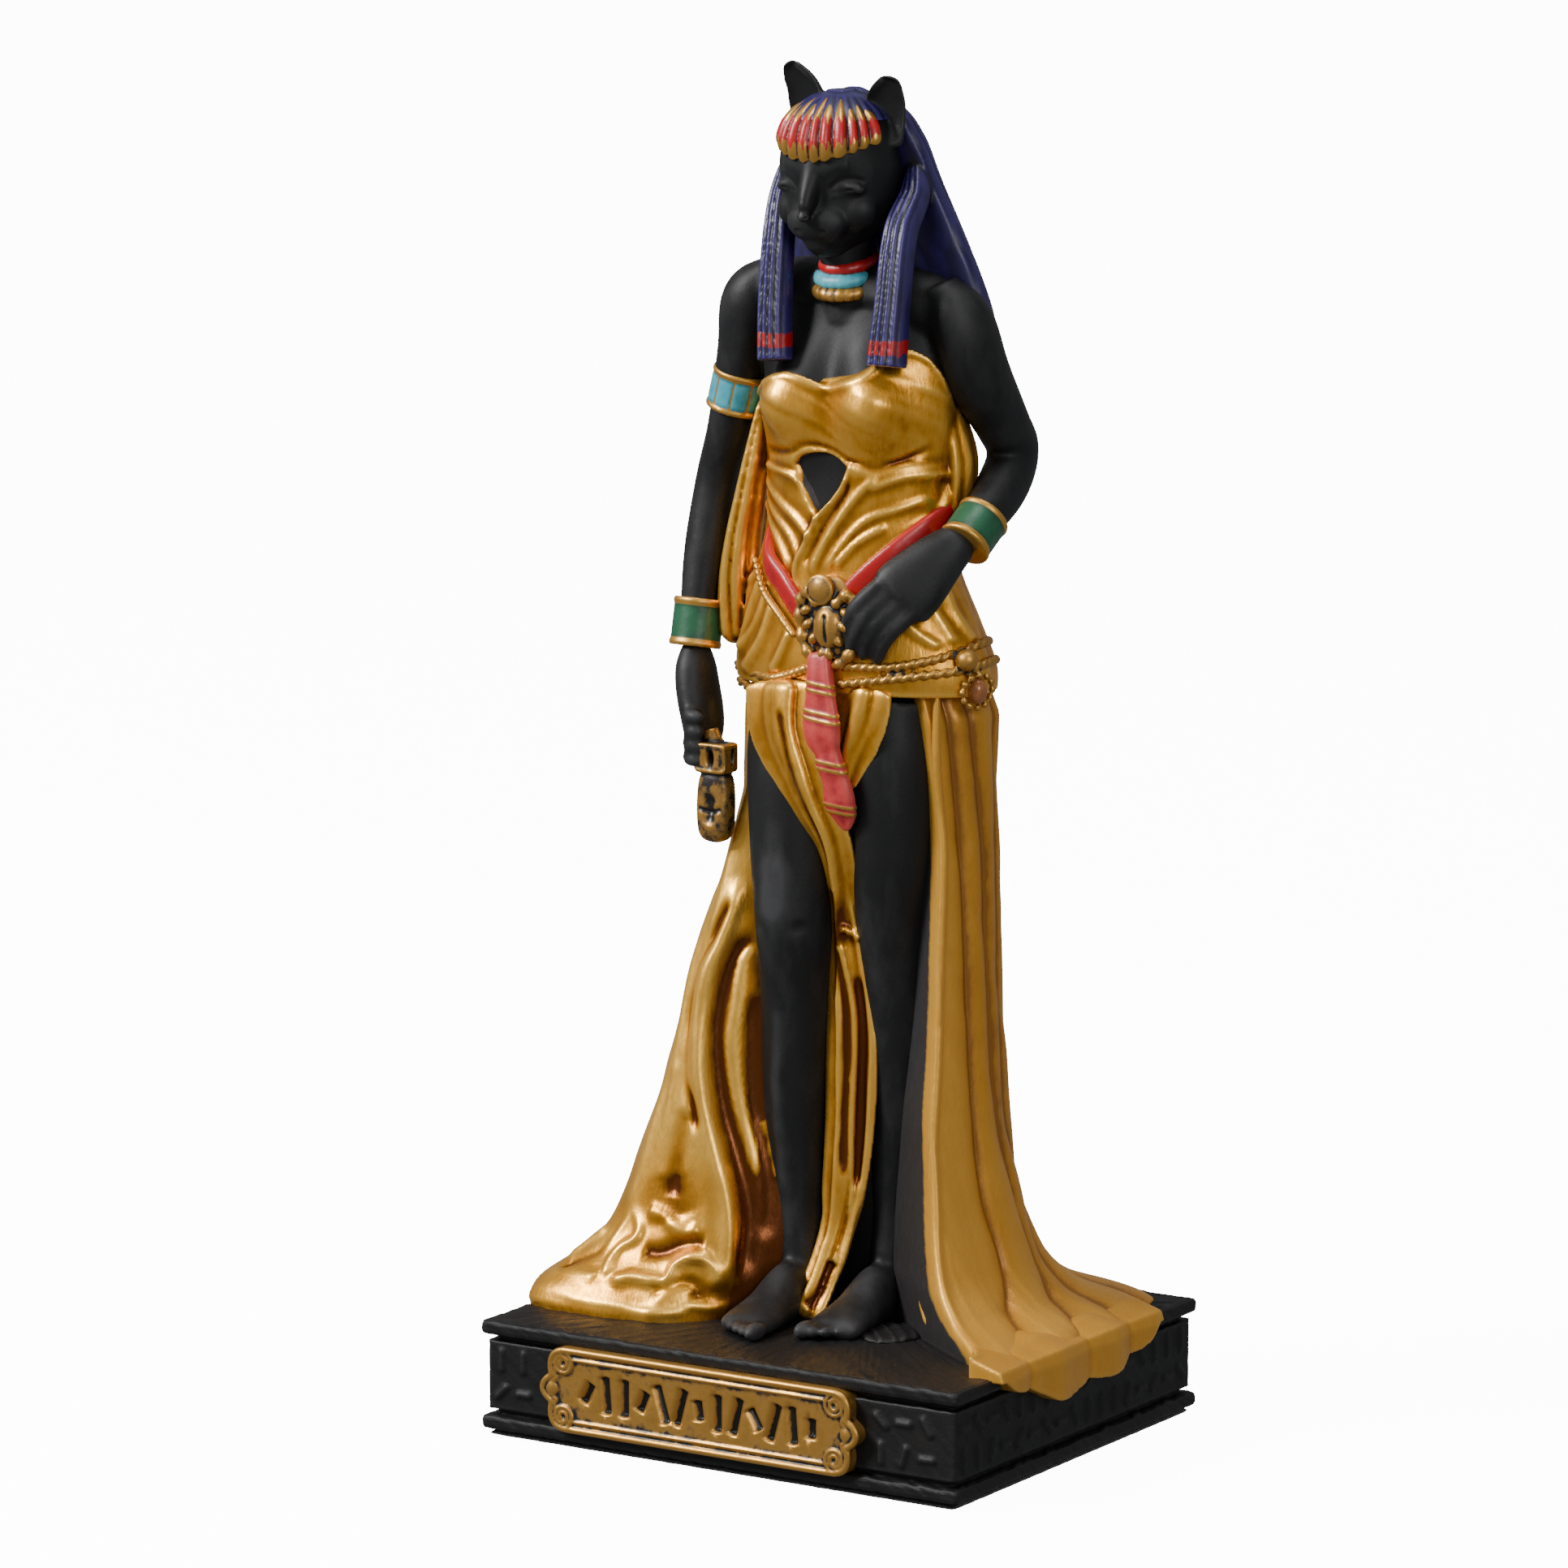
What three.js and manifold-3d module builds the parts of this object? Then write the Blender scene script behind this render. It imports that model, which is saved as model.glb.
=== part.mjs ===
// A cast resin figurine of a standing cat-headed woman in a draped robe, on a plinth with a nameplate.
// Lengths are millimetres, +Z is up, the figure faces -Y, and the origin is the centre of the underside.
import * as THREE from "three";
import { mergeVertices } from "three/addons/utils/BufferGeometryUtils.js";
import Module from "manifold-3d";

const wasm = await Module();
wasm.setup();

// Driving dimensions
const FIGURE_HEIGHT = 81.2;
const PLINTH_WIDTH = 36.2;
const PLINTH_DEPTH = 30.4;
const PLINTH_HEIGHT = 7.8;
const FELT_THICKNESS = 0.5;
const FELT_INSET = 0.35;
const SLAB_HEIGHT = 1.0;
const SLAB_ROUNDING = 0.3;
const GROOVE_HEIGHT = 0.35;
const GROOVE_RECESS = 0.8;
const PANEL_RECESS = 0.35;
const PLATE_LENGTH = 24.6;
const PLATE_HEIGHT = 5.8;
const PLATE_THICKNESS = 0.7;
const PLATE_OFFSET = -0.9;
const RIM_WIDTH = 0.55;
const RIM_HEIGHT = 0.25;
const SCROLL_RADIUS = 1.15;
const TRAIN_THICKNESS = 0.8;
const HEM_OVERHANG = 0.1;

// The figure is drawn in millimetres at this height, from the plinth's top, and scaled to its real height.
const DRAWN_HEIGHT = 81.2;
const scale = FIGURE_HEIGHT / DRAWN_HEIGHT;
const FORWARD = new THREE.Vector3(0, -1, 0);
const UPWARD = new THREE.Vector3(0, 0, 1);

const degrees = (d) => (d * Math.PI) / 180;
const mix = (a, b, t) => a + (b - a) * t;
const clamp = (v) => Math.min(Math.max(v, 0), 1);
const hill = (distance, width) => Math.exp(-((distance / width) ** 2));
const between = (from, to, count) => Array.from({ length: count }, (_, i) => mix(from, to, i / (count - 1)));

// How far a bearing lies past another, between 0 and 360 degrees.
const turnsPast = (bearing, from) => (((bearing - from) % 360) + 360) % 360;

// The angle from one bearing to another, between -180 and 180 degrees.
const turn = (from, to) => turnsPast(to, from - 180) - 180;

// Smooth values from a table of [key, value, ...] rows whose keys rise.
function read(table, key) {
  const last = table.length - 1;
  if (key <= table[0][0]) return table[0].slice(1);
  if (key >= table[last][0]) return table[last].slice(1);
  const i = table.findIndex((row) => row[0] > key) - 1;
  const [a, b] = [table[i], table[i + 1]];
  const [before, after] = [table[Math.max(i - 1, 0)], table[Math.min(i + 2, last)]];
  const span = b[0] - a[0];
  const t = (key - a[0]) / span;
  return a.slice(1).map((start, k) => {
    const [end, n] = [b[k + 1], k + 1];
    const leave = ((end - before[n]) / (b[0] - before[0])) * span;
    const arrive = ((after[n] - start) / (after[0] - a[0])) * span;
    const bend = t * (1 - t);
    return mix(start, end, t * t * (3 - 2 * t)) + bend * (1 - t) * leave - bend * t * arrive;
  });
}

// A geometry as a solid with its faces pointing out.
function solid(geometry) {
  const bare = new THREE.BufferGeometry();
  const loose = geometry.index ? geometry.toNonIndexed() : geometry;
  bare.setAttribute("position", loose.getAttribute("position"));
  const merged = mergeVertices(bare, 1e-4);
  const triVerts = new Uint32Array(merged.index.array);
  const vertProperties = merged.getAttribute("position").array;
  const made = new wasm.Manifold(new wasm.Mesh({ numProp: 3, vertProperties, triVerts }));
  if (made.volume() > 0) return made;
  for (let i = 0; i < triVerts.length; i += 3) {
    [triVerts[i], triVerts[i + 1]] = [triVerts[i + 1], triVerts[i]];
  }
  return new wasm.Manifold(new wasm.Mesh({ numProp: 3, vertProperties, triVerts }));
}

const join = (solids) => solids.reduce((all, one) => all.add(one));

// A closed skin over rings of equal length, with a fan of triangles on each end.
function skin(rings) {
  const sides = rings[0].length;
  const middle = (ring) => ring.reduce((sum, p) => sum.add(p), new THREE.Vector3()).divideScalar(sides);
  const corners = [];
  for (let r = 0; r + 1 < rings.length; r++) {
    for (let s = 0; s < sides; s++) {
      const t = (s + 1) % sides;
      const [a, b, c, d] = [rings[r][s], rings[r][t], rings[r + 1][t], rings[r + 1][s]];
      corners.push(a, b, c, a, c, d);
    }
  }
  const [first, last] = [rings[0], rings[rings.length - 1]];
  const [start, end] = [middle(first), middle(last)];
  for (let s = 0; s < sides; s++) {
    const t = (s + 1) % sides;
    corners.push(first[t], first[s], start, last[s], last[t], end);
  }
  return solid(new THREE.BufferGeometry().setFromPoints(corners).scale(scale, scale, scale));
}

// A limb, fold or band through stations [x, y, z, half-width, half-depth]; its depth lies along front.
function limb(stations, sides, steps, front = FORWARD) {
  const curve = (points) => new THREE.CatmullRomCurve3(points, false, "centripetal");
  const path = curve(stations.map(([x, y, z]) => new THREE.Vector3(x, y, z)));
  const along = stations.map((_, i) => i / (stations.length - 1));
  const girths = stations.map(([, , , width, depth], i) => [along[i], width, depth]);
  const rings = between(0, 1, steps + 1).map((t) => {
    const centre = path.getPoint(t);
    const [width, depth] = read(girths, t);
    const across = new THREE.Vector3().crossVectors(path.getTangent(t), front).normalize();
    const outward = new THREE.Vector3().crossVectors(across, path.getTangent(t)).normalize();
    return Array.from({ length: sides }, (_, s) => {
      const angle = degrees((360 * s) / sides);
      const point = centre.clone().addScaledVector(across, Math.cos(angle) * width);
      return point.addScaledVector(outward, Math.sin(angle) * depth);
    });
  });
  return skin(rings);
}

// Evenly spaced bearings in degrees from +X, from one up to but not including another.
const fan = (from, to, count) => between(from, to, count + 1).slice(0, count);

// An upright form about a centre that moves with height, through a point at each bearing and height.
function column(heights, bearings, centreAt, radiusAt) {
  const rings = heights.map((z) => {
    const [x, y] = centreAt(z);
    return bearings.map((bearing) => {
      const r = radiusAt(bearing, z);
      return new THREE.Vector3(x + r * Math.cos(degrees(bearing)), y + r * Math.sin(degrees(bearing)), z);
    });
  });
  return skin(rings);
}

// Radius of an oval whose power is 2 for an ellipse and less for a wedge.
function oval(bearing, side, front, back, power = 2) {
  const [c, s] = [Math.cos(degrees(bearing)), Math.sin(degrees(bearing))];
  const reach = s < 0 ? front : back;
  return (Math.abs(c / side) ** power + Math.abs(s / reach) ** power) ** (-1 / power);
}

function ellipsoid([x, y, z], [rx, ry, rz], around, up) {
  const ball = new THREE.SphereGeometry(1, around, up).rotateX(degrees(90)).scale(rx, ry, rz);
  return solid(ball.translate(x, y, z).scale(scale, scale, scale));
}

// Legs and feet. Each leg's stations run from the hip to the sole.
const LEG_SIDES = 10;
const RIGHT_LEG = [
  [-1.9, 0.2, 40.2, 4.2, 4.2],
  [-2.1, -1.2, 36.5, 3.6, 3.9],
  [-1.9, -2.2, 30.5, 3.05, 3.3],
  [-1.7, -2.6, 26.0, 2.7, 2.9],
  [-1.9, -2.0, 21.0, 2.45, 2.8],
  [-2.1, -1.8, 13.5, 2.15, 2.4],
  [-1.8, -1.9, 7.0, 1.5, 1.7],
  [-1.6, -1.9, 3.0, 1.5, 1.9],
  [-1.6, -1.8, -0.4, 1.3, 1.9],
];
const LEFT_LEG = [
  [4.8, 0.6, 40.2, 4.2, 4.2],
  [4.6, -0.2, 36.5, 3.8, 4.1],
  [4.4, -0.4, 30.5, 3.1, 3.5],
  [4.3, -0.3, 26.0, 2.5, 2.9],
  [4.3, 0.3, 20.5, 2.3, 2.7],
  [4.1, 0.6, 13.5, 2.0, 2.3],
  [3.8, 0.4, 7.0, 1.4, 1.6],
  [3.7, 0.4, 3.0, 1.4, 1.9],
  [3.7, 0.5, -0.4, 1.3, 1.9],
];

// A foot's stations run from the heel to the ball, measured from the ankle.
const FOOT = [
  [0, 1.9, 1.1, 0.8, 0.9],
  [0, 0.6, 1.6, 1.4, 1.8],
  [0, -1.9, 1.7, 1.45, 2.0],
  [0, -4.4, 1.0, 1.65, 1.35],
  [0, -6.6, 0.6, 1.9, 0.95],
  [0, -7.8, 0.4, 1.8, 0.6],
];
const TOES = 5;
const TOE_SPACING = 0.74;
const TOE_REACH = 8.3;
const BIG_TOE = 0.62;
const RIGHT_FOOT = { ankle: [-1.55, -2.0], outer: -1 };
const LEFT_FOOT = { ankle: [3.75, 0.2], outer: 1 };

// A foot whose toes grow smaller and stand further back towards its outer side.
function foot({ ankle: [x, y], outer }) {
  const stations = FOOT.map(([fx, fy, ...rest]) => [x + fx, y + fy, ...rest]);
  const toes = Array.from({ length: TOES }, (_, i) => {
    const size = i === 0 ? BIG_TOE : BIG_TOE * (0.8 - 0.05 * i);
    const across = outer * TOE_SPACING * (i - (TOES - 1) / 2);
    const centre = [x + across, y - TOE_REACH + 0.1 * i * i, 0.5];
    return ellipsoid(centre, [size * 0.85, size * 1.9, size], 5, 3);
  });
  return join([limb(stations, 8, 6, UPWARD), ...toes]);
}

function legs() {
  return join([
    limb(RIGHT_LEG, LEG_SIDES, 7),
    limb(LEFT_LEG, LEG_SIDES, 7),
    foot(RIGHT_FOOT),
    foot(LEFT_FOOT),
  ]);
}

// Arms and hands
const ARM_SIDES = 8;
const RIGHT_ARM = [
  [-5.4, 0.6, 67.7, 1.0, 1.4],
  [-6.9, 0.5, 65.6, 2.1, 2.2],
  [-7.6, 0.5, 62.2, 1.85, 2.0],
  [-8.9, 0.8, 57.4, 1.5, 1.7],
  [-10.2, 1.0, 53.4, 1.4, 1.5],
  [-10.6, 0.3, 48.6, 1.45, 1.55],
  [-10.6, -0.9, 43.4, 1.05, 1.2],
];
const LEFT_ARM = [
  [6.9, 0.7, 67.2, 1.0, 1.4],
  [8.1, 1.0, 65.0, 2.1, 2.2],
  [8.9, 1.9, 61.6, 2.1, 2.2],
  [9.4, 4.2, 58.2, 1.75, 1.85],
  [9.4, 5.6, 56.2, 1.6, 1.75],
  [9.7, 3.4, 53.9, 1.65, 1.7],
  [9.6, -0.4, 51.3, 1.2, 1.25],
];
const RIGHT_HAND = [
  [-10.6, -0.9, 43.6, 1.0, 1.15],
  [-10.5, -1.3, 41.0, 1.25, 1.75],
  [-10.1, -1.7, 38.2, 1.2, 1.8],
  [-9.7, -2.3, 35.2, 0.8, 1.2],
];
const LEFT_PALM = [
  [9.6, -0.5, 51.4, 1.15, 1.1],
  [8.5, -1.8, 50.2, 1.6, 1.0],
  [7.2, -3.2, 48.6, 2.05, 0.85],
  [6.5, -3.7, 47.8, 2.0, 0.8],
];
const HAND_FRONT = new THREE.Vector3(0.45, -0.8, 0.25);
const KNUCKLES = [6.9, -3.7, 48.1];
const FINGERS = 4;
const FINGER_LENGTH = 4.5;
const FINGER_SPACING = 0.98;

// The left palm and its fingers, which start at a row of knuckles and bend towards the clasp.
function leftHand() {
  const fingers = Array.from({ length: FINGERS }, (_, i) => {
    const side = FINGER_SPACING * (i - (FINGERS - 1) / 2);
    const length = FINGER_LENGTH * (1 - 0.08 * Math.abs(i - 1));
    const [x, y, z] = [KNUCKLES[0] + 0.72 * side, KNUCKLES[1] + 0.1 * i, KNUCKLES[2] - 0.68 * side];
    return limb(
      [
        [x, y, z, 0.62, 0.65],
        [x - 0.4 * length, y - 0.22 * length, z - 0.36 * length, 0.56, 0.6],
        [x - 0.72 * length, y - 0.12 * length, z - 0.72 * length, 0.36, 0.42],
      ],
      5,
      2,
      HAND_FRONT,
    );
  });
  return join([limb(LEFT_PALM, 8, 3, HAND_FRONT), ...fingers]);
}

function arms() {
  return join([
    limb(RIGHT_ARM, ARM_SIDES, 7),
    limb(LEFT_ARM, ARM_SIDES, 7),
    limb(RIGHT_HAND, ARM_SIDES, 4),
    leftHand(),
  ]);
}

// Head. Rows are height, half-width, reach to the front and to the back, and the oval's power.
const HEAD_X = 0.45;
const HEAD_Y = -1.0;
const HEAD_LOW = 68.9;
const HEAD_TOP = 79.3;
const HEAD_FORM = [
  [HEAD_LOW, 0.9, 2.0, 0.8, 2.0],
  [69.6, 1.9, 2.8, 1.8, 1.8],
  [70.7, 2.9, 3.5, 2.6, 1.7],
  [72.0, 3.7, 3.9, 3.2, 1.55],
  [73.6, 4.0, 3.8, 3.6, 1.55],
  [75.2, 4.0, 4.05, 3.7, 1.8],
  [76.6, 3.75, 3.8, 3.6, 2.0],
  [78.0, 2.9, 3.0, 3.0, 2.0],
  [79.0, 1.6, 1.7, 1.8, 2.0],
  [HEAD_TOP, 0.6, 0.6, 0.8, 2.0],
];
const headRadius = (bearing, z) => oval(bearing, ...read(HEAD_FORM, z));

// Features of the face, one side of it from the middle line.
const EYE = [
  [0.9, -3.4, 72.9, 0.15, 0.15],
  [1.8, -2.85, 73.1, 0.5, 0.4],
  [2.9, -1.85, 73.6, 0.15, 0.15],
];
const NOSE = [
  [0, -2.6, 75.8, 1.4, 0.9],
  [0, -3.3, 74.2, 0.9, 1.0],
  [0, -3.9, 72.8, 0.55, 0.9],
  [0, -4.3, 71.6, 0.45, 0.5],
];
const EAR = [
  [2.2, 0.3, 76.0, 1.6, 1.1],
  [2.9, 0.2, 77.9, 1.45, 0.9],
  [3.6, 0.0, 79.6, 0.95, 0.6],
  [4.0, -0.3, 81.0, 0.3, 0.3],
];
const EAR_HOLLOW = [
  [2.6, -0.85, 76.7, 0.7, 0.5],
  [3.0, -0.75, 78.0, 0.85, 0.6],
  [3.7, -0.75, 79.9, 0.3, 0.35],
];
const EAR_DROOP = { right: 0, left: 0.8 };
// Their rise is from the head's lowest point.
const MUZZLE = { aside: 0.65, front: 3.25, rise: 2.05, size: [0.95, 1.2, 0.8] };
const CHIN = { front: 2.7, rise: 0.9, size: [0.9, 0.8, 0.7] };

// Stations drawn on one side of the middle line, moved to the head and mirrored where side is -1.
const onHead = (stations, side) =>
  stations.map(([x, y, z, ...size]) => [HEAD_X + side * x, HEAD_Y + y, z, ...size]);

// One ear; droop is how much lower its tip is, and the rest of it in proportion.
function ear(side, droop) {
  const facing = new THREE.Vector3(side * 0.45, -0.9, 0);
  const [root, tip] = [EAR[0][2], EAR[EAR.length - 1][2]];
  const bent = (stations) =>
    stations.map(([x, y, z, ...size]) => [x, y, z - (droop * (z - root)) / (tip - root), ...size]);
  const shell = limb(onHead(bent(EAR), side), 7, 4, facing);
  return shell.subtract(limb(onHead(bent(EAR_HOLLOW), side), 5, 2, facing));
}

function head() {
  const skull = column(between(HEAD_LOW, HEAD_TOP, 10), fan(0, 360, 16), () => [HEAD_X, HEAD_Y], headRadius);
  const onFace = (aside, { front, rise }) => [HEAD_X + aside, HEAD_Y - front, HEAD_LOW + rise];
  const half = (side) => [
    limb(onHead(EYE, side), 5, 4, UPWARD),
    ellipsoid(onFace(MUZZLE.aside * side, MUZZLE), MUZZLE.size, 6, 5),
  ];
  const chin = ellipsoid(onFace(0, CHIN), CHIN.size, 6, 5);
  const nose = limb(onHead(NOSE, 1), 6, 4);
  const ears = [ear(-1, EAR_DROOP.right), ear(1, EAR_DROOP.left)];
  return join([skull, ...half(-1), ...half(1), nose, chin, ...ears]);
}

// Wig. The mantle is the crown and back hair; two lappets fall in front of the shoulders.
const MANTLE_LOW = 62.2;
const MANTLE_TOP = 79.5;
const MANTLE_FORM = [
  [MANTLE_LOW, 8.2, 1.0, 2.4],
  [65.0, 8.0, 1.2, 3.1],
  [68.0, 7.2, 1.4, 3.6],
  [71.0, 6.1, 1.8, 3.8],
  [74.0, 5.0, 2.4, 3.9],
  [76.5, 4.2, 3.7, 3.5],
  [78.4, 2.9, 3.0, 2.4],
  [MANTLE_TOP, 1.0, 1.2, 1.0],
];
const MANTLE_STRANDS = 12;
const MANTLE_ARC = [-14, 194];
const MANTLE_BACK = 3.0;
const MANTLE_LEAN = 0.17;
const STRAND_DEPTH = 0.2;
const RIGHT_LAPPET = [
  [-2.9, -1.4, 75.2, 0.8, 0.7],
  [-3.4, -2.1, 70.5, 1.05, 0.8],
  [-3.2, -3.0, 66.2, 1.1, 0.75],
  [-2.8, -3.8, 62.6, 1.15, 0.6],
];
const LEFT_LAPPET = [
  [4.3, -1.2, 75.2, 0.8, 0.7],
  [4.8, -2.1, 70.5, 1.15, 0.8],
  [5.1, -3.2, 66.2, 1.25, 0.75],
  [5.3, -4.0, 62.4, 1.3, 0.6],
];
const FRINGE_PLEATS = 11;
const FRINGE_SPREAD = 152;
const FRINGE_LOW = 75.2;
const FRINGE_TOP = 78.6;
const FRINGE_RISE = 1.3;
const FRINGE_PROUD = 0.5;
const FRINGE_ROOTS = [1.8, -1.8];

function mantle() {
  const centre = (z) => [HEAD_X + 0.2, MANTLE_BACK - (z - MANTLE_LOW) * MANTLE_LEAN];
  const [from, to] = MANTLE_ARC;
  const strand = (bearing) => {
    const share = (bearing - from) / (to - from);
    return share < 1 ? Math.cos(degrees(360 * MANTLE_STRANDS * share)) : 0;
  };
  const radius = (bearing, z) => oval(bearing, ...read(MANTLE_FORM, z)) + STRAND_DEPTH * strand(bearing);
  const bearings = [...fan(from, to, 2 * MANTLE_STRANDS), ...fan(to, from + 360, 4)];
  return column(between(MANTLE_LOW, MANTLE_TOP, 7), bearings, centre, radius);
}

// The pleated band over the brow: its outside lies on the skull, its inside is sunk into it.
function fringe() {
  const asides = between(-FRINGE_SPREAD / 2, FRINGE_SPREAD / 2, 2 * FRINGE_PLEATS + 1);
  const rings = [0, 0.5, 1].map((share) => {
    const outside = asides.map((aside, i) => {
      const low = FRINGE_LOW + FRINGE_RISE * Math.sin(degrees(aside)) ** 2;
      const z = mix(low, FRINGE_TOP, share);
      const proud = FRINGE_PROUD * (1 - 0.6 * share) * (i % 2 ? 1 : 0.4);
      const r = headRadius(aside - 90, z) + proud;
      const angle = degrees(aside - 90);
      return new THREE.Vector3(HEAD_X + r * Math.cos(angle), HEAD_Y + r * Math.sin(angle), z);
    });
    const height = mix(FRINGE_LOW, FRINGE_TOP, share);
    const inside = FRINGE_ROOTS.map((x) => new THREE.Vector3(HEAD_X + x, HEAD_Y, height));
    return [...outside, ...inside];
  });
  return skin(rings);
}

const hair = () => join([mantle(), limb(RIGHT_LAPPET, 6, 4), limb(LEFT_LAPPET, 6, 4), fringe()]);

// Trunk. Rows are height, half-width, and reach to the front and to the back.
const TRUNK_Y = 0.6;
const trunkX = (z) => mix(1.3, 0.7, (z - 38) / 30);
const TRUNK_FORM = [
  [38.4, 7.6, 3.8, 5.6],
  [40.0, 8.7, 4.6, 6.6],
  [42.5, 9.1, 5.0, 6.8],
  [45.5, 8.2, 4.7, 5.4],
  [48.5, 7.0, 4.3, 4.4],
  [51.5, 6.2, 4.0, 3.8],
  [55.0, 6.3, 3.8, 3.7],
  [59.0, 6.9, 3.7, 3.9],
  [62.5, 7.1, 3.2, 3.8],
  [65.5, 6.4, 2.5, 3.0],
];
const TRUNK_LOW = TRUNK_FORM[0][0];
const TRUNK_TOP = TRUNK_FORM[TRUNK_FORM.length - 1][0];
const TRUNK_SIDES = 20;
const BACK_FOLD = 0.18;
const BUST = { height: 59.7, aside: 37, spread: 25, rise: 3.0, reach: 2.0 };
const YOKE = [
  [-6.4, 0.7, 65.8, 1.4, 1.8],
  [-4.4, 0.8, 66.4, 1.9, 2.2],
  [0.7, 0.6, 66.8, 1.9, 2.3],
  [5.4, 1.0, 65.8, 2.2, 2.3],
  [7.6, 1.2, 65.0, 1.7, 1.9],
];
const NECK = [
  [0.7, 0.2, 65.6, 2.2, 2.1],
  [0.6, -0.3, 68.0, 2.0, 1.9],
  [HEAD_X, HEAD_Y + 0.1, 71.5, 2.0, 2.0],
];

function trunkRadius(bearing, z) {
  const bust = [-90 - BUST.aside, -90 + BUST.aside]
    .map((centre) => hill(turn(centre, bearing), BUST.spread) * hill(z - BUST.height, BUST.rise))
    .reduce((sum, one) => sum + one);
  const behind = Math.sin(degrees(bearing)) > 0;
  const fold = behind ? BACK_FOLD * Math.cos(degrees((bearing * TRUNK_SIDES) / 2)) : 0;
  return oval(bearing, ...read(TRUNK_FORM, z)) + BUST.reach * bust + fold;
}

// A point on the trunk, or above it by proud, at a bearing from the front and a height.
function onTrunk(aside, z, proud = 0) {
  const angle = degrees(aside - 90);
  const r = trunkRadius(aside - 90, z) + proud;
  return [trunkX(z) + r * Math.cos(angle), TRUNK_Y + r * Math.sin(angle), z];
}

// A fold or band that lies on the trunk, through [bearing from the front, height, half-width, half-depth].
const onTrunkBand = (points, sides, steps, front) =>
  limb(
    points.map(([aside, z, width, depth]) => [...onTrunk(aside, z, 0.15), width, depth]),
    sides,
    steps,
    front,
  );

// The gap under the bust where the robe parts, from its upper corners to its point.
const GAP = { x: 0.95, top: 56.6, rise: 1.2, half: 2.0, low: 52.4, tip: 0.1, depth: 0.9 };

function keyhole() {
  const outline = new THREE.Shape();
  outline.moveTo(-GAP.half, 0);
  outline.quadraticCurveTo(0, GAP.rise * 2, GAP.half, 0);
  outline.lineTo(GAP.tip, GAP.low - GAP.top);
  outline.closePath();
  const depth = 2 * GAP.depth;
  const prism = new THREE.ExtrudeGeometry(outline, { depth, bevelEnabled: false, curveSegments: 4 });
  const [, front] = onTrunk(0, (GAP.top + GAP.low) / 2);
  prism.rotateX(degrees(90)).translate(GAP.x, front + GAP.depth, GAP.top);
  return solid(prism.scale(scale, scale, scale));
}

// Robe folds that cross the midriff and run to the clasp.
const ROBE_FOLDS = [
  [[-52, 57.0, 0.9, 0.6], [-24, 52.8, 0.8, 0.6], [2, 48.6, 0.8, 0.6]],
  [[30, 57.5, 1.2, 0.6], [16, 53.0, 1.1, 0.65], [2, 48.0, 0.9, 0.6]],
  [[58, 55.5, 0.7, 0.5], [34, 51.5, 0.7, 0.5], [10, 48.2, 0.5, 0.5]],
  [[72, 53.5, 0.5, 0.4], [48, 50.5, 0.6, 0.4], [18, 47.2, 0.4, 0.4]],
];
// Cloth that falls from the armpits behind the arms, through stations as for a limb.
const FALLS = [
  [
    [-5.8, 0.6, 59.5, 0.5, 1.0],
    [-6.8, 0.4, 54.0, 0.9, 1.5],
    [-7.9, 0.4, 48.0, 1.2, 1.8],
    [-8.3, 0.6, 43.0, 1.0, 1.6],
  ],
  [
    [7.0, 1.6, 59.5, 0.6, 1.0],
    [7.6, 2.0, 55.5, 1.0, 1.4],
    [6.9, 1.4, 51.0, 0.8, 1.0],
  ],
];
const BELT = [[-100, 52.0, 0.45, 0.8], [-55, 49.2, 0.45, 0.9], [-12, 45.4, 0.45, 0.9]];
const BELT_LEFT = [[14, 46.4, 0.4, 0.7], [55, 50.0, 0.45, 1.0], [95, 52.6, 0.45, 0.9]];
// Cords round the hips: height in front, how much higher the figure's left hip is, and half-thickness.
const HIP_CORDS = [
  { front: 42.7, rise: 1.3, half: 0.6 },
  { front: 41.3, rise: 0.4, half: 0.6 },
];

const CORD_PROUD = 0.35;

// A cord that goes right round the trunk.
function hoop({ front, rise, half }) {
  const rings = [-1, 0, 1].map((level) =>
    fan(0, 360, TRUNK_SIDES).map((bearing) => {
      const leftness = Math.max(Math.cos(degrees(bearing)), 0);
      const z = front + rise * leftness + half * level;
      return new THREE.Vector3(...onTrunk(bearing + 90, z, level ? -half / 2 : CORD_PROUD));
    }),
  );
  return skin(rings);
}

function robe() {
  const centre = (z) => [trunkX(z), TRUNK_Y];
  const trunk = column(between(TRUNK_LOW, TRUNK_TOP, 11), fan(0, 360, TRUNK_SIDES), centre, trunkRadius);
  const folds = ROBE_FOLDS.map((fold) => onTrunkBand(fold, 5, 4));
  const falls = FALLS.map((fall) => limb(fall, 5, 3));
  return join([trunk, ...folds, ...falls]).subtract(keyhole());
}

function girdle() {
  return join([
    onTrunkBand(BELT, 5, 4, UPWARD),
    onTrunkBand(BELT_LEFT, 5, 4, UPWARD),
    ...HIP_CORDS.map(hoop),
  ]);
}

// Skirt: hip to hem about one centre, with a bay in front where the legs stand.
const SKIRT_X = 1.2;
const SKIRT_Y = 2.0;
const SKIRT_TOP = 42.6;
const HIP = { side: 8.6, front: 5.6, back: 5.5, tuck: 0.12 };
// How far the hem reaches at each bearing.
const HEM_REACH = [
  [0, 17.0],
  [32, 18.4],
  [48, 17.4],
  [66, 14.0],
  [90, 12.4],
  [130, 13.4],
  [165, 15.6],
  [190, 18.2],
  [205, 21.0],
  [212, 20.6],
  [222, 17.6],
  [232, 14.8],
  [300, 16.0],
  [322, 19.6],
  [340, 17.4],
  [360, 17.0],
];
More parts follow.
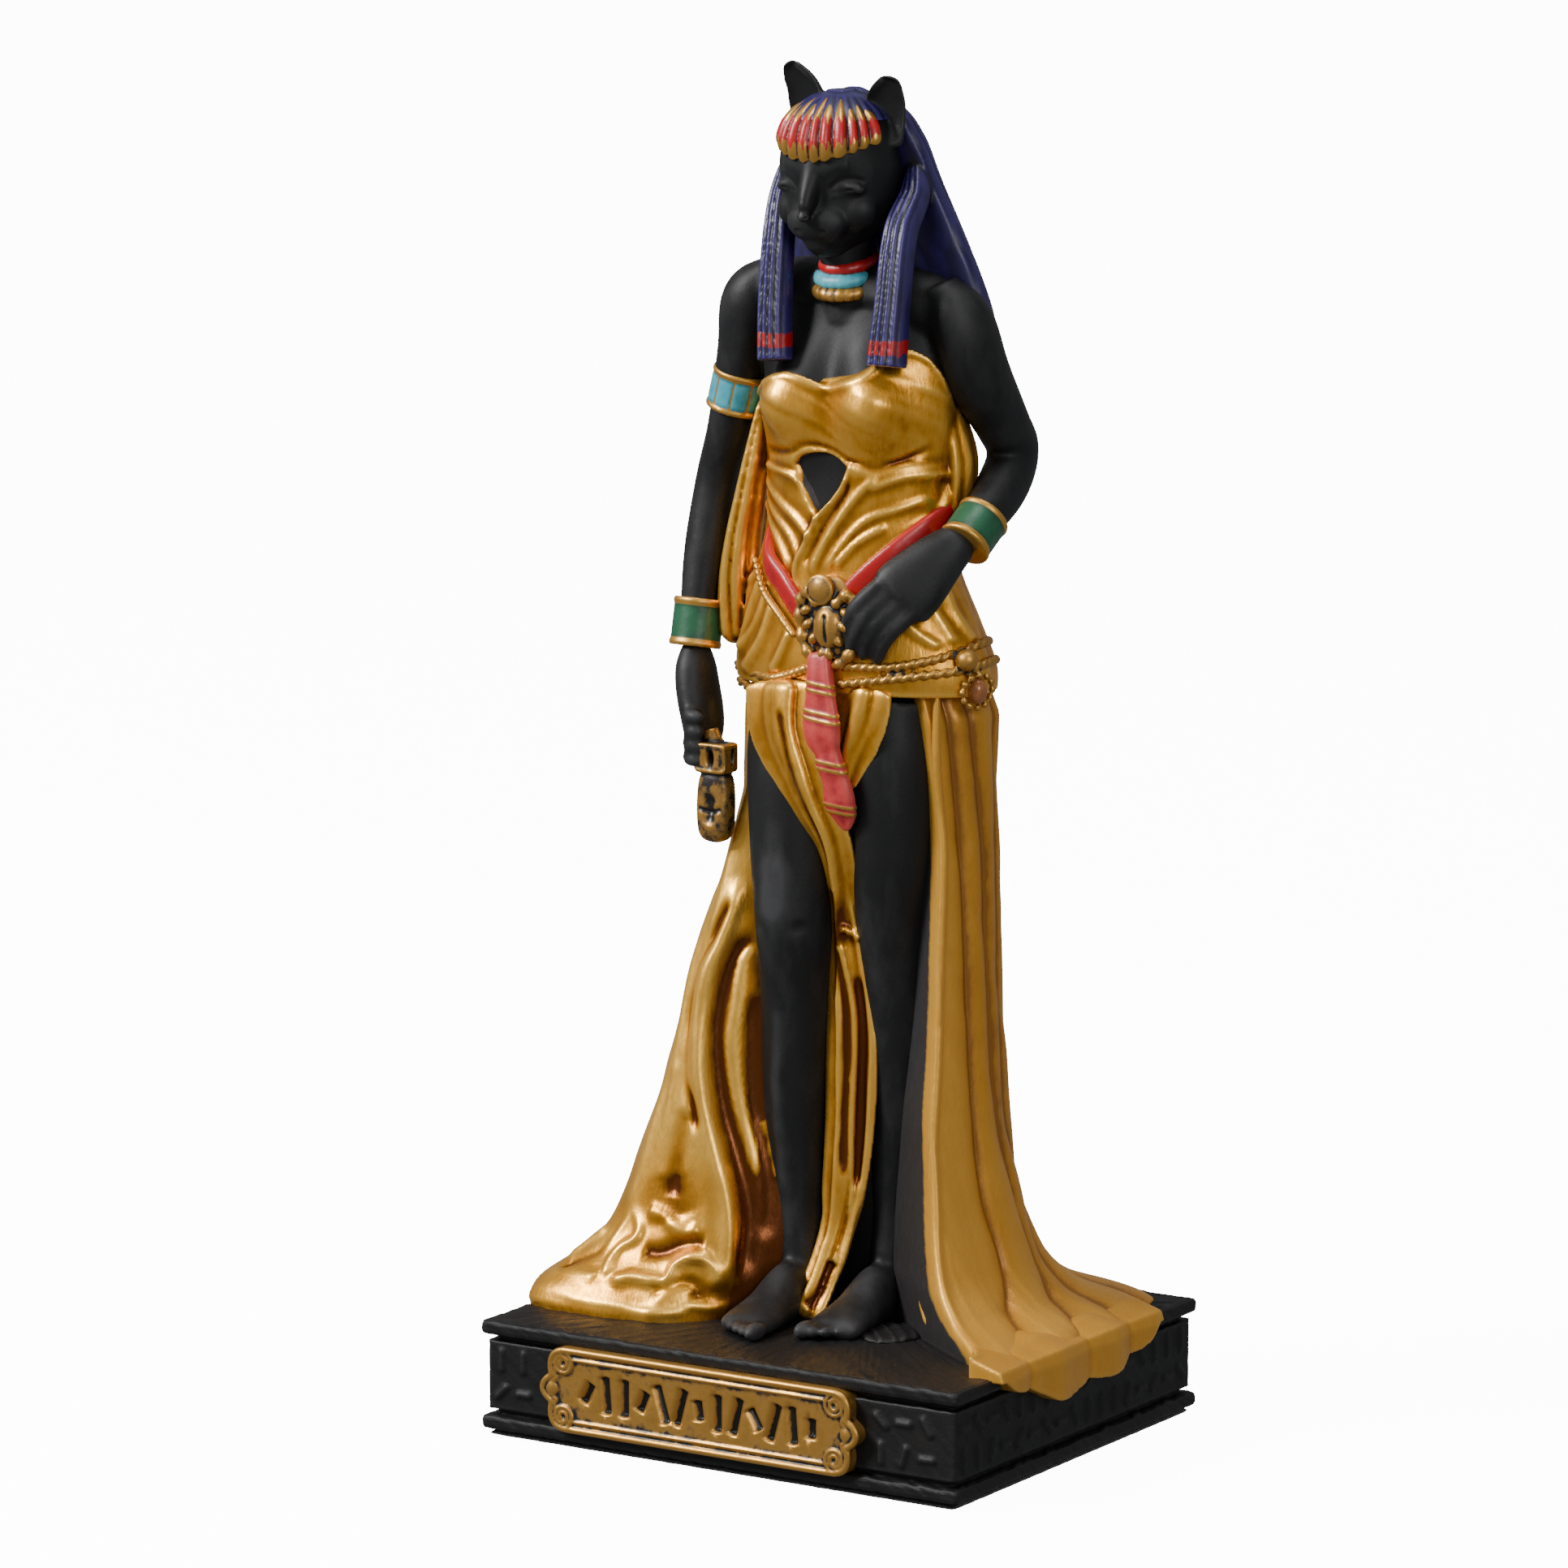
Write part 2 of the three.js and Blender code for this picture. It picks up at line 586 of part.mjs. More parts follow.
// The share of the way from hip to hem that the cloth has gone at each height, on the two sides.
const SPREAD_LEFT = [
  [0, 1.0],
  [1, 0.92],
  [4, 0.62],
  [10, 0.41],
  [16.4, 0.28],
  [25, 0.13],
  [34, 0.0],
];
const SPREAD_RIGHT = [
  [0, 1.0],
  [0.8, 0.86],
  [2, 0.54],
  [4.4, 0.31],
  [10.4, 0.14],
  [18.5, 0.06],
  [34, 0.0],
];
// Bearing of the bay's left edge at each height; its right edge hardly moves.
const BAY_LEFT = [
  [0, 230],
  [5, 230],
  [9, 226],
  [13, 216],
  [20, 212],
  [32, 206],
  [40, 204],
];
const BAY_RIGHT = 325;
const BAY_RADIUS = 3.4;
const BAY_EDGE = 9;
// Folds round the skirt as [first bearing, last bearing, ridges]; the bay has none.
const BAY_FLOOR = 226;
const PLEATS = [
  [BAY_RIGHT, 420, 8],
  [420, 550, 5],
  [550, BAY_FLOOR + 360, 3],
];
const PLEAT_DEPTH = 0.5;
const BAY_SIDES = 7;

// How far the plinth's edge is from the skirt's centre at a bearing.
function edgeReach(bearing) {
  const [c, s] = [Math.cos(degrees(bearing)), Math.sin(degrees(bearing))];
  const aside = PLINTH_WIDTH / 2 / scale - SKIRT_X * Math.sign(c);
  const along = PLINTH_DEPTH / 2 / scale - SKIRT_Y * Math.sign(s);
  return Math.min(aside / Math.abs(c), along / Math.abs(s)) + HEM_OVERHANG;
}

function skirtRadius(bearing, z) {
  const tuck = 1 - HIP.tuck * clamp((z - SKIRT_TOP) / 3 + 1);
  const hip = tuck * oval(bearing, HIP.side, HIP.front, HIP.back);
  const edge = edgeReach(bearing);
  const hem = Math.min(read(HEM_REACH, bearing)[0], edge);
  const leftness = clamp((1 - Math.cos(degrees(bearing - 20))) / 1.6 - 0.1);
  const spread = mix(read(SPREAD_RIGHT, z)[0], read(SPREAD_LEFT, z)[0], leftness);
  const run = PLEATS.find(([from, to]) => turnsPast(bearing, from) < to - from);
  const phase = run ? (turnsPast(bearing, run[0]) / (run[1] - run[0])) * run[2] : 0.25;
  const pleat = PLEAT_DEPTH * (0.4 + spread) * Math.cos(degrees(360 * phase));
  const full = Math.min(mix(hip, hem, spread) + pleat, edge);
  const inside = Math.min(turn(read(BAY_LEFT, z)[0], bearing), turn(bearing, BAY_RIGHT));
  const depth = clamp(inside / BAY_EDGE);
  return mix(full, BAY_RADIUS, depth * depth * (3 - 2 * depth));
}

// Heavy folds beside the bay, and the gathered folds of the hem that lies on the plinth to the left.
const LEFT_FOLDS = [
  [
    [-5.6, -2.4, 34.0, 0.4, 0.4],
    [-8.0, -3.4, 20.0, 1.3, 1.4],
    [-7.4, -4.6, 11.5, 1.3, 1.3],
    [-7.2, -6.6, 1.2, 1.6, 1.2],
  ],
  [
    [-5.2, -0.8, 27.0, 0.4, 0.4],
    [-7.2, 0.2, 14.0, 0.9, 0.9],
    [-5.6, -1.6, 5.0, 1.0, 1.0],
    [-5.4, -4.6, 0.6, 1.0, 0.8],
  ],
  [
    [-10.2, -1.8, 13.0, 0.3, 0.3],
    [-12.0, -4.2, 5.5, 1.0, 0.9],
    [-14.6, -7.0, 1.2, 1.1, 0.9],
  ],
  [
    [-9.0, -5.4, 6.0, 0.9, 0.7],
    [-11.2, -7.4, 2.6, 1.2, 0.7],
    [-12.6, -9.2, 0.6, 1.1, 0.7],
  ],
];
const FRONT_FLAP = [
  [-3.4, -3.7, 41.2, 1.9, 0.7],
  [-1.4, -4.5, 36.0, 1.6, 0.7],
  [1.0, -3.4, 31.0, 1.0, 0.8],
  [1.6, -2.2, 27.0, 0.8, 0.9],
  [1.2, -1.6, 20.0, 0.9, 1.0],
  [1.0, -1.4, 12.0, 0.9, 1.0],
  [0.6, -2.2, 5.0, 1.0, 0.9],
  [-0.3, -4.4, 0.3, 1.3, 0.7],
];
const LEFT_FLAP = [
  [4.0, -3.9, 41.4, 1.7, 0.7],
  [3.4, -4.0, 38.4, 1.4, 0.6],
  [2.6, -4.1, 34.8, 0.6, 0.5],
];
const SASH = [
  [1.4, -4.7, 43.6, 0.8, 0.45],
  [1.7, -5.1, 40.5, 1.25, 0.45],
  [1.9, -5.1, 38.2, 1.55, 0.5],
  [2.3, -4.8, 36.4, 0.95, 0.45],
  [2.8, -4.5, 34.6, 1.4, 0.5],
  [3.1, -4.1, 32.8, 0.35, 0.3],
];

function skirt() {
  const heights = [-0.4, 0.4, 1.6, 3.6, 7, 12, 18, 25, 32, 39.5, SKIRT_TOP];
  const bearings = PLEATS.flatMap(([from, to, ridges]) => fan(from, to, 2 * ridges)).map((b) => b % 360);
  bearings.push(...fan(BAY_FLOOR, BAY_RIGHT, BAY_SIDES));
  return join([
    column(heights, bearings, () => [SKIRT_X, SKIRT_Y], skirtRadius),
    ...LEFT_FOLDS.map((fold) => limb(fold, 6, 5)),
    limb(FRONT_FLAP, 6, 7),
    limb(LEFT_FLAP, 6, 2),
    limb(SASH, 5, 6),
  ]);
}

// The train that runs over the plinth's right edge: [share of the plinth's depth, drop below its top].
const TRAIN = [
  [-0.36, -0.4],
  [-0.3, 0.9],
  [-0.22, 1.7],
  [-0.1, 2.7],
  [0.04, 2.5],
  [0.18, 2.1],
  [0.26, 1.1],
  [0.31, -0.4],
];
const TRAIN_FLUTES = 6;
const TRAIN_FLUTE = 0.28;
const TRAIN_ROOT = 0.6;
const TRAIN_SHOULDER = 1.4;

function train() {
  const edge = PLINTH_WIDTH / 2;
  const [from, to] = [TRAIN[0][0], TRAIN[TRAIN.length - 1][0]];
  const rings = between(from, to, 2 * TRAIN_FLUTES + 1).map((share) => {
    const y = share * PLINTH_DEPTH;
    const flute = Math.cos(degrees((360 * TRAIN_FLUTES * (share - from)) / (to - from)));
    const drop = Math.max(read(TRAIN, share)[0] + TRAIN_FLUTE * flute, TRAIN_ROOT / 2);
    const inner = mix(0.5, 0.9, clamp(-share * 3)) * edge;
    const proud = edge + TRAIN_THICKNESS * 0.75 + TRAIN_FLUTE * flute;
    const top = TRAIN_THICKNESS * (1 + 0.3 * flute);
    const profile = [
      [inner, -TRAIN_ROOT],
      [inner, top * 1.6],
      [edge - TRAIN_SHOULDER, top],
      [proud - TRAIN_FLUTE, top * 0.4],
      [proud, -TRAIN_ROOT / 2],
      [proud, -drop],
      [edge - GROOVE_RECESS, -drop],
      [edge - TRAIN_SHOULDER, -TRAIN_ROOT],
    ];
    return profile.map(([x, z]) => new THREE.Vector3(x / scale, y / scale, z / scale));
  });
  return skin(rings);
}

// Jewellery and what the figure holds.
const CLASP = { centre: [1.3, -4.0, 46.0], size: [1.95, 1.3, 2.6] };
const CLASP_DISC = { centre: [1.2, -5.0, 47.6], size: [0.85, 0.6, 0.85] };
const NECKLACES = [
  { height: 67.9, radius: 2.1, half: 0.4 },
  { height: 67.0, radius: 2.35, half: 0.45 },
  { height: 66.1, radius: 2.65, half: 0.45 },
];
const CUFFS = [
  { from: [-7.85, 0.55, 60.9], to: [-8.6, 0.7, 58.3], radius: 1.95 },
  { from: [-10.65, -0.3, 45.9], to: [-10.7, -0.9, 42.8], radius: 1.7 },
  { from: [9.8, 1.4, 52.6], to: [9.5, -0.7, 50.9], radius: 1.75 },
];
const NECKLACE_CENTRE = [0.65, -0.25];
const NECKLACE_TILT = 12;
const RATTLE_GRIP = [[-9.1, -2.4, 39.2, 0.7, 0.7], [-8.6, -2.6, 37.0, 0.8, 0.8]];
const RATTLE_BLOCK = { centre: [-8.5, -2.7, 36.1], size: [2.5, 1.8, 2.0] };
const RATTLE_LOOP = [
  [-8.5, -2.7, 35.2, 1.1, 0.8],
  [-8.5, -2.8, 32.8, 1.25, 0.9],
  [-8.5, -2.8, 30.6, 0.9, 0.75],
];

function necklace({ height, radius, half }) {
  const ring = new THREE.TorusGeometry(radius, half, 4, 8).rotateX(degrees(-NECKLACE_TILT));
  return solid(ring.translate(...NECKLACE_CENTRE, height).scale(scale, scale, scale));
}

function held() {
  const block = new THREE.BoxGeometry(...RATTLE_BLOCK.size).translate(...RATTLE_BLOCK.centre);
  return join([
    ellipsoid(CLASP.centre, CLASP.size, 8, 5),
    ellipsoid(CLASP_DISC.centre, CLASP_DISC.size, 8, 4),
    limb(RATTLE_GRIP, 8, 1),
    solid(block.scale(scale, scale, scale)),
    limb(RATTLE_LOOP, 8, 3),
  ]);
}

function jewellery() {
  const cuffs = CUFFS.map(({ from, to, radius }) =>
    limb([[...from, radius, radius], [...to, radius, radius]], 10, 1),
  );
  return join([...NECKLACES.map(necklace), ...cuffs]);
}

// Plinth: two slabs with a recessed panel between them, and a nameplate on the front.
function box(width, depth, from, to) {
  return solid(new THREE.BoxGeometry(width, depth, to - from).translate(0, 0, (from + to) / 2));
}

// A slab whose edges are rounded off by one chamfer above and one below.
function slab(from, to) {
  const corners = [[-1, -1], [1, -1], [1, 1], [-1, 1]];
  const rows = [[from, 1], [from + SLAB_ROUNDING, 0], [to - SLAB_ROUNDING, 0], [to, 1]];
  const rings = rows.map(([z, inset]) => {
    const [x, y] = [PLINTH_WIDTH / 2 - inset * SLAB_ROUNDING, PLINTH_DEPTH / 2 - inset * SLAB_ROUNDING];
    return corners.map(([sx, sy]) => new THREE.Vector3((sx * x) / scale, (sy * y) / scale, z / scale));
  });
  return skin(rings);
}

function plinth() {
  const lowerTop = FELT_THICKNESS + SLAB_HEIGHT;
  const upperBottom = PLINTH_HEIGHT - SLAB_HEIGHT;
  const inner = (recess) => [PLINTH_WIDTH - 2 * recess, PLINTH_DEPTH - 2 * recess];
  return join([
    slab(FELT_THICKNESS, lowerTop),
    slab(upperBottom, PLINTH_HEIGHT),
    box(...inner(GROOVE_RECESS), FELT_THICKNESS, PLINTH_HEIGHT),
    box(...inner(PANEL_RECESS), lowerTop + GROOVE_HEIGHT, upperBottom - GROOVE_HEIGHT),
  ]);
}

// The nameplate's outline, with three scrolls at each end, drawn smaller by inset.
function plateOutline(inset) {
  const rise = PLATE_HEIGHT / 2 - inset;
  const straight = PLATE_LENGTH / 2 - 2 * SCROLL_RADIUS;
  const bulge = SCROLL_RADIUS - inset / 2;
  const outline = new THREE.Shape();
  outline.moveTo(-straight, -rise);
  outline.lineTo(straight, -rise);
  outline.quadraticCurveTo(straight + bulge * 1.6, -rise, straight + bulge * 1.2, -rise / 3);
  outline.quadraticCurveTo(straight + bulge * 2.6, 0, straight + bulge * 1.2, rise / 3);
  outline.quadraticCurveTo(straight + bulge * 1.6, rise, straight, rise);
  outline.lineTo(-straight, rise);
  outline.quadraticCurveTo(-straight - bulge * 1.6, rise, -straight - bulge * 1.2, rise / 3);
  outline.quadraticCurveTo(-straight - bulge * 2.6, 0, -straight - bulge * 1.2, -rise / 3);
  outline.quadraticCurveTo(-straight - bulge * 1.6, -rise, -straight, -rise);
  return outline;
}

function nameplate() {
  const layer = (inset, depth, proud) => {
    const settings = { depth, bevelEnabled: false, curveSegments: 4 };
    const plate = new THREE.ExtrudeGeometry(plateOutline(inset), settings).rotateX(degrees(90));
    const middle = (FELT_THICKNESS + PLINTH_HEIGHT) / 2;
    return solid(plate.translate(PLATE_OFFSET, depth - proud - PLINTH_DEPTH / 2, middle));
  };
  const sunk = 2 * RIM_HEIGHT;
  const body = layer(0, PLATE_THICKNESS + GROOVE_RECESS, PLATE_THICKNESS);
  return body.subtract(layer(RIM_WIDTH, sunk, PLATE_THICKNESS + sunk - RIM_HEIGHT));
}

function meshOf(name, made, material) {
  const out = made.getMesh();
  const geometry = new THREE.BufferGeometry();
  geometry.setAttribute("position", new THREE.BufferAttribute(out.vertProperties, out.numProp));
  geometry.setIndex(new THREE.BufferAttribute(out.triVerts, 1));
  geometry.computeVertexNormals();
  const mesh = new THREE.Mesh(geometry, new THREE.MeshStandardMaterial(material));
  mesh.name = name;
  return mesh;
}

const figure = join([legs(), arms(), head(), hair(), limb(YOKE, 8, 4), limb(NECK, 8, 2), robe()]);
const dressed = join([figure, skirt(), girdle(), held(), jewellery(), train()]);
const figurine = join([plinth(), nameplate(), dressed.translate([0, 0, PLINTH_HEIGHT])]);
const felt = box(PLINTH_WIDTH - 2 * FELT_INSET, PLINTH_DEPTH - 2 * FELT_INSET, 0, FELT_THICKNESS);

const part = new THREE.Group();
part.add(meshOf("figurine", figurine, { color: 0x6b4c1c, roughness: 0.5, metalness: 0.3 }));
part.add(meshOf("felt_pad", felt, { color: 0x0d0d0d, roughness: 0.95, metalness: 0 }));

export default part;
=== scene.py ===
"""A painted resin figurine of a cat-headed woman in a gold robe, on a black plinth with a nameplate.

Lengths in the forms are millimetres, and heights are counted from the plinth's top. Finished meshes are in
metres. Each class makes one group of pieces; its grain is the size at which their forms are fused.
"""

from __future__ import annotations

import logging
import math
from collections.abc import Callable, Sequence
from dataclasses import dataclass, field
from enum import Enum

import bmesh
import bpy
import numpy as np
from mathutils import Matrix, Vector


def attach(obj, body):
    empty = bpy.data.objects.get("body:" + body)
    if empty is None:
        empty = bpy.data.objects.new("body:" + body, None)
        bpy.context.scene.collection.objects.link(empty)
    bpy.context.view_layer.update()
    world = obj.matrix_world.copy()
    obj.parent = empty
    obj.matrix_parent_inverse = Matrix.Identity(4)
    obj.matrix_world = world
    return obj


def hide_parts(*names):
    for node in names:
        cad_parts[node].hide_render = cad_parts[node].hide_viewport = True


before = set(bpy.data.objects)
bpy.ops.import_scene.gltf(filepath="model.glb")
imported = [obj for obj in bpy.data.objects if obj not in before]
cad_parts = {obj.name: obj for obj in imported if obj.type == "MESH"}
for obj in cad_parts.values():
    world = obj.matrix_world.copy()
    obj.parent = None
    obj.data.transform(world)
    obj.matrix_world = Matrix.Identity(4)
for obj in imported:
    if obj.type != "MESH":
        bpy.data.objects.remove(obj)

log = logging.getLogger("figurine")

Array = np.ndarray
Table = Sequence[Sequence[float]]
Point = tuple[float, float, float]
Colour = tuple[float, float, float, float]
Drapery = Sequence[tuple[float, float, float, Sequence[Point]]]

MM = 0.001
PLINTH_TOP = 7.8
# Half the plinth's width and depth, which the cloth on it keeps to.
PLINTH_SIDE = 18.1
PLINTH_FRONT = 15.2
# The share of the triangles that is kept of a fused surface.
FUSED_SHARE = 0.5
CORD_STRANDS = 2
FRONT: Point = (0.0, -1.0, 0.0)
UP: Point = (0.0, 0.0, 1.0)
EVEN: Point = (1.0, 1.0, 1.0)


class Side(Enum):
    """The figure's two sides; its left is towards +X."""

    RIGHT = -1
    LEFT = 1


class Slot(Enum):
    """The record's material slots."""

    RESIN = "painted_resin"
    FELT = "felt"


# Numbers and curves
def read(table: Table, key: Array | float) -> Array:
    """Smooth values from rows of [key, value, ...] whose keys rise.

    Args:
        table: The rows.
        key: One key or an array of keys.

    Returns:
        An array with a last axis of one entry for each value of a row.
    """
    rows = np.asarray(table, float)
    keys, values = rows[:, 0], rows[:, 1:]
    slopes = np.empty_like(values)
    slopes[1:-1] = (values[2:] - values[:-2]) / (keys[2:] - keys[:-2])[:, None]
    slopes[0] = (values[1] - values[0]) / (keys[1] - keys[0])
    slopes[-1] = (values[-1] - values[-2]) / (keys[-1] - keys[-2])
    at = np.clip(np.asarray(key, float), keys[0], keys[-1])
    i = np.clip(np.searchsorted(keys, at, side="right") - 1, 0, len(keys) - 2)
    span = keys[i + 1] - keys[i]
    t = ((at - keys[i]) / span)[..., None]
    reach = span[..., None]
    bend = t * (1 - t)
    eased = values[i] + (values[i + 1] - values[i]) * t * t * (3 - 2 * t)
    return eased + bend * (1 - t) * reach * slopes[i] - bend * t * reach * slopes[i + 1]


def value(table: Table, key: Array | float) -> Array:
    """The first value of a table's rows at each key."""
    return read(table, key)[..., 0]


def hill(distance: Array, width: float) -> Array:
    """A smooth bump of height 1 and the given width."""
    return np.exp(-((distance / width) ** 2))


def ease(amount: Array | float) -> Array:
    """A smooth step from 0 to 1 as the amount goes from 0 to 1."""
    held = np.clip(amount, 0, 1)
    return held * held * (3 - 2 * held)


def past(bearing: Array, start: Array | float) -> Array:
    """How far each bearing lies past another, from 0 to 360 degrees."""
    return np.mod(bearing - start, 360)


def turned(start: Array | float, bearing: Array) -> Array:
    """The angle from one bearing to others, between -180 and 180 degrees."""
    return past(bearing, start - 180) - 180


def wave(*parts: Array) -> Array:
    """Uneven values between -1 and 1 that wander smoothly as any of the parts grows."""
    total = np.zeros(np.broadcast_shapes(*(np.shape(part) for part in parts)))
    for n in range(1, 4):
        inner = sum(part * (1.7 * n + 0.31 * k) for k, part in enumerate(parts))
        total = total + np.sin(inner + 1.3 * n + np.sin(inner * 0.63 + n)) / n
    return total / 1.8


def oval(bearing: Array, side: Array, front: Array, back: Array, power: Array | float = 2.0) -> Array:
    """Radius of an oval whose power is 2 for an ellipse and less for a wedge.

    Args:
        bearing: Degrees from +X.
        side: Half-width.
        front: Reach towards -Y.
        back: Reach towards +Y.
        power: How full the oval is.

    Returns:
        The radius at each bearing.
    """
    c, s = np.cos(np.radians(bearing)), np.sin(np.radians(bearing))
    reach = np.where(s < 0, front, back)
    return (np.abs(c / side) ** power + np.abs(s / reach) ** power) ** (-1 / power)


# Mesh helpers
def points_of(mesh: bpy.types.Mesh) -> Array:
    """All vertex places of a mesh as rows."""
    flat = np.empty(len(mesh.vertices) * 3, np.float32)
    mesh.vertices.foreach_get("co", flat)
    return flat.reshape(-1, 3).astype(float)


def place_points(mesh: bpy.types.Mesh, points: Array) -> None:
    """Moves every vertex of a mesh to its row of points."""
    mesh.vertices.foreach_set("co", np.ascontiguousarray(points, np.float32).ravel())
    mesh.update()


def normals_of(mesh: bpy.types.Mesh) -> Array:
    """All vertex normals of a mesh as rows."""
    flat = np.empty(len(mesh.vertices) * 3, np.float32)
    mesh.vertex_normals.foreach_get("vector", flat)
    return flat.reshape(-1, 3).astype(float)


def neighbours_mean(mesh: bpy.types.Mesh, rows: Array, rounds: int) -> Array:
    """Values averaged again and again with those of the neighbouring vertices.

    Args:
        mesh: The mesh whose edges join the vertices.
        rows: One row of values for each vertex.
        rounds: How often they are averaged.

    Returns:
        The averaged rows.
    """
    ends = np.empty(len(mesh.edges) * 2, np.int32)
    mesh.edges.foreach_get("vertices", ends)
    a, b = ends[0::2], ends[1::2]
    count = len(mesh.vertices)
    links = np.maximum(np.bincount(a, minlength=count) + np.bincount(b, minlength=count), 1)
    out = rows.astype(float)
    for _ in range(rounds):
        sums = [
            np.bincount(a, weights=column[b], minlength=count)
            + np.bincount(b, weights=column[a], minlength=count)
            for column in out.T
        ]
        out = 0.5 * out + 0.5 * np.stack(sums, axis=1) / links[:, None]
    return out


def store(mesh: bpy.types.Mesh, name: str, values: Array) -> None:
    """Keeps one number for each vertex in a named attribute."""
    layer = mesh.attributes.get(name) or mesh.attributes.new(name, "FLOAT", "POINT")
    layer.data.foreach_set("value", np.ascontiguousarray(values, np.float32))


def mesh_from(form: bmesh.types.BMesh, name: str) -> bpy.types.Mesh:
    """Turns a form into a mesh and lets go of the form.

    Args:
        form: The form.
        name: What the mesh is called.

    Returns:
        The mesh.
    """
    mesh = bpy.data.meshes.new(name)
    form.to_mesh(mesh)
    form.free()
    return mesh


def reshaped(mesh: bpy.types.Mesh, kind: str, **settings: object) -> bpy.types.Mesh:
    """Puts the mesh that a modifier makes in the place of another.

    Args:
        mesh: The mesh to start from, which is let go.
        kind: The modifier's type.
        settings: The modifier's own settings.

    Returns:
        The new mesh.
    """
    holder = bpy.data.objects.new(mesh.name, mesh)
    bpy.context.scene.collection.objects.link(holder)
    modifier = holder.modifiers.new(kind, kind)
    for key, setting in settings.items():
        setattr(modifier, key, setting)
    ready = holder.evaluated_get(bpy.context.evaluated_depsgraph_get())
    changed = bpy.data.meshes.new_from_object(ready)
    bpy.data.objects.remove(holder)
    bpy.data.meshes.remove(mesh)
    return changed


def distance_to_line(points: Array, line: Sequence[Point]) -> tuple[Array, Array]:
    """How far points lie from a bent line, and how far along it the nearest place is.

    Args:
        points: Rows of places.
        line: The line's corners in order.

    Returns:
        The distances, and the shares of the line's length from 0 to 1.
    """
    corners = np.asarray(line, float)
    steps = np.linalg.norm(np.diff(corners, axis=0), axis=1)
    total = steps.sum()
    best = np.full(len(points), 1e9)
    share = np.zeros(len(points))
    gone = 0.0
    for start, end, step in zip(corners[:-1], corners[1:], steps):
        run = end - start
        t = np.clip(((points - start) @ run) / (step * step), 0, 1)
        far = np.linalg.norm(points - (start + t[:, None] * run), axis=1)
        nearer = far < best
        best[nearer] = far[nearer]
        share[nearer] = (gone + t[nearer] * step) / total
        gone += step
    return best, share


@dataclass(frozen=True)
class Stroke:
    """A ridge or groove drawn on a surface along a line; a groove has a height below zero."""

    line: Sequence[Point]
    width: float
    height: float
    taper: float = 0.15
    # Painted shade that the stroke adds; below zero it is a painted highlight.
    tone: float = 0.0

    def cover(self, points: Array) -> Array:
        """How much of the stroke lies on each of the points, from 0 to 1."""
        corners = np.asarray(self.line, float)
        low, high = corners.min(0) - 3 * self.width, corners.max(0) + 3 * self.width
        inside = np.all((points > low) & (points < high), axis=1)
        covered = np.zeros(len(points))
        if inside.any():
            smooth = [tuple(p) for p in path(self.line, 4 * len(self.line))]
            far, share = distance_to_line(points[inside], smooth)
            ends = ease(share / self.taper) * ease((1 - share) / self.taper)
            covered[inside] = hill(far, self.width) * ends
        return covered

    def rise(self, points: Array) -> Array:
        """How far the stroke lifts the surface at each of the points."""
        return self.height * self.cover(points)


def path(stations: Table, count: int) -> Array:
    """Points on a smooth line through stations, of which each gives x, y and z first."""
    rows = [[i / (len(stations) - 1), *station[:3]] for i, station in enumerate(stations)]
    return read(rows, np.linspace(0, 1, count))


def strokes_of(rows: Drapery) -> list[Stroke]:
    """Strokes of cloth from rows of width, height, tone and line."""
    return [Stroke(line, width, height, 0.08, tone) for width, height, tone, line in rows]


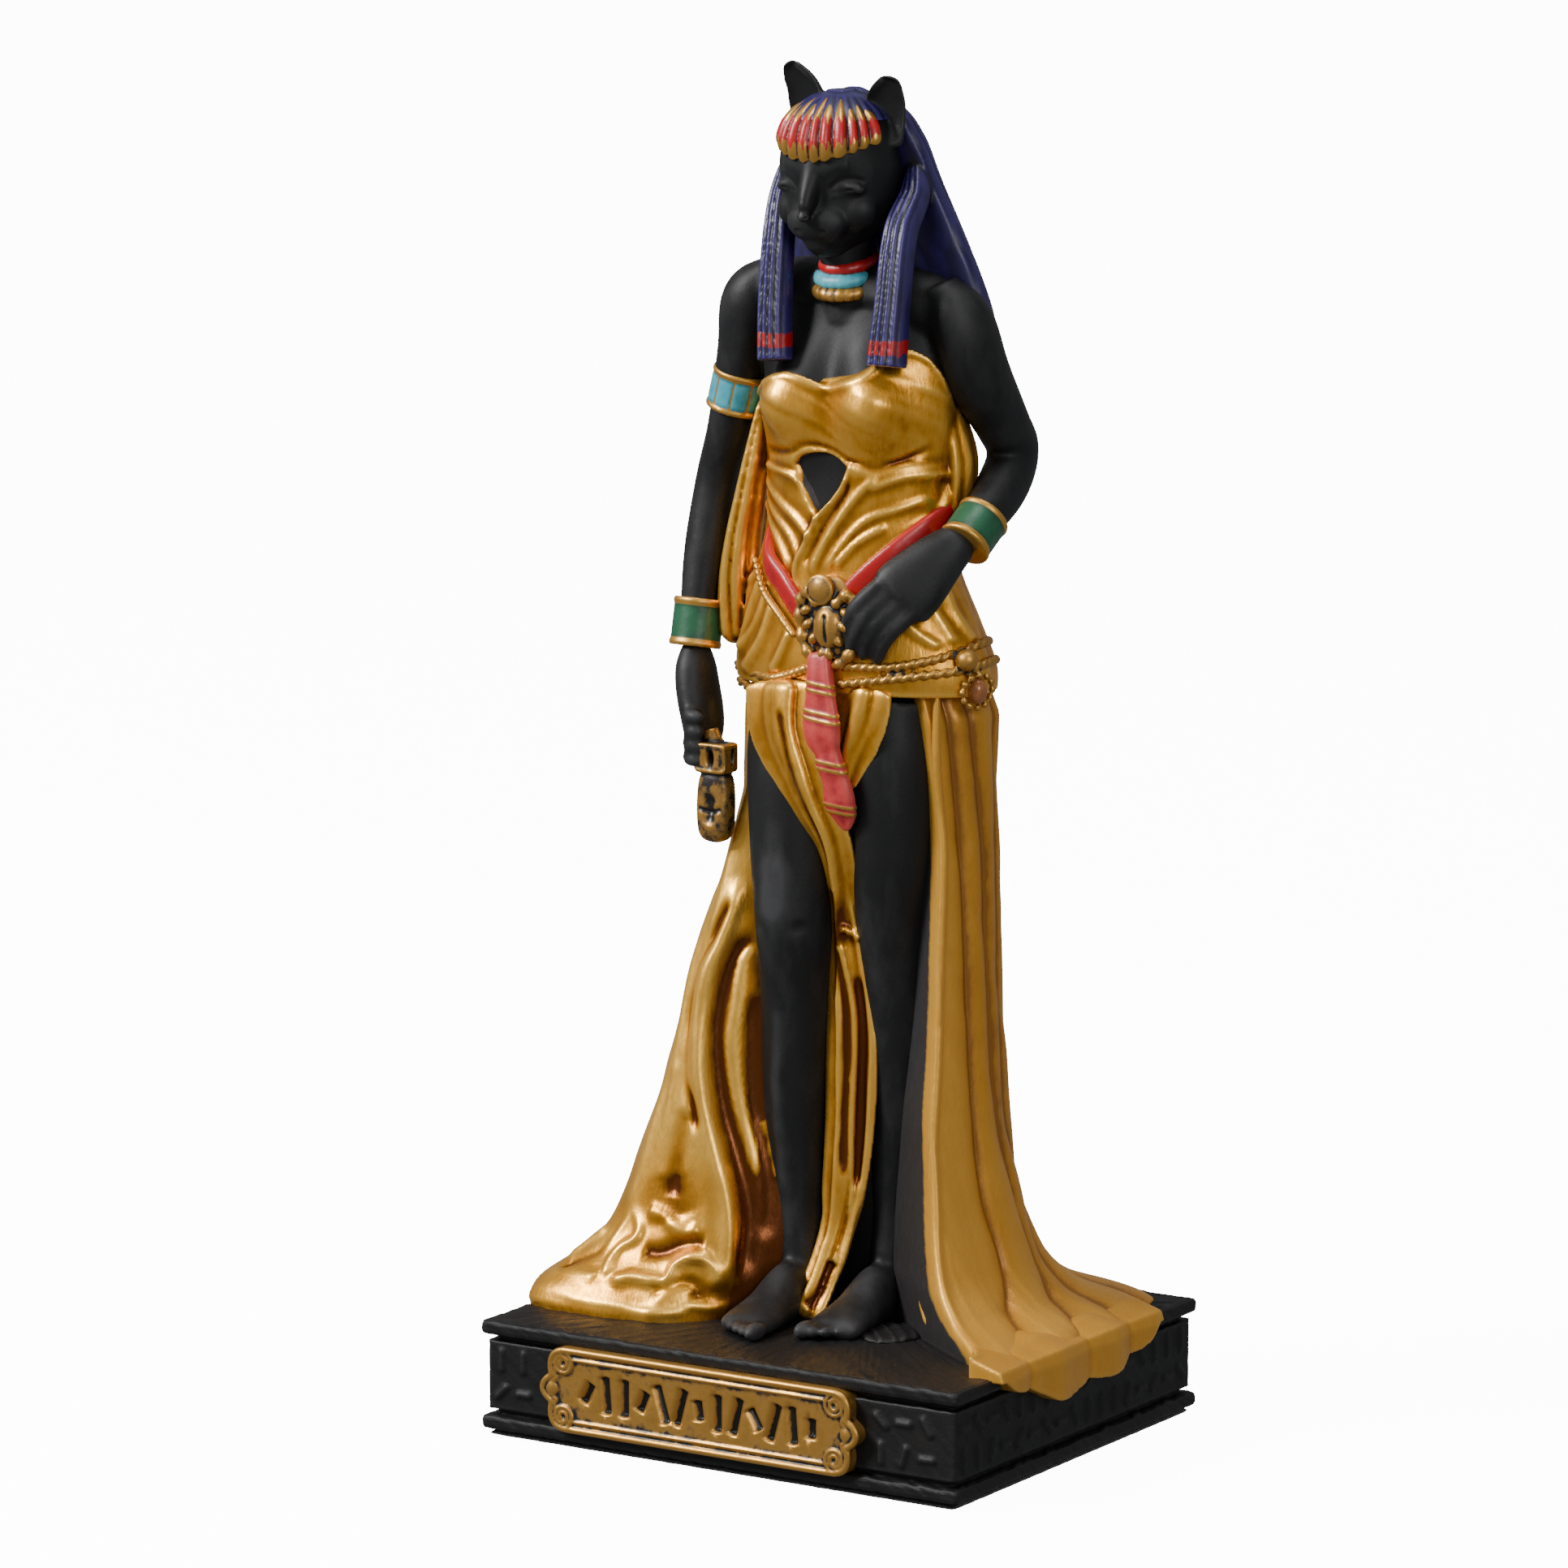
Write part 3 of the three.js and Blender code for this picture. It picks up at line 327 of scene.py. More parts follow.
class Clay:
    """Closed forms pressed together, which are then fused into one surface."""

    def __init__(self, name: str) -> None:
        """Starts with nothing.

        Args:
            name: What the finished piece is called.
        """
        self.name = name
        self.lump = bmesh.new()

    def roll(self, around: int, along: int, place: Callable[[Array, Array], Array]) -> Clay:
        """Adds a sheet rolled into a closed tube.

        Args:
            around: Faces round the tube.
            along: Faces along it.
            place: Gives rows of points from the turn and the rise, both from 0 to 1.

        Returns:
            This clay.
        """
        sheet = bmesh.new()
        bmesh.ops.create_grid(sheet, x_segments=around, y_segments=along, size=0.5)
        mesh = mesh_from(sheet, "sheet")
        flat = points_of(mesh) + 0.5
        turn = np.where(flat[:, 0] > 1 - 1e-6, 0.0, flat[:, 0])
        place_points(mesh, place(turn, flat[:, 1]))
        tube = bmesh.new()
        tube.from_mesh(mesh)
        bpy.data.meshes.remove(mesh)
        bmesh.ops.remove_doubles(tube, verts=tube.verts, dist=1e-4)
        rims = [edge for edge in tube.edges if edge.is_boundary]
        bmesh.ops.holes_fill(tube, edges=rims, sides=0)
        bmesh.ops.recalc_face_normals(tube, faces=tube.faces)
        return self._press(tube)

    def _press(self, form: bmesh.types.BMesh) -> Clay:
        """Adds a closed form to the lump.

        Args:
            form: The form, which is let go.

        Returns:
            This clay.
        """
        mesh = mesh_from(form, "form")
        self.lump.from_mesh(mesh)
        bpy.data.meshes.remove(mesh)
        return self

    def limb(
        self,
        stations: Table,
        front: Point = FRONT,
        around: int = 32,
        along: int = 60,
        closing: float = 0.0,
        power: float = 2.0,
        section: Callable[[Array, Array], Array] | None = None,
        girth: Callable[[Array, Array], Array] | None = None,
    ) -> Clay:
        """Adds a limb, fold or band through stations of x, y, z, half-width and half-depth.

        Args:
            stations: The rows, in order.
            front: The direction that its depth lies along.
            around: Faces round it.
            along: Faces along it.
            closing: The share of its length in which each end is rounded off.
            power: 2 for an oval section, more for a boxy one.
            section: Gives a factor for the depth from the angle in radians and the rise.
            girth: Gives a factor for both width and depth from the same two.

        Returns:
            This clay.
        """
        rows = [[i / (len(stations) - 1), *station] for i, station in enumerate(stations)]
        facing = np.asarray(front, float)

        def place(turn: Array, rise: Array) -> Array:
            centre = read(rows, rise)
            after, before = read(rows, np.clip(rise + 0.01, 0, 1)), read(rows, np.clip(rise - 0.01, 0, 1))
            ahead = after[:, :3] - before[:, :3]
            across = np.cross(ahead, facing)
            across /= np.linalg.norm(across, axis=1, keepdims=True)
            outward = np.cross(across, ahead)
            outward /= np.linalg.norm(outward, axis=1, keepdims=True)
            angle = 2 * math.pi * turn
            c, s = np.cos(angle), np.sin(angle)
            full = (np.abs(c) ** power + np.abs(s) ** power) ** (-1 / power)
            ends = np.ones_like(rise)
            if closing:
                near = np.clip(np.minimum(rise, 1 - rise) / closing, 0, 1)
                ends = np.sqrt(np.clip(1 - (1 - near) ** 2, 1e-6, 1))
            size = ends * full * (girth(angle, rise) if girth else 1.0)
            depth = section(angle, rise) if section else 1.0
            width = centre[:, 3] * size * c
            proud = centre[:, 4] * size * s * depth
            return centre[:, :3] + across * width[:, None] + outward * proud[:, None]

        return self.roll(around, along, place)

    def column(
        self,
        heights: tuple[float, float | Callable[[Array], Array]],
        centre: Callable[[Array], tuple[Array, Array]],
        radius: Callable[[Array, Array], Array],
        around: int = 240,
        along: int = 160,
        crowd: float = 1.0,
    ) -> Clay:
        """Adds an upright form about a centre that moves with height.

        Args:
            heights: Its lowest height, and its highest or how high it goes at each bearing.
            centre: Gives x and y at each height.
            radius: Gives the radius at each bearing in degrees and height.
            around: Faces round it.
            along: Faces up it.
            crowd: Over 1 where the rows lie closer together near the bottom.

        Returns:
            This clay.
        """
        low, high = heights

        def place(turn: Array, rise: Array) -> Array:
            bearing = 360 * turn
            top = high(bearing) if callable(high) else high
            z = low + (top - low) * rise**crowd
            x, y = centre(z)
            r = radius(bearing, z)
            angle = np.radians(bearing)
            return np.stack([x + r * np.cos(angle), y + r * np.sin(angle), z], axis=1)

        return self.roll(around, along, place)

    def rope(self, line: Table, radius: float, turns: float) -> Clay:
        """Adds a twisted cord.

        Args:
            line: The stations of its middle.
            radius: Its half-thickness.
            turns: How often its strands go round.

        Returns:
            This clay.
        """
        count = int(turns * 8) + 2
        middle = path(line, count)
        ahead = np.gradient(middle, axis=0)
        ahead /= np.linalg.norm(ahead, axis=1, keepdims=True)
        side = np.cross(ahead, UP)
        side /= np.linalg.norm(side, axis=1, keepdims=True)
        over = np.cross(side, ahead)
        for strand in range(CORD_STRANDS):
            angle = 2 * math.pi * (np.linspace(0, turns, count) + strand / CORD_STRANDS)[:, None]
            places = middle + 0.5 * radius * (np.cos(angle) * side + np.sin(angle) * over)
            stations = np.hstack([places, np.full((count, 2), 0.58 * radius)]).tolist()
            self.limb(stations, front=UP, around=12, along=2 * count, closing=0.02)
        return self

    def ring(
        self,
        centre: Point,
        radius: float,
        half: tuple[float, float],
        tilt: float,
        girth: Callable[[Array, Array], Array],
        around: int = 36,
        along: int = 240,
    ) -> Clay:
        """Adds a closed ring round the upright axis.

        Args:
            centre: Its middle.
            radius: Its radius.
            half: Its half-thickness outwards and upwards.
            tilt: Degrees by which its front drops.
            girth: Gives a factor for its thickness from the bearing and the section's angle in radians.
            around: Faces round the section.
            along: Faces round the ring.

        Returns:
            This clay.
        """

        def place(turn: Array, rise: Array) -> Array:
            angle, bearing = 2 * math.pi * turn, 2 * math.pi * rise
            size = girth(bearing, angle)
            out = half[0] * np.cos(angle) * size
            x = (radius + out) * np.cos(bearing)
            y = (radius + out) * np.sin(bearing)
            z = half[1] * np.sin(angle) * size + y * math.sin(math.radians(tilt))
            return np.stack([centre[0] + x, centre[1] + y, centre[2] + z], axis=1)

        return self.roll(around, along, place)

    def ball(self, centre: Point, size: Point, lean: float = 0.0) -> Clay:
        """Adds an egg of the given half-sizes, turned about the front axis by lean degrees."""
        egg = bmesh.new()
        bmesh.ops.create_icosphere(egg, subdivisions=4, radius=1.0)
        bmesh.ops.scale(egg, vec=Vector(size), verts=egg.verts)
        if lean:
            turn = Matrix.Rotation(math.radians(lean), 3, "Y")
            bmesh.ops.rotate(egg, cent=(0, 0, 0), matrix=turn, verts=egg.verts)
        bmesh.ops.translate(egg, vec=Vector(centre), verts=egg.verts)
        return self._press(egg)

    def box(self, low: Point, high: Point, edge: float) -> Clay:
        """Adds a block between two corners, its edges rounded by a radius."""
        block = bmesh.new()
        bmesh.ops.create_cube(block, size=1.0)
        size = Vector(high) - Vector(low)
        bmesh.ops.scale(block, vec=size, verts=block.verts)
        bmesh.ops.translate(block, vec=(Vector(high) + Vector(low)) / 2, verts=block.verts)
        bmesh.ops.bevel(
            block,
            geom=block.edges[:],
            offset=edge,
            segments=3,
            profile=0.5,
            affect="EDGES",
            material=-1,
        )
        return self._press(block)

    def sculpture(self, voxel: float = 0.0, relax: int = 0) -> Sculpture:
        """Ends the modelling of forms and gives the surface.

        Args:
            voxel: Size of the grain at which the forms are fused, or 0 to keep them as they are.
            relax: How many times the fused surface is smoothed.

        Returns:
            The surface, ready to be carved and painted.
        """
        mesh = mesh_from(self.lump, self.name)
        if voxel:
            mesh = reshaped(mesh, "REMESH", mode="VOXEL", voxel_size=voxel)
        if relax:
            work = bmesh.new()
            work.from_mesh(mesh)
            for _ in range(relax):
                bmesh.ops.smooth_vert(
                    work, verts=work.verts, factor=0.5, use_axis_x=True, use_axis_y=True, use_axis_z=True
                )
            work.to_mesh(mesh)
            work.free()
        return Sculpture(self.name, mesh, FUSED_SHARE if voxel else 1.0)


class Sculpture:
    """One closed surface that is carved, painted and set in the scene."""

    def __init__(self, name: str, mesh: bpy.types.Mesh, share: float) -> None:
        """Takes over a mesh in millimetres.

        Args:
            name: What the piece is called.
            mesh: The closed surface.
            share: The share of its triangles that is kept at the end.
        """
        self.name = name
        self.mesh = mesh
        self.share = share
        mesh.name = name

    @property
    def points(self) -> Array:
        """The places of all vertices."""
        return points_of(self.mesh)

    def carve(self, *strokes: Stroke) -> Sculpture:
        """Lifts or sinks the surface along strokes."""
        points, normals = self.points, normals_of(self.mesh)
        lift = sum(stroke.rise(points) for stroke in strokes)
        place_points(self.mesh, points + normals * np.asarray(lift)[:, None])
        return self

    def swell(self, amount: Callable[[Array, Array], Array]) -> Sculpture:
        """Moves every vertex along its normal by what amount gives for the points and normals."""
        points, normals = self.points, normals_of(self.mesh)
        place_points(self.mesh, points + normals * amount(points, normals)[:, None])
        return self

    def hollows(self, rounds: int = 14, reach: float = 0.08) -> Sculpture:
        """Stores how deep each place lies in a hollow, from 0 on a ridge to 1 in a groove.

        Args:
            rounds: How far the neighbourhood reaches.
            reach: The depth in millimetres that counts as a full groove.

        Returns:
            This sculpture.
        """
        points = self.points
        sunk = ((neighbours_mean(self.mesh, points, rounds) - points) * normals_of(self.mesh)).sum(1)
        wide = neighbours_mean(self.mesh, sunk[:, None], 2)[:, 0]
        store(self.mesh, "hollow", np.clip(0.5 + 0.5 * wide / reach, 0, 1))
        return self

    def tint(self, *strokes: Stroke) -> Sculpture:
        """Adds strokes' tones to the stored hollows: above zero as painted shade, below as painted
        highlight.
        """
        points = self.points
        layer = self.mesh.attributes["hollow"]
        sunk = np.empty(len(points), np.float32)
        layer.data.foreach_get("value", sunk)
        tones = sum(stroke.tone * stroke.cover(points) for stroke in strokes)
        store(self.mesh, "hollow", np.clip(sunk + tones, 0, 1))
        return self

    def paint(self, name: str, mask: Callable[[Array], Array]) -> Sculpture:
        """Stores a number from 0 to 1 for each vertex, worked out from its place."""
        store(self.mesh, name, np.clip(mask(self.points), 0, 1))
        return self

    def finish(
        self, material: bpy.types.Material, slot: Slot = Slot.RESIN, node: str = "figurine"
    ) -> None:
        """Thins the surface, sets it in the scene on the root and logs it.

        Args:
            material: Its finish.
            slot: The record's material slot; not used.
            node: The CAD node that it stands for.
        """
        if self.share < 1:
            self.mesh = reshaped(self.mesh, "DECIMATE", ratio=self.share)
            self.mesh.name = self.name
        points = self.points + np.array([0, 0, PLINTH_TOP])
        place_points(self.mesh, points * MM)
        self.mesh.materials.clear()
        self.mesh.materials.append(material)
        self.mesh.polygons.foreach_set("use_smooth", np.ones(len(self.mesh.polygons), bool))
        piece = bpy.data.objects.new(self.name, self.mesh)
        bpy.context.scene.collection.objects.link(piece)
        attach(piece, "root")
        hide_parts(node)
        triangles = sum(len(face.vertices) - 2 for face in self.mesh.polygons)
        log.info("%s: %d triangles", self.name, triangles)


# Shader helpers
class Wire:
    """A number running through a shader, on which sums are written as plain expressions."""

    def __init__(self, tree: bpy.types.NodeTree, socket: bpy.types.NodeSocket) -> None:
        """Wraps one output socket.

        Args:
            tree: The shader's nodes.
            socket: The output to read from.
        """
        self.tree = tree
        self.socket = socket

    def _sum(
        self, operation: str, first: Wire | float, second: Wire | float, clamped: bool = False
    ) -> Wire:
        """Works out one number from two.

        Args:
            operation: What a Math node does with them.
            first: The first number.
            second: The second number.
            clamped: Whether the result is held between 0 and 1.

        Returns:
            The result.
        """
        node = self.tree.nodes.new("ShaderNodeMath")
        node.operation = operation
        node.use_clamp = clamped
        for socket, source in zip(node.inputs, (first, second)):
            if isinstance(source, Wire):
                self.tree.links.new(source.socket, socket)
            else:
                socket.default_value = source
        return Wire(self.tree, node.outputs[0])

    def __add__(self, other: Wire | float) -> Wire:
        """The sum."""
        return self._sum("ADD", self, other)

    def __radd__(self, other: float) -> Wire:
        """The sum, the other way round."""
        return self._sum("ADD", other, self)

    def __sub__(self, other: Wire | float) -> Wire:
        """The difference."""
        return self._sum("SUBTRACT", self, other)

    def __rsub__(self, other: float) -> Wire:
        """The difference, the other way round."""
        return self._sum("SUBTRACT", other, self)

    def __mul__(self, other: Wire | float) -> Wire:
        """The product."""
        return self._sum("MULTIPLY", self, other)

    def held(self) -> Wire:
        """The number, held between 0 and 1."""
        return self._sum("ADD", self, 0.0, clamped=True)

    def above(self, edge: float, blur: float) -> Wire:
        """0 below an edge and 1 above it, with a blur between."""
        return ((self - (edge - blur / 2)) * (1 / blur)).held()


class Shader:
    """A material under construction."""

    def __init__(self, name: str) -> None:
        """Makes an empty material.

        Args:
            name: What the finish is called.
        """
        self.material = bpy.data.materials.new(name)
        self.material.use_nodes = True
        self.tree = self.material.node_tree
        self.tree.nodes.clear()
        self.place = self.node("TexCoord", {}).outputs["Object"]

    def node(self, kind: str, inputs: dict[str | int, object], **settings: object) -> bpy.types.Node:
        """Adds a node.

        Args:
            kind: Its type, without the words that all shader nodes begin with.
            inputs: The values or links of its sockets, by name or number.
            settings: Its own settings, which are set first.

        Returns:
            The node.
        """
        node = self.tree.nodes.new(f"ShaderNode{kind}")
        for key, setting in settings.items():
            setattr(node, key, setting)
        for key, source in inputs.items():
            socket = node.inputs[key]
            if isinstance(source, Wire):
                self.tree.links.new(source.socket, socket)
            elif isinstance(source, bpy.types.NodeSocket):
                self.tree.links.new(source, socket)
            else:
                socket.default_value = source
        return node

    def attribute(self, name: str) -> Wire:
        """A number stored on the mesh."""
        return Wire(self.tree, self.node("Attribute", {}, attribute_name=name).outputs["Fac"])

    def grain(self, size: float, stretch: Point = EVEN, detail: float = 3.0, rough: float = 0.55) -> Wire:
        """Uneven patches.

        Args:
            size: The patches' size in millimetres.
            stretch: How much longer they are along each axis.
            detail: How much finer grain lies in them.
            rough: How strong the finer grain is.

        Returns:
            A number around 0.5.
        """
        factors = tuple(1 / s for s in stretch)
        moved = self.node("Mapping", {"Vector": self.place, "Scale": factors}).outputs[0]
        look = {"Vector": moved, "Scale": 1 / (size * MM), "Detail": detail, "Roughness": rough}
        noise = self.node("TexNoise", look)
        return Wire(self.tree, noise.outputs["Fac"])

    def blend(self, amount: Wire, first: Colour | object, second: Colour | object) -> bpy.types.NodeSocket:
        """A colour between two, by an amount from 0 to 1."""
        inputs = {0: amount, 6: first, 7: second}
        return self.node("Mix", inputs, data_type="RGBA", clamp_factor=True).outputs[2]

    def close(
        self,
        colour: Colour | object,
        roughness: Wire | float,
        metal: Wire | float,
        height: Wire,
        depth: float,
        sheen: float = 0.0,
        specular: float = 0.5,
    ) -> bpy.types.Material:
        """Joins everything to the surface.

        Args:
            colour: The base colour.
            roughness: How dull it is.
            metal: How metallic it is.
            height: Fine relief from 0 to 1.
            depth: The relief's full depth in millimetres.
            sheen: The strength of a soft edge glow.
            specular: The strength of plain gloss.

        Returns:
            The finished material.
        """
        bump = self.node("Bump", {"Height": height, "Distance": depth * MM, "Strength": 1.0})
        inputs: dict[str | int, object] = {
            "Base Color": colour,
            "Roughness": roughness,
            "Metallic": metal,
            "Specular IOR Level": specular,
            "Sheen Weight": sheen,
            "Normal": bump.outputs[0],
        }
        surface = self.node("BsdfPrincipled", inputs)
        self.node("OutputMaterial", {"Surface": surface.outputs[0]})
        return self.material


# Finishes
@dataclass(frozen=True)
class Finish:
    """A finish that follows how deep each place lies in a hollow."""

    name: str

    def _start(
        self, size: float, stretch: Point = EVEN, detail: float = 3.0, rough: float = 0.55
    ) -> tuple[Shader, Wire, Wire]:
        """Begins the shader.

        Args:
            size: The size of its patches in millimetres.
            stretch: How much longer they are along each axis.
            detail: How much finer grain lies in them.
            rough: How strong the finer grain is.

        Returns:
            The shader, the stored hollows and the patches.
        """
        shader = Shader(self.name)
        return shader, shader.attribute("hollow"), shader.grain(size, stretch, detail, rough)


@dataclass(frozen=True)
class Gold(Finish):
    """Gold paint, with brown painted shade in the hollows and painted highlights on the ridges."""

    # Colours of the painted highlight on ridges, the body, the painted shade in hollows and the matt panel.
    bright: Colour = (0.97, 0.53, 0.085, 1)
    body: Colour = (0.66, 0.285, 0.02, 1)
    deep: Colour = (0.12, 0.03, 0.0015, 1)
    matt: Colour = (0.52, 0.245, 0.024, 1)
    metal: float = 0.85
    dull: float = 0.36
    brushed: Point = (1.0, 1.0, 3.0)
    bare: Colour | None = None

    def material(self) -> bpy.types.Material:
        """Builds the finish."""
        shader, hollow, patches = self._start(2.2)
        strokes = shader.grain(0.35, self.brushed, 4.0, 0.6)
        sunk = (hollow + (patches - 0.5) * 0.35 + (strokes - 0.5) * 0.25).held()
        # Painted shade where the surface lies deep in a hollow, painted highlight where it stands on a
        # ridge.
        shadow = sunk.above(0.66, 0.34)
        light = (1 - sunk).above(0.6, 0.3)
        colour = shader.blend(light, self.body, self.bright)
        matt = shader.attribute("matt")
        shadow = shadow * (1 - matt * 0.2)
        colour = shader.blend(shadow, colour, self.deep)
        colour = shader.blend(matt * (1 - shadow) * 0.75, colour, self.matt)
        rough = self.dull + (strokes - 0.5) * 0.25 - shadow * 0.06 + matt * 0.1
        metal: Wire | float = self.metal - shadow * 0.15 - matt * 0.35
        # Black where bare skin shows, and on the skirt's wall by the left leg as black paint and painted
        # shade.
        if self.bare:
            skin = shader.attribute("bare").above(0.5, 0.3)
            colour = shader.blend(skin, colour, self.bare)
            metal = metal * (1 - skin)
            rough = rough + skin * 0.1
        return shader.close(colour, rough, metal, strokes, 0.03)


@dataclass(frozen=True)
class Antique(Finish):
    """Gold rubbed over black, which stays in every hollow."""

    gold: Colour = (0.5, 0.26, 0.055, 1)
    black: Colour = (0.006, 0.0045, 0.0035, 1)
    cover: float = 0.5
    dull: float = 0.4

    def material(self) -> bpy.types.Material:
        """Builds the finish."""
        shader, hollow, patches = self._start(0.9, detail=5.0, rough=0.65)
        worn = (hollow + (patches - 0.5) * 0.7).above(self.cover, 0.2)
        colour = shader.blend(worn, self.gold, self.black)
        rough = self.dull + (patches - 0.5) * 0.3
        return shader.close(colour, rough, 0.85 - worn * 0.8, patches, 0.04)


@dataclass(frozen=True)
class Skin(Finish):
    """Soft black paint with a low gloss, a little lighter on the ridges from rubbing and painted highlight.
    """

    colour: Colour = (0.0055, 0.0055, 0.006, 1)
    # The lighter grey of the ridges, partly wear and partly painted highlight.
    worn: Colour = (0.048, 0.048, 0.05, 1)
    dull: float = 0.54

    def material(self) -> bpy.types.Material:
        """Builds the finish."""
        shader, hollow, patches = self._start(1.6, (1.0, 1.0, 2.5))
        fine = shader.grain(0.25, detail=2.0)
        # Ridges take the lighter grey: partly wear, partly painted highlight.
        wear_and_sheen = ((1 - hollow) + (patches - 0.5) * 0.6).above(0.78, 0.4) * 0.6
        colour = shader.blend(wear_and_sheen, self.colour, self.worn)
        rough = self.dull + (patches - 0.5) * 0.22
        return shader.close(colour, rough, 0.0, patches * 0.6 + fine * 0.4, 0.025, specular=0.28)


@dataclass(frozen=True)
class Enamel(Finish):
    """Opaque paint with painted shade in the hollows, painted highlights on the ridges and gold where it is
    bound.
    """

    # The paint's colour, its painted shade in the hollows and its painted highlight on the ridges.
    colour: Colour
    dark: Colour
    light: Colour
    gold: Colour = (0.56, 0.3, 0.06, 1)
    dull: float = 0.42
    middle: float = 0.5

    def material(self) -> bpy.types.Material:
        """Builds the finish."""
        shader, hollow, patches = self._start(0.8, detail=4.0)
        sunk = (hollow + (patches - 0.5) * 0.35).held()
        # Painted highlight on the ridges and painted shade in the hollows.
        colour = shader.blend((1 - sunk).above(1.12 - self.middle, 0.35), self.colour, self.light)
        colour = shader.blend(sunk.above(self.middle + 0.14, 0.3), colour, self.dark)
        bound = (shader.attribute("bound") + (patches - 0.5) * 0.4).above(0.5, 0.25)
        # Bound gold also turns dark in the hollows, as painted shade.
        black = sunk.above(self.middle + 0.12, 0.25)
        gold = shader.blend(black, self.gold, self.dark)
        colour = shader.blend(bound, colour, gold)
        rough = self.dull + (patches - 0.5) * 0.2
        return shader.close(colour, rough, bound * (1 - black) * 0.85, patches, 0.03)


@dataclass(frozen=True)
class Wig(Finish):
    """Indigo paint with painted light and shade: lavender ridges, nearly black grooves, and red bands near
    its ends.
    """

    # The paint, the painted shade in the grooves and the painted highlight on the ridges.
    colour: Colour = (0.011, 0.006, 0.055, 1)
    groove: Colour = (0.0015, 0.001, 0.004, 1)
    ridge: Colour = (0.036, 0.025, 0.14, 1)
    band: Colour = (0.3, 0.002, 0.006, 1)

    def material(self) -> bpy.types.Material:
        """Builds the finish."""
        shader, hollow, patches = self._start(1.1, (1.0, 1.0, 3.0), 4.0)
        sunk = (hollow + (patches - 0.5) * 0.35).held()
        # Painted highlight on the ridges.
        colour = shader.blend((1 - sunk).above(0.66, 0.35), self.colour, self.ridge)
        red = shader.attribute("bound").above(0.5, 0.2)
        colour = shader.blend(red, colour, self.band)
        # Painted shade in the grooves, over the red bands too.
        colour = shader.blend(sunk.above(0.55, 0.2), colour, self.groove)
        return shader.close(colour, 0.4 + (patches - 0.5) * 0.2, 0.0, patches, 0.03)


@dataclass(frozen=True)
class Resin(Finish):
    """Black resin with brownish dust in the hollows, and ridges lighter from wear and painted highlight."""

    colour: Colour = (0.003, 0.003, 0.0033, 1)
    dust: Colour = (0.005, 0.0034, 0.0024, 1)
    # The lighter colour of ridges and edges, partly wear and partly painted highlight.
    edge: Colour = (0.01, 0.01, 0.0105, 1)
    dull: float = 0.56

    def material(self) -> bpy.types.Material:
        """Builds the finish."""
        shader, hollow, patches = self._start(3.0, detail=6.0, rough=0.65)
        specks = shader.grain(0.22, detail=3.0, rough=0.7)
        colour = shader.blend(patches.above(0.56, 0.2) * 0.7, self.colour, self.dust)
        # Ridges take the lighter edge colour: partly wear, partly painted highlight.
        wear_and_sheen = ((1 - hollow) + (specks - 0.5) * 0.5).above(0.72, 0.3) * 0.8
        colour = shader.blend(wear_and_sheen, colour, self.edge)
        rough = self.dull + (patches - 0.5) * 0.3
        return shader.close(colour, rough, 0.0, specks * 0.6 + patches * 0.4, 0.05, specular=0.3)


@dataclass(frozen=True)
class Felt:
    """Black felt of short tangled fibres."""

    name: str

    def material(self) -> bpy.types.Material:
        """Builds the finish."""
        shader = Shader(self.name)
        fibres = shader.grain(0.12, (4.0, 1.0, 1.0), 6.0, 0.7)
        colour = shader.blend(fibres.above(0.58, 0.3), (0.006, 0.006, 0.006, 1), (0.035, 0.033, 0.03, 1))
        return shader.close(colour, 0.95, 0.0, fibres, 0.12, sheen=0.2, specular=0.2)


# The figure's forms
@dataclass(frozen=True)
class Trunk:
    """The trunk, on which the robe, belt and cords lie. A bearing from the front is called aside."""

    # Height, half-width, and reach to the front and the back.
    rows: Table = (
        (38.4, 7.6, 3.8, 5.6), (40.0, 8.7, 4.6, 6.6), (42.5, 9.1, 5.0, 6.8), (45.5, 8.2, 4.7, 5.4),
        (48.5, 7.0, 4.3, 4.4), (51.5, 6.2, 4.0, 3.8), (55.0, 6.3, 3.8, 3.7), (59.0, 6.9, 3.7, 3.9),
        (62.5, 7.1, 3.2, 3.8), (65.5, 6.4, 2.5, 3.0),
    )
    bust_height: float = 59.7
    bust_aside: float = 37
    bust_spread: float = 25
    bust_rise: float = 3.0
    bust_reach: float = 2.0
    back: float = 0.6

    def centre(self, z: Array) -> tuple[Array, Array]:
        """The trunk's middle at each height."""
        height = np.asarray(z, float)
        return 1.3 - 0.6 * (height - 38) / 30, np.full_like(height, self.back)

    def radius(self, bearing: Array, z: Array) -> Array:
        """The trunk's radius at each bearing and height."""
        side, front, back = read(self.rows, z).T
        level = hill(z - self.bust_height, self.bust_rise)
        bust = sum(
            hill(turned(-90 + aside, bearing), self.bust_spread) * level
            for aside in (-self.bust_aside, self.bust_aside)
        )
        return oval(bearing, side, front, back) + self.bust_reach * bust

    def at(self, aside: float, z: float, proud: float = 0.0) -> Point:
        """A point on the trunk, or above it."""
        height, bearing = np.array([z], float), np.array([aside - 90.0])
        r = float(self.radius(bearing, height)[0]) + proud
        x, y = self.centre(height)
        angle = math.radians(aside - 90)
        return (float(x[0]) + r * math.cos(angle), float(y[0]) + r * math.sin(angle), z)

    def line(self, places: Table, proud: float) -> list[Point]:
        """A line above the trunk through places of aside and height."""
        return [self.at(aside, z, proud) for aside, z in places]

    def band(self, places: Table, proud: float) -> list[tuple[float, ...]]:
        """Limb stations through places of aside, height, half-width and half-depth."""
        return [(*self.at(aside, z, proud), width, depth) for aside, z, width, depth in places]


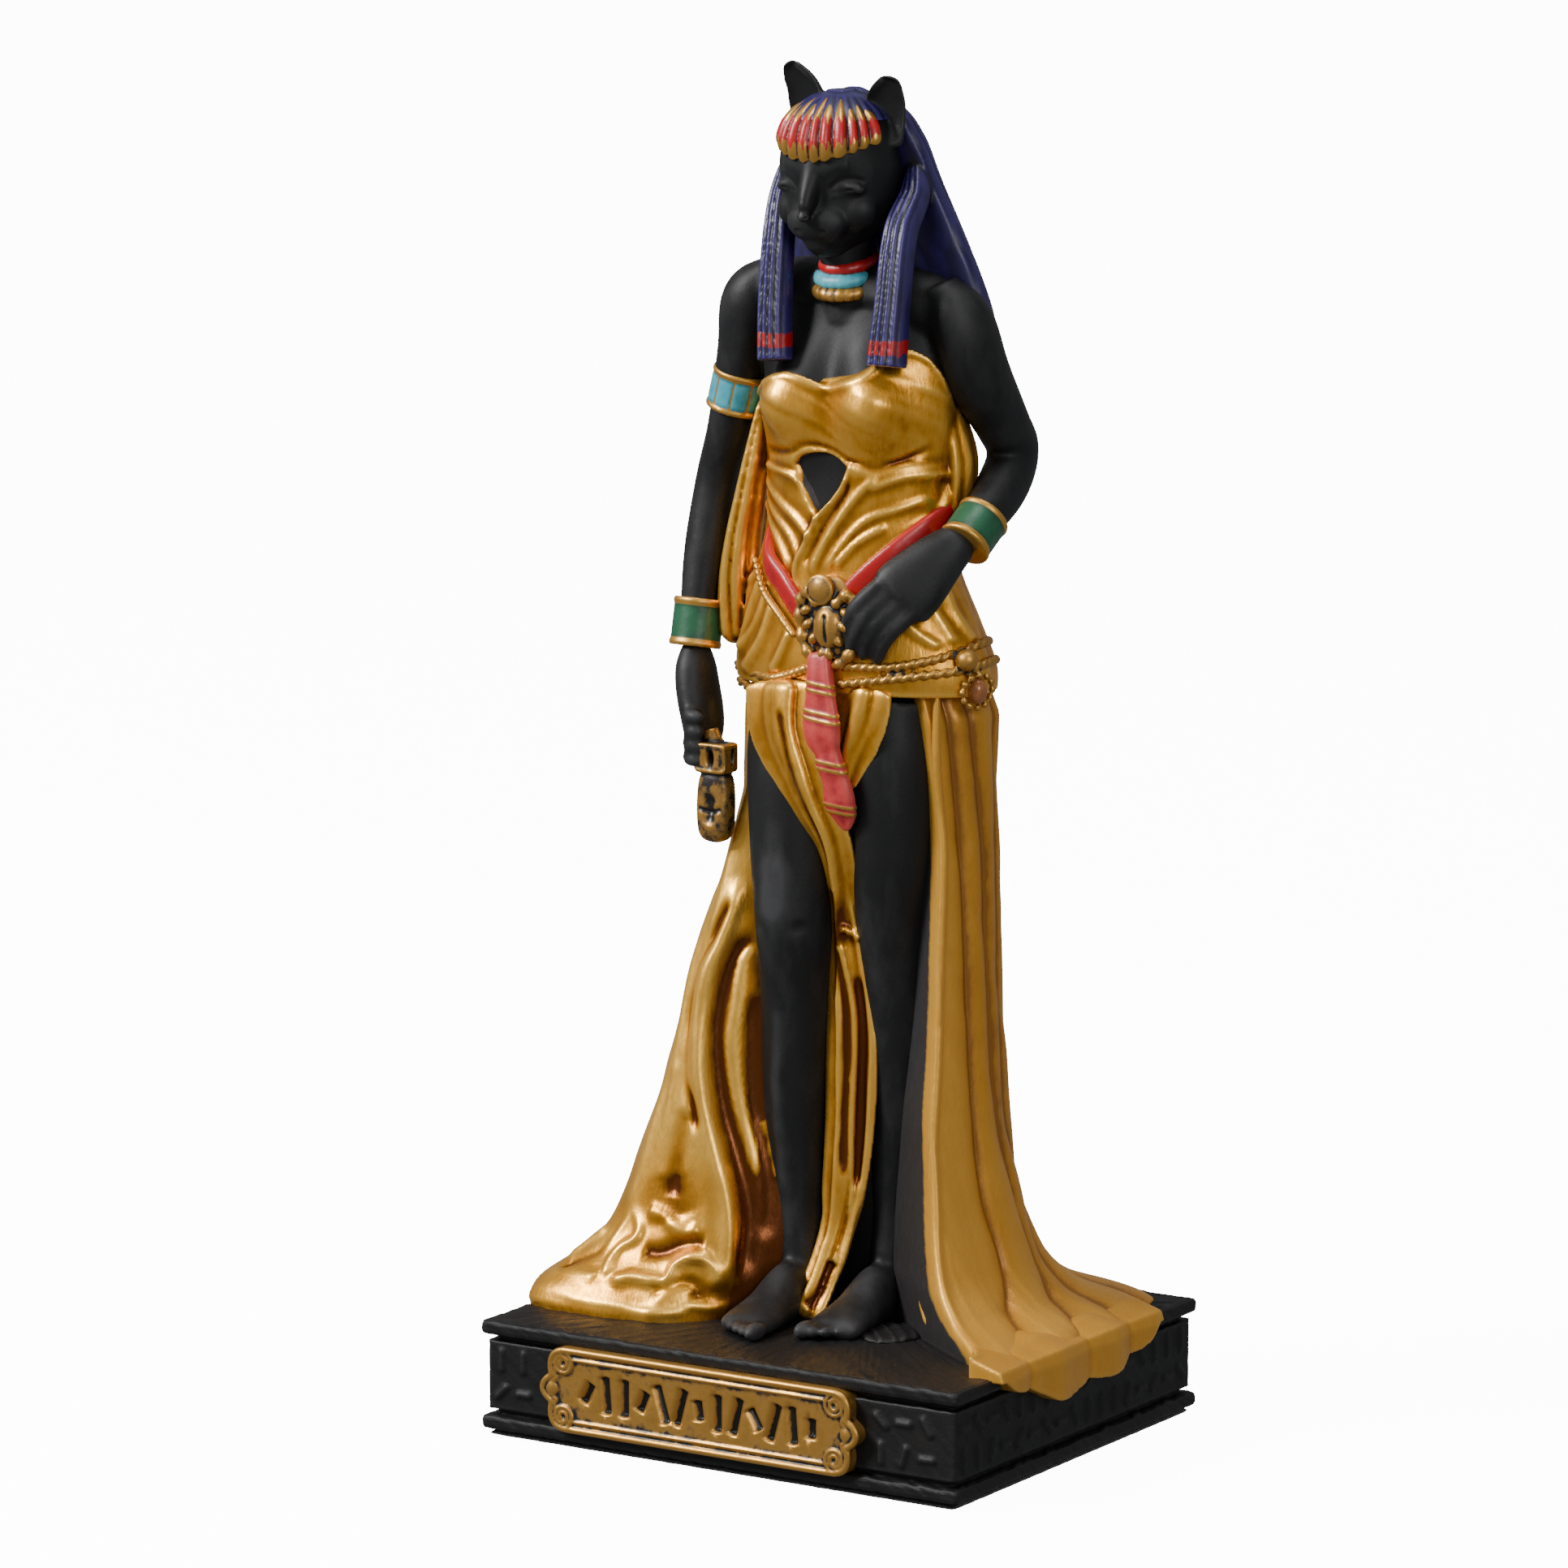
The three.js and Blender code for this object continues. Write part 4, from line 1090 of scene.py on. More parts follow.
@dataclass
class Body:
    """The bare black parts: legs, feet, arms, hands, breast, neck and head."""

    trunk: Trunk
    grain: float = 0.19
    upper_grain: float = 0.17
    face_grain: float = 0.1
    # Stations of x, y, height, half-width and half-depth, here and for all the limbs below.
    right_leg: Table = (
        (-1.9, 0.2, 40.2, 4.2, 4.2), (-2.1, -1.2, 36.5, 3.6, 3.9), (-1.9, -2.2, 30.5, 3.05, 3.3),
        (-1.7, -2.6, 26.0, 2.7, 2.9), (-1.9, -2.0, 21.0, 2.45, 2.8), (-2.1, -1.8, 13.5, 2.15, 2.4),
        (-1.8, -1.9, 7.0, 1.5, 1.7), (-1.6, -1.9, 3.0, 1.5, 1.9), (-1.6, -1.8, -0.4, 1.3, 1.9),
    )
    left_leg: Table = (
        (4.1, 0.4, 40.2, 3.4, 4.0), (4.3, -0.2, 36.5, 3.5, 4.0), (4.4, -0.4, 30.5, 3.1, 3.5),
        (4.3, -0.3, 26.0, 2.5, 2.9), (4.3, 0.3, 20.5, 2.3, 2.7), (4.1, 0.6, 13.5, 2.0, 2.3),
        (3.8, 0.4, 7.0, 1.4, 1.6), (3.7, 0.4, 3.0, 1.4, 1.9), (3.7, 0.5, -0.4, 1.3, 1.9),
    )
    foot: Table = (
        (0, 1.9, 1.1, 0.8, 0.9), (0, 0.6, 1.6, 1.4, 1.8), (0, -1.9, 1.7, 1.45, 2.0),
        (0, -4.4, 1.0, 1.65, 1.35), (0, -6.6, 0.6, 1.9, 0.95), (0, -7.8, 0.4, 1.8, 0.6),
    )
    # Centre and half-sizes of each knee.
    knees: tuple[tuple[Point, Point], ...] = (
        ((-1.55, -4.1, 26.4), (1.45, 1.35, 1.9)), ((4.35, -2.0, 26.6), (1.35, 1.25, 1.8)),
    )
    feet: dict[Side, tuple[float, float]] = field(
        default_factory=lambda: {Side.RIGHT: (-1.55, -2.0), Side.LEFT: (3.75, 0.2)}
    )
    # How far to the side, back and up from a foot's place the bones of its ankle stand out.
    ankles: Table = ((1.35, 0.1, 2.9), (-1.35, 0.1, 3.1))
    ankle_size: Point = (0.45, 0.6, 0.6)
    toes: int = 5
    toe_spacing: float = 0.74
    toe_reach: float = 8.2
    big_toe: float = 0.62
    right_arm: Table = (
        (-5.4, 0.6, 67.7, 1.0, 1.4), (-6.9, 0.5, 65.6, 2.1, 2.2), (-7.6, 0.5, 62.2, 1.85, 2.0),
        (-8.9, 0.8, 57.4, 1.5, 1.7), (-10.2, 1.0, 53.4, 1.4, 1.5), (-10.6, 0.3, 48.6, 1.45, 1.55),
        (-10.6, -0.9, 43.4, 1.05, 1.2),
    )
    left_arm: Table = (
        (6.9, 0.7, 67.2, 1.0, 1.4), (8.1, 1.0, 65.0, 2.1, 2.2), (8.9, 1.9, 61.6, 2.1, 2.2),
        (9.4, 4.2, 58.2, 1.75, 1.85), (9.4, 5.6, 56.2, 1.6, 1.75), (9.7, 3.4, 53.9, 1.65, 1.7),
        (9.6, -0.4, 51.3, 1.2, 1.25),
    )
    right_hand: Table = (
        (-10.6, -0.9, 43.8, 1.0, 1.15), (-10.3, -1.3, 41.0, 1.25, 1.75), (-9.5, -1.8, 38.2, 1.2, 1.8),
        (-8.9, -2.4, 35.6, 0.8, 1.2),
    )
    left_palm: Table = (
        (9.7, -0.3, 51.6, 1.1, 1.1), (8.5, -1.8, 50.2, 1.75, 1.05), (7.2, -3.2, 48.4, 2.3, 0.9),
        (6.3, -3.9, 47.3, 2.25, 0.85),
    )
    hand_front: Point = (0.45, -0.8, 0.25)
    knuckles: Point = (6.9, -3.7, 48.1)
    fingers: int = 4
    finger_length: float = 5.6
    finger_spacing: float = 0.92
    # The mass between the shoulders.
    yoke: Table = (
        (-6.4, 0.7, 65.8, 1.4, 1.8), (-4.4, 0.8, 66.4, 1.9, 2.2), (0.7, 0.6, 66.8, 1.9, 2.3),
        (5.4, 1.0, 65.8, 2.2, 2.3), (7.6, 1.2, 65.0, 1.7, 1.9),
    )
    neck: Table = ((0.7, 0.2, 65.2, 2.3, 2.2), (0.62, -0.3, 67.2, 1.6, 1.65), (0.45, -0.7, 70.5, 1.75, 1.8))

    def _foot(self, clay: Clay, x: float, y: float, outer: int) -> None:
        """Adds a foot.

        Args:
            clay: What it is added to.
            x: Its place across the figure.
            y: Its place from front to back.
            outer: -1 or 1, the side that its small toe is on.
        """
        clay.limb([(x + fx, y + fy, *rest) for fx, fy, *rest in self.foot], front=UP, closing=0.12)
        for i in range(self.toes):
            size = self.big_toe if i == 0 else self.big_toe * (0.8 - 0.05 * i)
            across = outer * self.toe_spacing * (i - (self.toes - 1) / 2)
            clay.ball((x + across, y - self.toe_reach + 0.1 * i * i, 0.5), (size * 0.85, size * 1.8, size))
        for aside, back, up in self.ankles:
            clay.ball((x + aside, y + back, up), self.ankle_size)

    def legs(self) -> Sculpture:
        """Makes both legs and feet."""
        clay = Clay("skin_legs")
        clay.limb(self.right_leg, around=48, along=150)
        clay.limb(self.left_leg, around=48, along=150)
        for place, size in self.knees:
            clay.ball(place, size)
        for side, (x, y) in self.feet.items():
            self._foot(clay, x, y, side.value)
        shins = Stroke(((-1.9, -4.3, 21.5), (-2.2, -4.2, 13.5), (-1.9, -3.7, 7.5)), 0.55, 0.16)
        knee = 26.6
        hollows = [Stroke(((x, -4.6, knee), (x, -4.8, knee - 1.2)), 0.5, -0.14, 0.4) for x in (-3.0, -0.3)]
        # A painted highlight down the front of the right thigh, in the skin's lighter grey.
        wear_and_sheen = Stroke(((-1.6, -5.4, 31.2), (-1.8, -5.4, 28.4), (-1.9, -5.5, 25.8)), 0.9, 0.0, 0.3, -0.8)
        return clay.sculpture(self.grain, 4).carve(shins, *hollows).hollows(18, 0.12).tint(wear_and_sheen)

    def _breast(self, bearing: Array, z: Array) -> Array:
        """The radius of the breast under the bodice."""
        return self.trunk.radius(bearing, z) - 0.35

    def upper(self) -> Sculpture:
        """Makes the breast, shoulders, neck, arms and hands."""
        clay = Clay("skin_upper")
        clay.column((52.0, 65.5), self.trunk.centre, self._breast, 120, 60)
        clay.limb(self.yoke, closing=0.1)
        clay.limb(self.neck)
        clay.limb(self.right_arm, around=40, along=110)
        clay.limb(self.left_arm, around=40, along=110)
        clay.limb(self.right_hand, closing=0.3)
        clay.limb(self.left_palm, front=self.hand_front, closing=0.15)
        kx, ky, kz = self.knuckles
        for i in range(self.fingers):
            side = self.finger_spacing * (i - (self.fingers - 1) / 2)
            long = self.finger_length * (1 - 0.08 * abs(i - 1))
            x, y, z = kx + 0.72 * side, ky + 0.1 * i, kz - 0.68 * side
            finger = (
                (x, y, z, 0.6, 0.64),
                (x - 0.36 * long, y - 0.22 * long, z - 0.4 * long, 0.56, 0.6),
                (x - 0.62 * long, y - 0.13 * long, z - 0.84 * long, 0.42, 0.46),
            )
            clay.limb(finger, front=self.hand_front, around=20, along=24, closing=0.2)
        for i in range(self.fingers):
            z = 38.9 - 0.95 * i
            root, tip = (-10.2, -2.3, z, 0.5, 0.5), (-8.2, -3.5, z - 0.25, 0.42, 0.42)
            finger = (root, (-9.2, -3.6, z - 0.15, 0.5, 0.5), tip)
            clay.limb(finger, front=UP, around=16, along=16, closing=0.25)
        collarbones = [
            Stroke(((0.7 + 0.9 * side, -1.9, 66.0), (0.7 + 4.6 * side, -1.5, 66.6)), 0.45, 0.1)
            for side in (-1, 1)
        ]
        return clay.sculpture(self.upper_grain, 9).carve(*collarbones).hollows(18, 0.12)

    def build(self, paint: Skin) -> None:
        """Makes all the bare parts."""
        material = paint.material()
        for sculpture in (self.legs(), self.upper(), Head().sculpture(self.face_grain)):
            sculpture.finish(material)


@dataclass
class Head:
    """The cat's head. Sizes are on one side of the middle line, from the head's centre."""

    x: float = 0.45
    y: float = -1.0
    low: float = 68.9
    top: float = 79.3
    # Height, half-width, reach to the front and the back, and how full the section is.
    rows: Table = (
        (68.8, 0.5, 2.0, 0.4, 2.0), (69.1, 1.0, 2.8, 0.7, 1.9), (69.85, 1.85, 3.2, 1.3, 1.85),
        (70.6, 2.85, 3.3, 2.1, 1.8), (71.3, 3.3, 3.4, 2.6, 1.8), (72.2, 3.65, 3.4, 3.05, 1.85),
        (73.1, 3.85, 3.4, 3.4, 1.9), (74.6, 3.95, 3.6, 3.6, 2.0), (75.6, 3.8, 3.7, 3.45, 2.0),
        (76.6, 3.55, 3.6, 3.3, 2.0), (78.0, 2.9, 3.0, 3.0, 2.0), (79.0, 1.6, 1.7, 1.8, 2.0),
        (79.3, 0.6, 0.6, 0.8, 2.0),
    )
    # Stations of x, y, height, half-width and half-depth.
    nose: Table = (
        (0, -2.9, 76.0, 1.2, 0.7), (0, -3.2, 74.4, 0.85, 0.75), (0, -3.75, 72.9, 0.62, 0.75),
        (0, -4.25, 71.75, 0.45, 0.55),
    )
    ears: dict[Side, Table] = field(
        default_factory=lambda: {
            Side.RIGHT: (
                (2.3, 0.3, 76.0, 1.6, 1.1), (2.55, 0.2, 77.9, 1.6, 0.95), (2.9, 0.05, 79.3, 1.4, 0.7),
                (3.45, -0.15, 80.3, 0.98, 0.5), (3.9, -0.3, 80.98, 0.5, 0.3),
            ),
            Side.LEFT: (
                (2.7, 0.3, 75.8, 1.6, 1.1), (3.05, 0.2, 77.6, 1.5, 0.95), (3.4, 0.05, 78.9, 1.35, 0.75),
                (3.75, -0.15, 79.8, 0.95, 0.5), (3.95, -0.3, 80.4, 0.5, 0.3),
            ),
        }
    )
    # Centre and half-sizes of the chin, the muzzle and the nose's tip.
    muzzle: Table = (
        (0, -2.5, 69.9, 1.0, 0.8, 0.75), (0, -2.6, 71.2, 2.2, 1.3, 1.4), (0, -4.35, 71.6, 0.5, 0.4, 0.34),
    )
    # Centre, half-sizes and lean of the eye and the cheek.
    cheek: Table = ((2.15, -2.35, 73.5, 1.15, 0.6, 0.5, 10), (1.9, -1.5, 71.9, 1.7, 1.2, 1.4, 0))
    # Width, height and line of the lids, the fold under the eye, the brow, the mouth and the nostril.
    features: tuple[tuple[float, float, Sequence[Point]], ...] = (
        (0.2, -0.12, (
            (1.1, -3.3, 73.1), (1.7, -3.2, 73.75), (2.3, -2.95, 74.0), (2.9, -2.5, 73.95),
            (3.3, -2.0, 73.75),
        )),
        (0.12, -0.13, (
            (1.2, -3.3, 73.05), (1.8, -3.15, 73.2), (2.4, -2.9, 73.28), (2.9, -2.5, 73.4),
            (3.2, -2.1, 73.6),
        )),
        (0.3, -0.06, ((1.3, -3.3, 72.7), (1.9, -3.1, 72.6), (2.5, -2.8, 72.7), (3.0, -2.4, 73.0))),
        (0.45, 0.1, ((0.6, -3.5, 74.1), (1.5, -3.3, 74.75), (2.6, -2.8, 74.95))),
        (0.14, -0.1, ((0.1, -4.1, 70.8), (0.6, -3.9, 70.66), (1.2, -3.5, 70.66))),
        (0.1, -0.16, ((0.3, -4.75, 71.5), (0.42, -4.5, 71.68))),
    )

    def radius(self, bearing: Array, z: Array) -> Array:
        """The skull's radius at each bearing and height."""
        return oval(bearing, *read(self.rows, z).T)

    def centre(self, z: Array) -> tuple[Array, Array]:
        """The skull's middle, which stays where it is."""
        return np.full_like(z, self.x), np.full_like(z, self.y)

    def _at(self, side: Side, stations: Table) -> list[tuple[float, ...]]:
        """Stations of one side moved to the head."""
        return [(self.x + side.value * x, self.y + y, z, *size) for x, y, z, *size in stations]

    def sculpture(self, grain: float) -> Sculpture:
        """Makes the head with its face and ears."""
        clay = Clay("skin_head")
        clay.column((self.low, self.top), self.centre, self.radius, 160, 110)
        clay.limb(self._at(Side.LEFT, self.nose), closing=0.12)
        for x, y, z, *size in self._at(Side.LEFT, self.muzzle):
            clay.ball((x, y, z), tuple(size))
        for side in Side:
            for x, y, z, wide, deep, high, lean in self._at(side, self.cheek):
                clay.ball((x, y, z), (wide, deep, high), lean * side.value)
            ear, facing = self._at(side, self.ears[side]), (side.value * 0.2, -0.9, 0)
            clay.limb(ear, front=facing, around=48, along=60, closing=0.08, section=self._cupped)
        strokes: list[Stroke] = []
        for side in Side:
            for width, height, line in self.features:
                strokes.append(Stroke(self._at(side, line), width, height))
            # The ear rims are raised a little and carry a painted highlight.
            for edge in (-1, 1):
                rim = [(x + edge * w, y - 0.2 * edge * w, z) for x, y, z, w, _ in self.ears[side][1:]]
                strokes.append(Stroke(self._at(side, rim), 0.24, 0.08, 0.1, -0.7))
        strokes.append(Stroke(self._at(Side.LEFT, ((0, -4.7, 71.35), (0, -4.5, 70.8))), 0.1, -0.12))
        return clay.sculpture(grain, 14).carve(*strokes).hollows(16, 0.08).tint(*strokes)

    def _cupped(self, angle: Array, rise: Array) -> Array:
        """The factor that makes the front of an ear hollow."""
        front = np.clip(np.sin(angle), 0, 1)
        open_part = ease(rise / 0.25) * ease((1 - rise) / 0.12)
        return 1 - 1.35 * ease(front / 0.75) * open_part


@dataclass
class Hair:
    """The wig: crown and back hair, and two lappets in front of the shoulders."""

    head: Head
    low: float = 62.2
    top: float = 79.5
    # Height, half-width, and reach to the front and the back.
    rows: Table = (
        (62.2, 8.9, 1.0, 2.4), (65.0, 8.7, 1.2, 3.1), (68.0, 7.8, 1.2, 3.6), (71.0, 6.5, 0.8, 3.8),
        (74.0, 5.2, 0.6, 3.9), (76.5, 4.3, 0.7, 3.5), (78.4, 2.9, 0.9, 2.4), (79.5, 0.3, 0.3, 0.3),
    )
    strands: int = 40
    depth: float = 0.26
    crown: float = 77.6
    crown_strands: int = 26
    lappets: tuple[Table, Table] = (
        (
            (-3.1, 1.2, 76.2, 0.7, 0.7), (-3.6, -0.7, 73.5, 0.9, 0.8), (-3.4, -2.1, 70.5, 1.05, 0.85),
            (-3.2, -2.9, 66.2, 1.1, 0.95), (-2.8, -3.6, 62.2, 1.15, 0.9),
        ),
        (
            (4.5, 1.6, 75.4, 0.5, 0.5), (5.3, 0.3, 73.0, 0.9, 0.85), (5.45, -1.8, 70.5, 1.1, 0.95),
            (5.55, -2.9, 66.2, 1.15, 1.0), (5.55, -3.6, 62.3, 1.3, 1.0),
        ),
    )
    lappet_strands: int = 5
    # Lowest and highest height of the red bands.
    band: tuple[float, float] = (63.1, 64.0)
    grain: float = 0.1

    def centre(self, z: Array) -> tuple[Array, Array]:
        """The wig's middle, which leans back towards its ends."""
        return np.full_like(z, self.head.x + 0.35), 3.0 - (z - self.low) * 0.17

    def radius(self, bearing: Array, z: Array) -> Array:
        """The wig's radius, strands and all."""
        wander = 0.35 * wave(z * 0.35, 2 * np.cos(np.radians(bearing)))
        phase = np.radians(bearing) * self.strands / 2 + wander
        strand = np.abs(np.sin(phase)) ** 0.7
        second = np.abs(np.sin(phase * 2.0 + 0.7 + wander)) ** 0.8
        plain = oval(bearing, *read(self.rows, z).T)
        return plain + self.depth * (strand - 0.55) + 0.35 * self.depth * (second - 0.5)

    def _fluted(self, angle: Array, rise: Array) -> Array:
        """The factor that flutes the front of a lappet."""
        across = np.cos(angle)
        flute = np.abs(np.sin(across * math.pi * self.lappet_strands / 2 + 0.3 * wave(rise * 6)))
        return 1 + 0.34 * (flute**0.7 - 0.7)

    def _crown(self, bearing: Array, z: Array) -> Array:
        """The radius of the hair on top of the head, between the ears."""
        strand = np.abs(np.sin(np.radians(bearing) * self.crown_strands / 2)) ** 0.8
        return self.head.radius(bearing, z) + 0.1 + 0.14 * strand

    def build(self, paint: Wig) -> None:
        """Makes the wig."""
        clay = Clay("wig")
        clay.column((self.low, self.top), self.centre, self.radius, 560, 120)
        for lappet in self.lappets:
            clay.limb(lappet, around=120, along=110, power=2.6, section=self._fluted)
        clay.column((self.crown, self.top - 0.1), self.head.centre, self._crown, 420, 40)
        sculpture = clay.sculpture(self.grain, 2).paint("bound", self._banded)
        sculpture.hollows(9, 0.055).finish(paint.material())

    def _banded(self, points: Array) -> Array:
        """1 on the red bands round the lappets and 0 elsewhere."""
        low, high = self.band
        z = points[:, 2]
        front = points[:, 1] < -1.5
        return front * ease((z - low) / 0.08 + 0.5) * ease((high - z) / 0.08 + 0.5)


@dataclass
class Diadem:
    """The pleated band over the brow."""

    head: Head
    pleats: int = 12
    spread: float = 152
    low: float = 75.2
    top: float = 78.7
    rise: float = 1.3
    proud: float = 0.6
    grain: float = 0.075

    def _place(self, turn: Array, share: Array) -> Array:
        """Places the band's skin: its outside for the first half turn, its inside for the second."""
        aside = (share - 0.5) * self.spread
        outside = turn < 0.5
        up = np.where(outside, 2 * turn, 2 - 2 * turn)
        pleat = np.abs(np.sin(math.pi * share * self.pleats + 0.35 * np.sin(share * 23))) ** 0.7
        low = self.low + self.rise * np.sin(np.radians(aside)) ** 2 - 0.22 * pleat
        peak = (0.5 + 0.25 * np.sin(share * 37)) * pleat
        top = self.top + peak - 0.5 * np.sin(np.radians(aside)) ** 2 - 0.2
        z = low + (top - low) * up
        swell = np.sin(math.pi * np.clip(up, 0.03, 0.97)) ** 0.35
        proud = np.where(outside, self.proud * swell * (0.2 + 0.8 * pleat) * (1 - 0.35 * up), -0.6)
        r = self.head.radius(aside - 90, z) + proud
        angle = np.radians(aside - 90)
        return np.stack([self.head.x + r * np.cos(angle), self.head.y + r * np.sin(angle), z], axis=1)

    def build(self, paint: Enamel) -> None:
        """Makes the diadem."""
        clay = Clay("diadem")
        clay.roll(80, 420, self._place)
        sculpture = clay.sculpture(self.grain, 1).paint("bound", self._rims)
        sculpture.hollows(10, 0.035).finish(paint.material())

    def _rims(self, points: Array) -> Array:
        """1 on the gold rims above and below, 0 on the red between them."""
        aside = np.degrees(np.arctan2(points[:, 1] - self.head.y, points[:, 0] - self.head.x)) + 90
        lean = np.sin(np.radians(aside)) ** 2
        low = self.low + self.rise * lean
        up = (points[:, 2] - low) / (self.top - 0.5 * lean - low)
        uneven = 0.12 * wave(aside * 0.5)
        lower, upper = ease((0.24 + uneven - up) / 0.08 + 0.5), ease((up - 0.74 - uneven) / 0.08 + 0.5)
        return np.maximum(lower, upper)


@dataclass
class Bodice:
    """The robe from the hips to the neckline. Lines on it are drawn as aside in degrees and height."""

    trunk: Trunk
    low: float = 41.2
    neckline: Table = (
        (-180, 59.0), (-100, 59.0), (-81, 59.8), (-52, 61.0), (-30, 61.6), (-1, 60.9), (18, 61.2),
        (37, 61.9), (60, 63.2), (74, 63.0), (99, 59.0), (180, 59.0),
    )
    # Height and aside of the flap that crosses from the figure's left.
    lap_edge: Table = (
        (47.0, -34), (49.4, -30), (50.8, -21), (52.5, -10), (54.3, 12), (55.7, 20), (57.0, 24),
    )
    # Aside and height of the edge of the wrap at the right, and of the gap's two edges.
    wrap_edge: Table = ((-90, 55.4), (-55, 55.3), (-30, 54.8), (-11, 52.8), (-5, 51.5))
    gap_low: Table = ((-36, 55.9), (-30, 54.6), (-22, 53.5), (-11, 52.6), (0, 53.1), (10, 54.0), (21, 55.6))
    gap_top: Table = ((-36, 55.6), (-28, 56.2), (-15, 56.5), (0, 56.5), (12, 56.2), (21, 55.7))
    gap_depth: float = 0.45
    lap: float = 0.28
    back_pleats: float = 11
    back_depth: float = 0.3
    # Half-width, height and the line of each ridge; a height below zero makes a groove.
    folds: tuple[tuple[float, float, tuple[tuple[float, float], ...]], ...] = (
        (0.28, -0.26, (
            (-80, 56.1), (-37, 56.4), (-19, 57.0), (6, 56.7), (27, 56.0), (51, 55.8), (82, 57.3),
        )),
        (0.22, 0.2, ((-81, 55.2), (-52, 55.1), (-30, 54.6), (-12, 52.7), (-6, 51.5))),
        (0.3, 0.24, ((-81, 54.4), (-51, 53.0), (-30, 52.0), (-12, 50.8))),
        (0.24, 0.2, ((-84, 53.4), (-60, 52.2), (-38, 51.0), (-26, 49.6))),
        (0.26, 0.22, ((-88, 52.8), (-60, 51.2), (-44, 49.9), (-34, 48.8))),
        (0.24, 0.24, ((21, 55.6), (15, 54.3), (-8, 52.4), (-19, 50.8), (-28, 49.4), (-30, 48.1))),
        (0.2, -0.2, ((24, 55.0), (18, 53.8), (0, 52.0), (-11, 50.6), (-20, 49.2))),
        (0.3, 0.22, ((46, 55.3), (30, 54.0), (10, 52.0), (-6, 50.0), (-12, 48.6))),
        (0.22, 0.18, ((80, 53.9), (60, 53.2), (36, 52.4), (14, 50.6), (0, 49.0))),
        (0.28, 0.24, ((80, 52.7), (58, 51.1), (37, 49.2))),
        (0.24, 0.2, ((51, 52.1), (28, 50.9), (9, 49.3))),
        (0.22, 0.2, ((70, 51.9), (48, 50.1), (30, 48.5))),
        (0.24, 0.2, ((95, 55.2), (64, 55.2), (37, 54.3))),
        (0.3, 0.3, ((99, 58.8), (93, 57.1), (90, 54.5), (84, 52.7))),
        (0.3, 0.3, ((112, 58.0), (98, 55.4), (84, 52.4))),
        (0.35, 0.3, ((-86, 58.4), (-84, 55.0), (-81, 50.4), (-81, 45.7))),
        (0.3, 0.28, ((-98, 57.5), (-96, 52.2), (-90, 49.8), (-80, 47.3), (-82, 44.2))),
        (0.24, 0.2, ((-70, 48.9), (-87, 46.8))), (0.32, 0.3, ((-69, 48.0), (-70, 46.0), (-69, 43.0))),
        (0.32, 0.28, ((-48, 46.8), (-53, 44.1), (-66, 41.7))),
        (0.3, 0.26, ((-29, 45.1), (-36, 43.3), (-42, 42.1))),
        (0.24, 0.2, ((-58, 48.0), (-60, 45.4), (-72, 42.6))),
        (0.26, 0.22, ((64, 48.8), (72, 46.6), (78, 44.6))),
        (0.26, 0.22, ((78, 48.6), (83, 46.3), (89, 44.6))),
        (0.26, 0.2, ((48, 47.6), (60, 45.6), (72, 44.4))),
    )
    # Stations of the cloth that hangs from the shoulders.
    falls: tuple[Table, Table] = (
        (
            (-5.8, 0.6, 59.7, 0.5, 1.0), (-6.8, 0.4, 54.0, 0.9, 1.5), (-7.9, 0.4, 48.0, 1.2, 1.8),
            (-8.3, 0.6, 43.0, 1.0, 1.6),
        ),
        ((7.0, 1.6, 59.7, 0.6, 1.0), (7.6, 2.0, 55.5, 1.0, 1.4), (6.9, 1.4, 51.0, 0.8, 1.0)),
    )
    grain: float = 0.135

    def _relief(self, bearing: Array, z: Array) -> Array:
        """How far the cloth stands above the trunk."""
        aside = turned(-90, bearing)
        flat = np.stack([aside * 0.1, z, np.zeros_like(z)], axis=1)
        lift = np.full_like(z, 0.02)
        for width, height, line in self.folds:
            drawn = tuple((a * 0.1, level, 0.0) for a, level in line)
            lift += Stroke(drawn, width, height, 0.1).rise(flat)
        front = ease((95 - np.abs(aside)) / 20)
        over = ease((aside - value(self.lap_edge, z)) / 2.5)
        over = over * ease((56.2 - z) / 0.5) * ease((z - 46.5) / 1.5)
        wrap = ease((value(self.wrap_edge, aside) - z) / 0.25)
        wrap = wrap * ease((-2 - aside) / 4) * ease((z - 47.5) / 2)
        lift += front * (self.lap * over + 0.6 * self.lap * wrap * (1 - over))
        opening = ease((z - value(self.gap_low, aside)) / 0.16)
        opening = opening * ease((value(self.gap_top, aside) - z) / 0.16)
        lift -= (self.gap_depth + self.lap * 0.5) * opening * self._in_gap(aside)
        top = value(self.neckline, aside)
        lift += 0.16 * hill(z - top + 0.28, 0.22) * front
        bust = hill(z - self.trunk.bust_height, 2.6) * front
        lift += 0.05 * wave(z * 1.9 + aside * 0.02, aside * 0.06) * bust
        behind = ease((np.abs(aside) - 92) / 15)
        sway = 0.5 * wave(z * 0.16, np.radians(aside))
        pleat = np.abs(np.sin(np.radians(aside) * self.back_pleats + sway)) ** 0.6
        return lift + self.back_depth * (pleat - 0.6) * behind

    def _top(self, bearing: Array) -> Array:
        """The neckline's height at each bearing."""
        return value(self.neckline, turned(-90, bearing))

    def _radius(self, bearing: Array, z: Array) -> Array:
        """The cloth's distance from the trunk's middle."""
        return self.trunk.radius(bearing, z) + self._relief(bearing, z)

    def _in_gap(self, aside: Array) -> Array:
        """True between the two ends of the gap under the bust."""
        return (aside > self.gap_low[0][0]) & (aside < self.gap_low[-1][0])

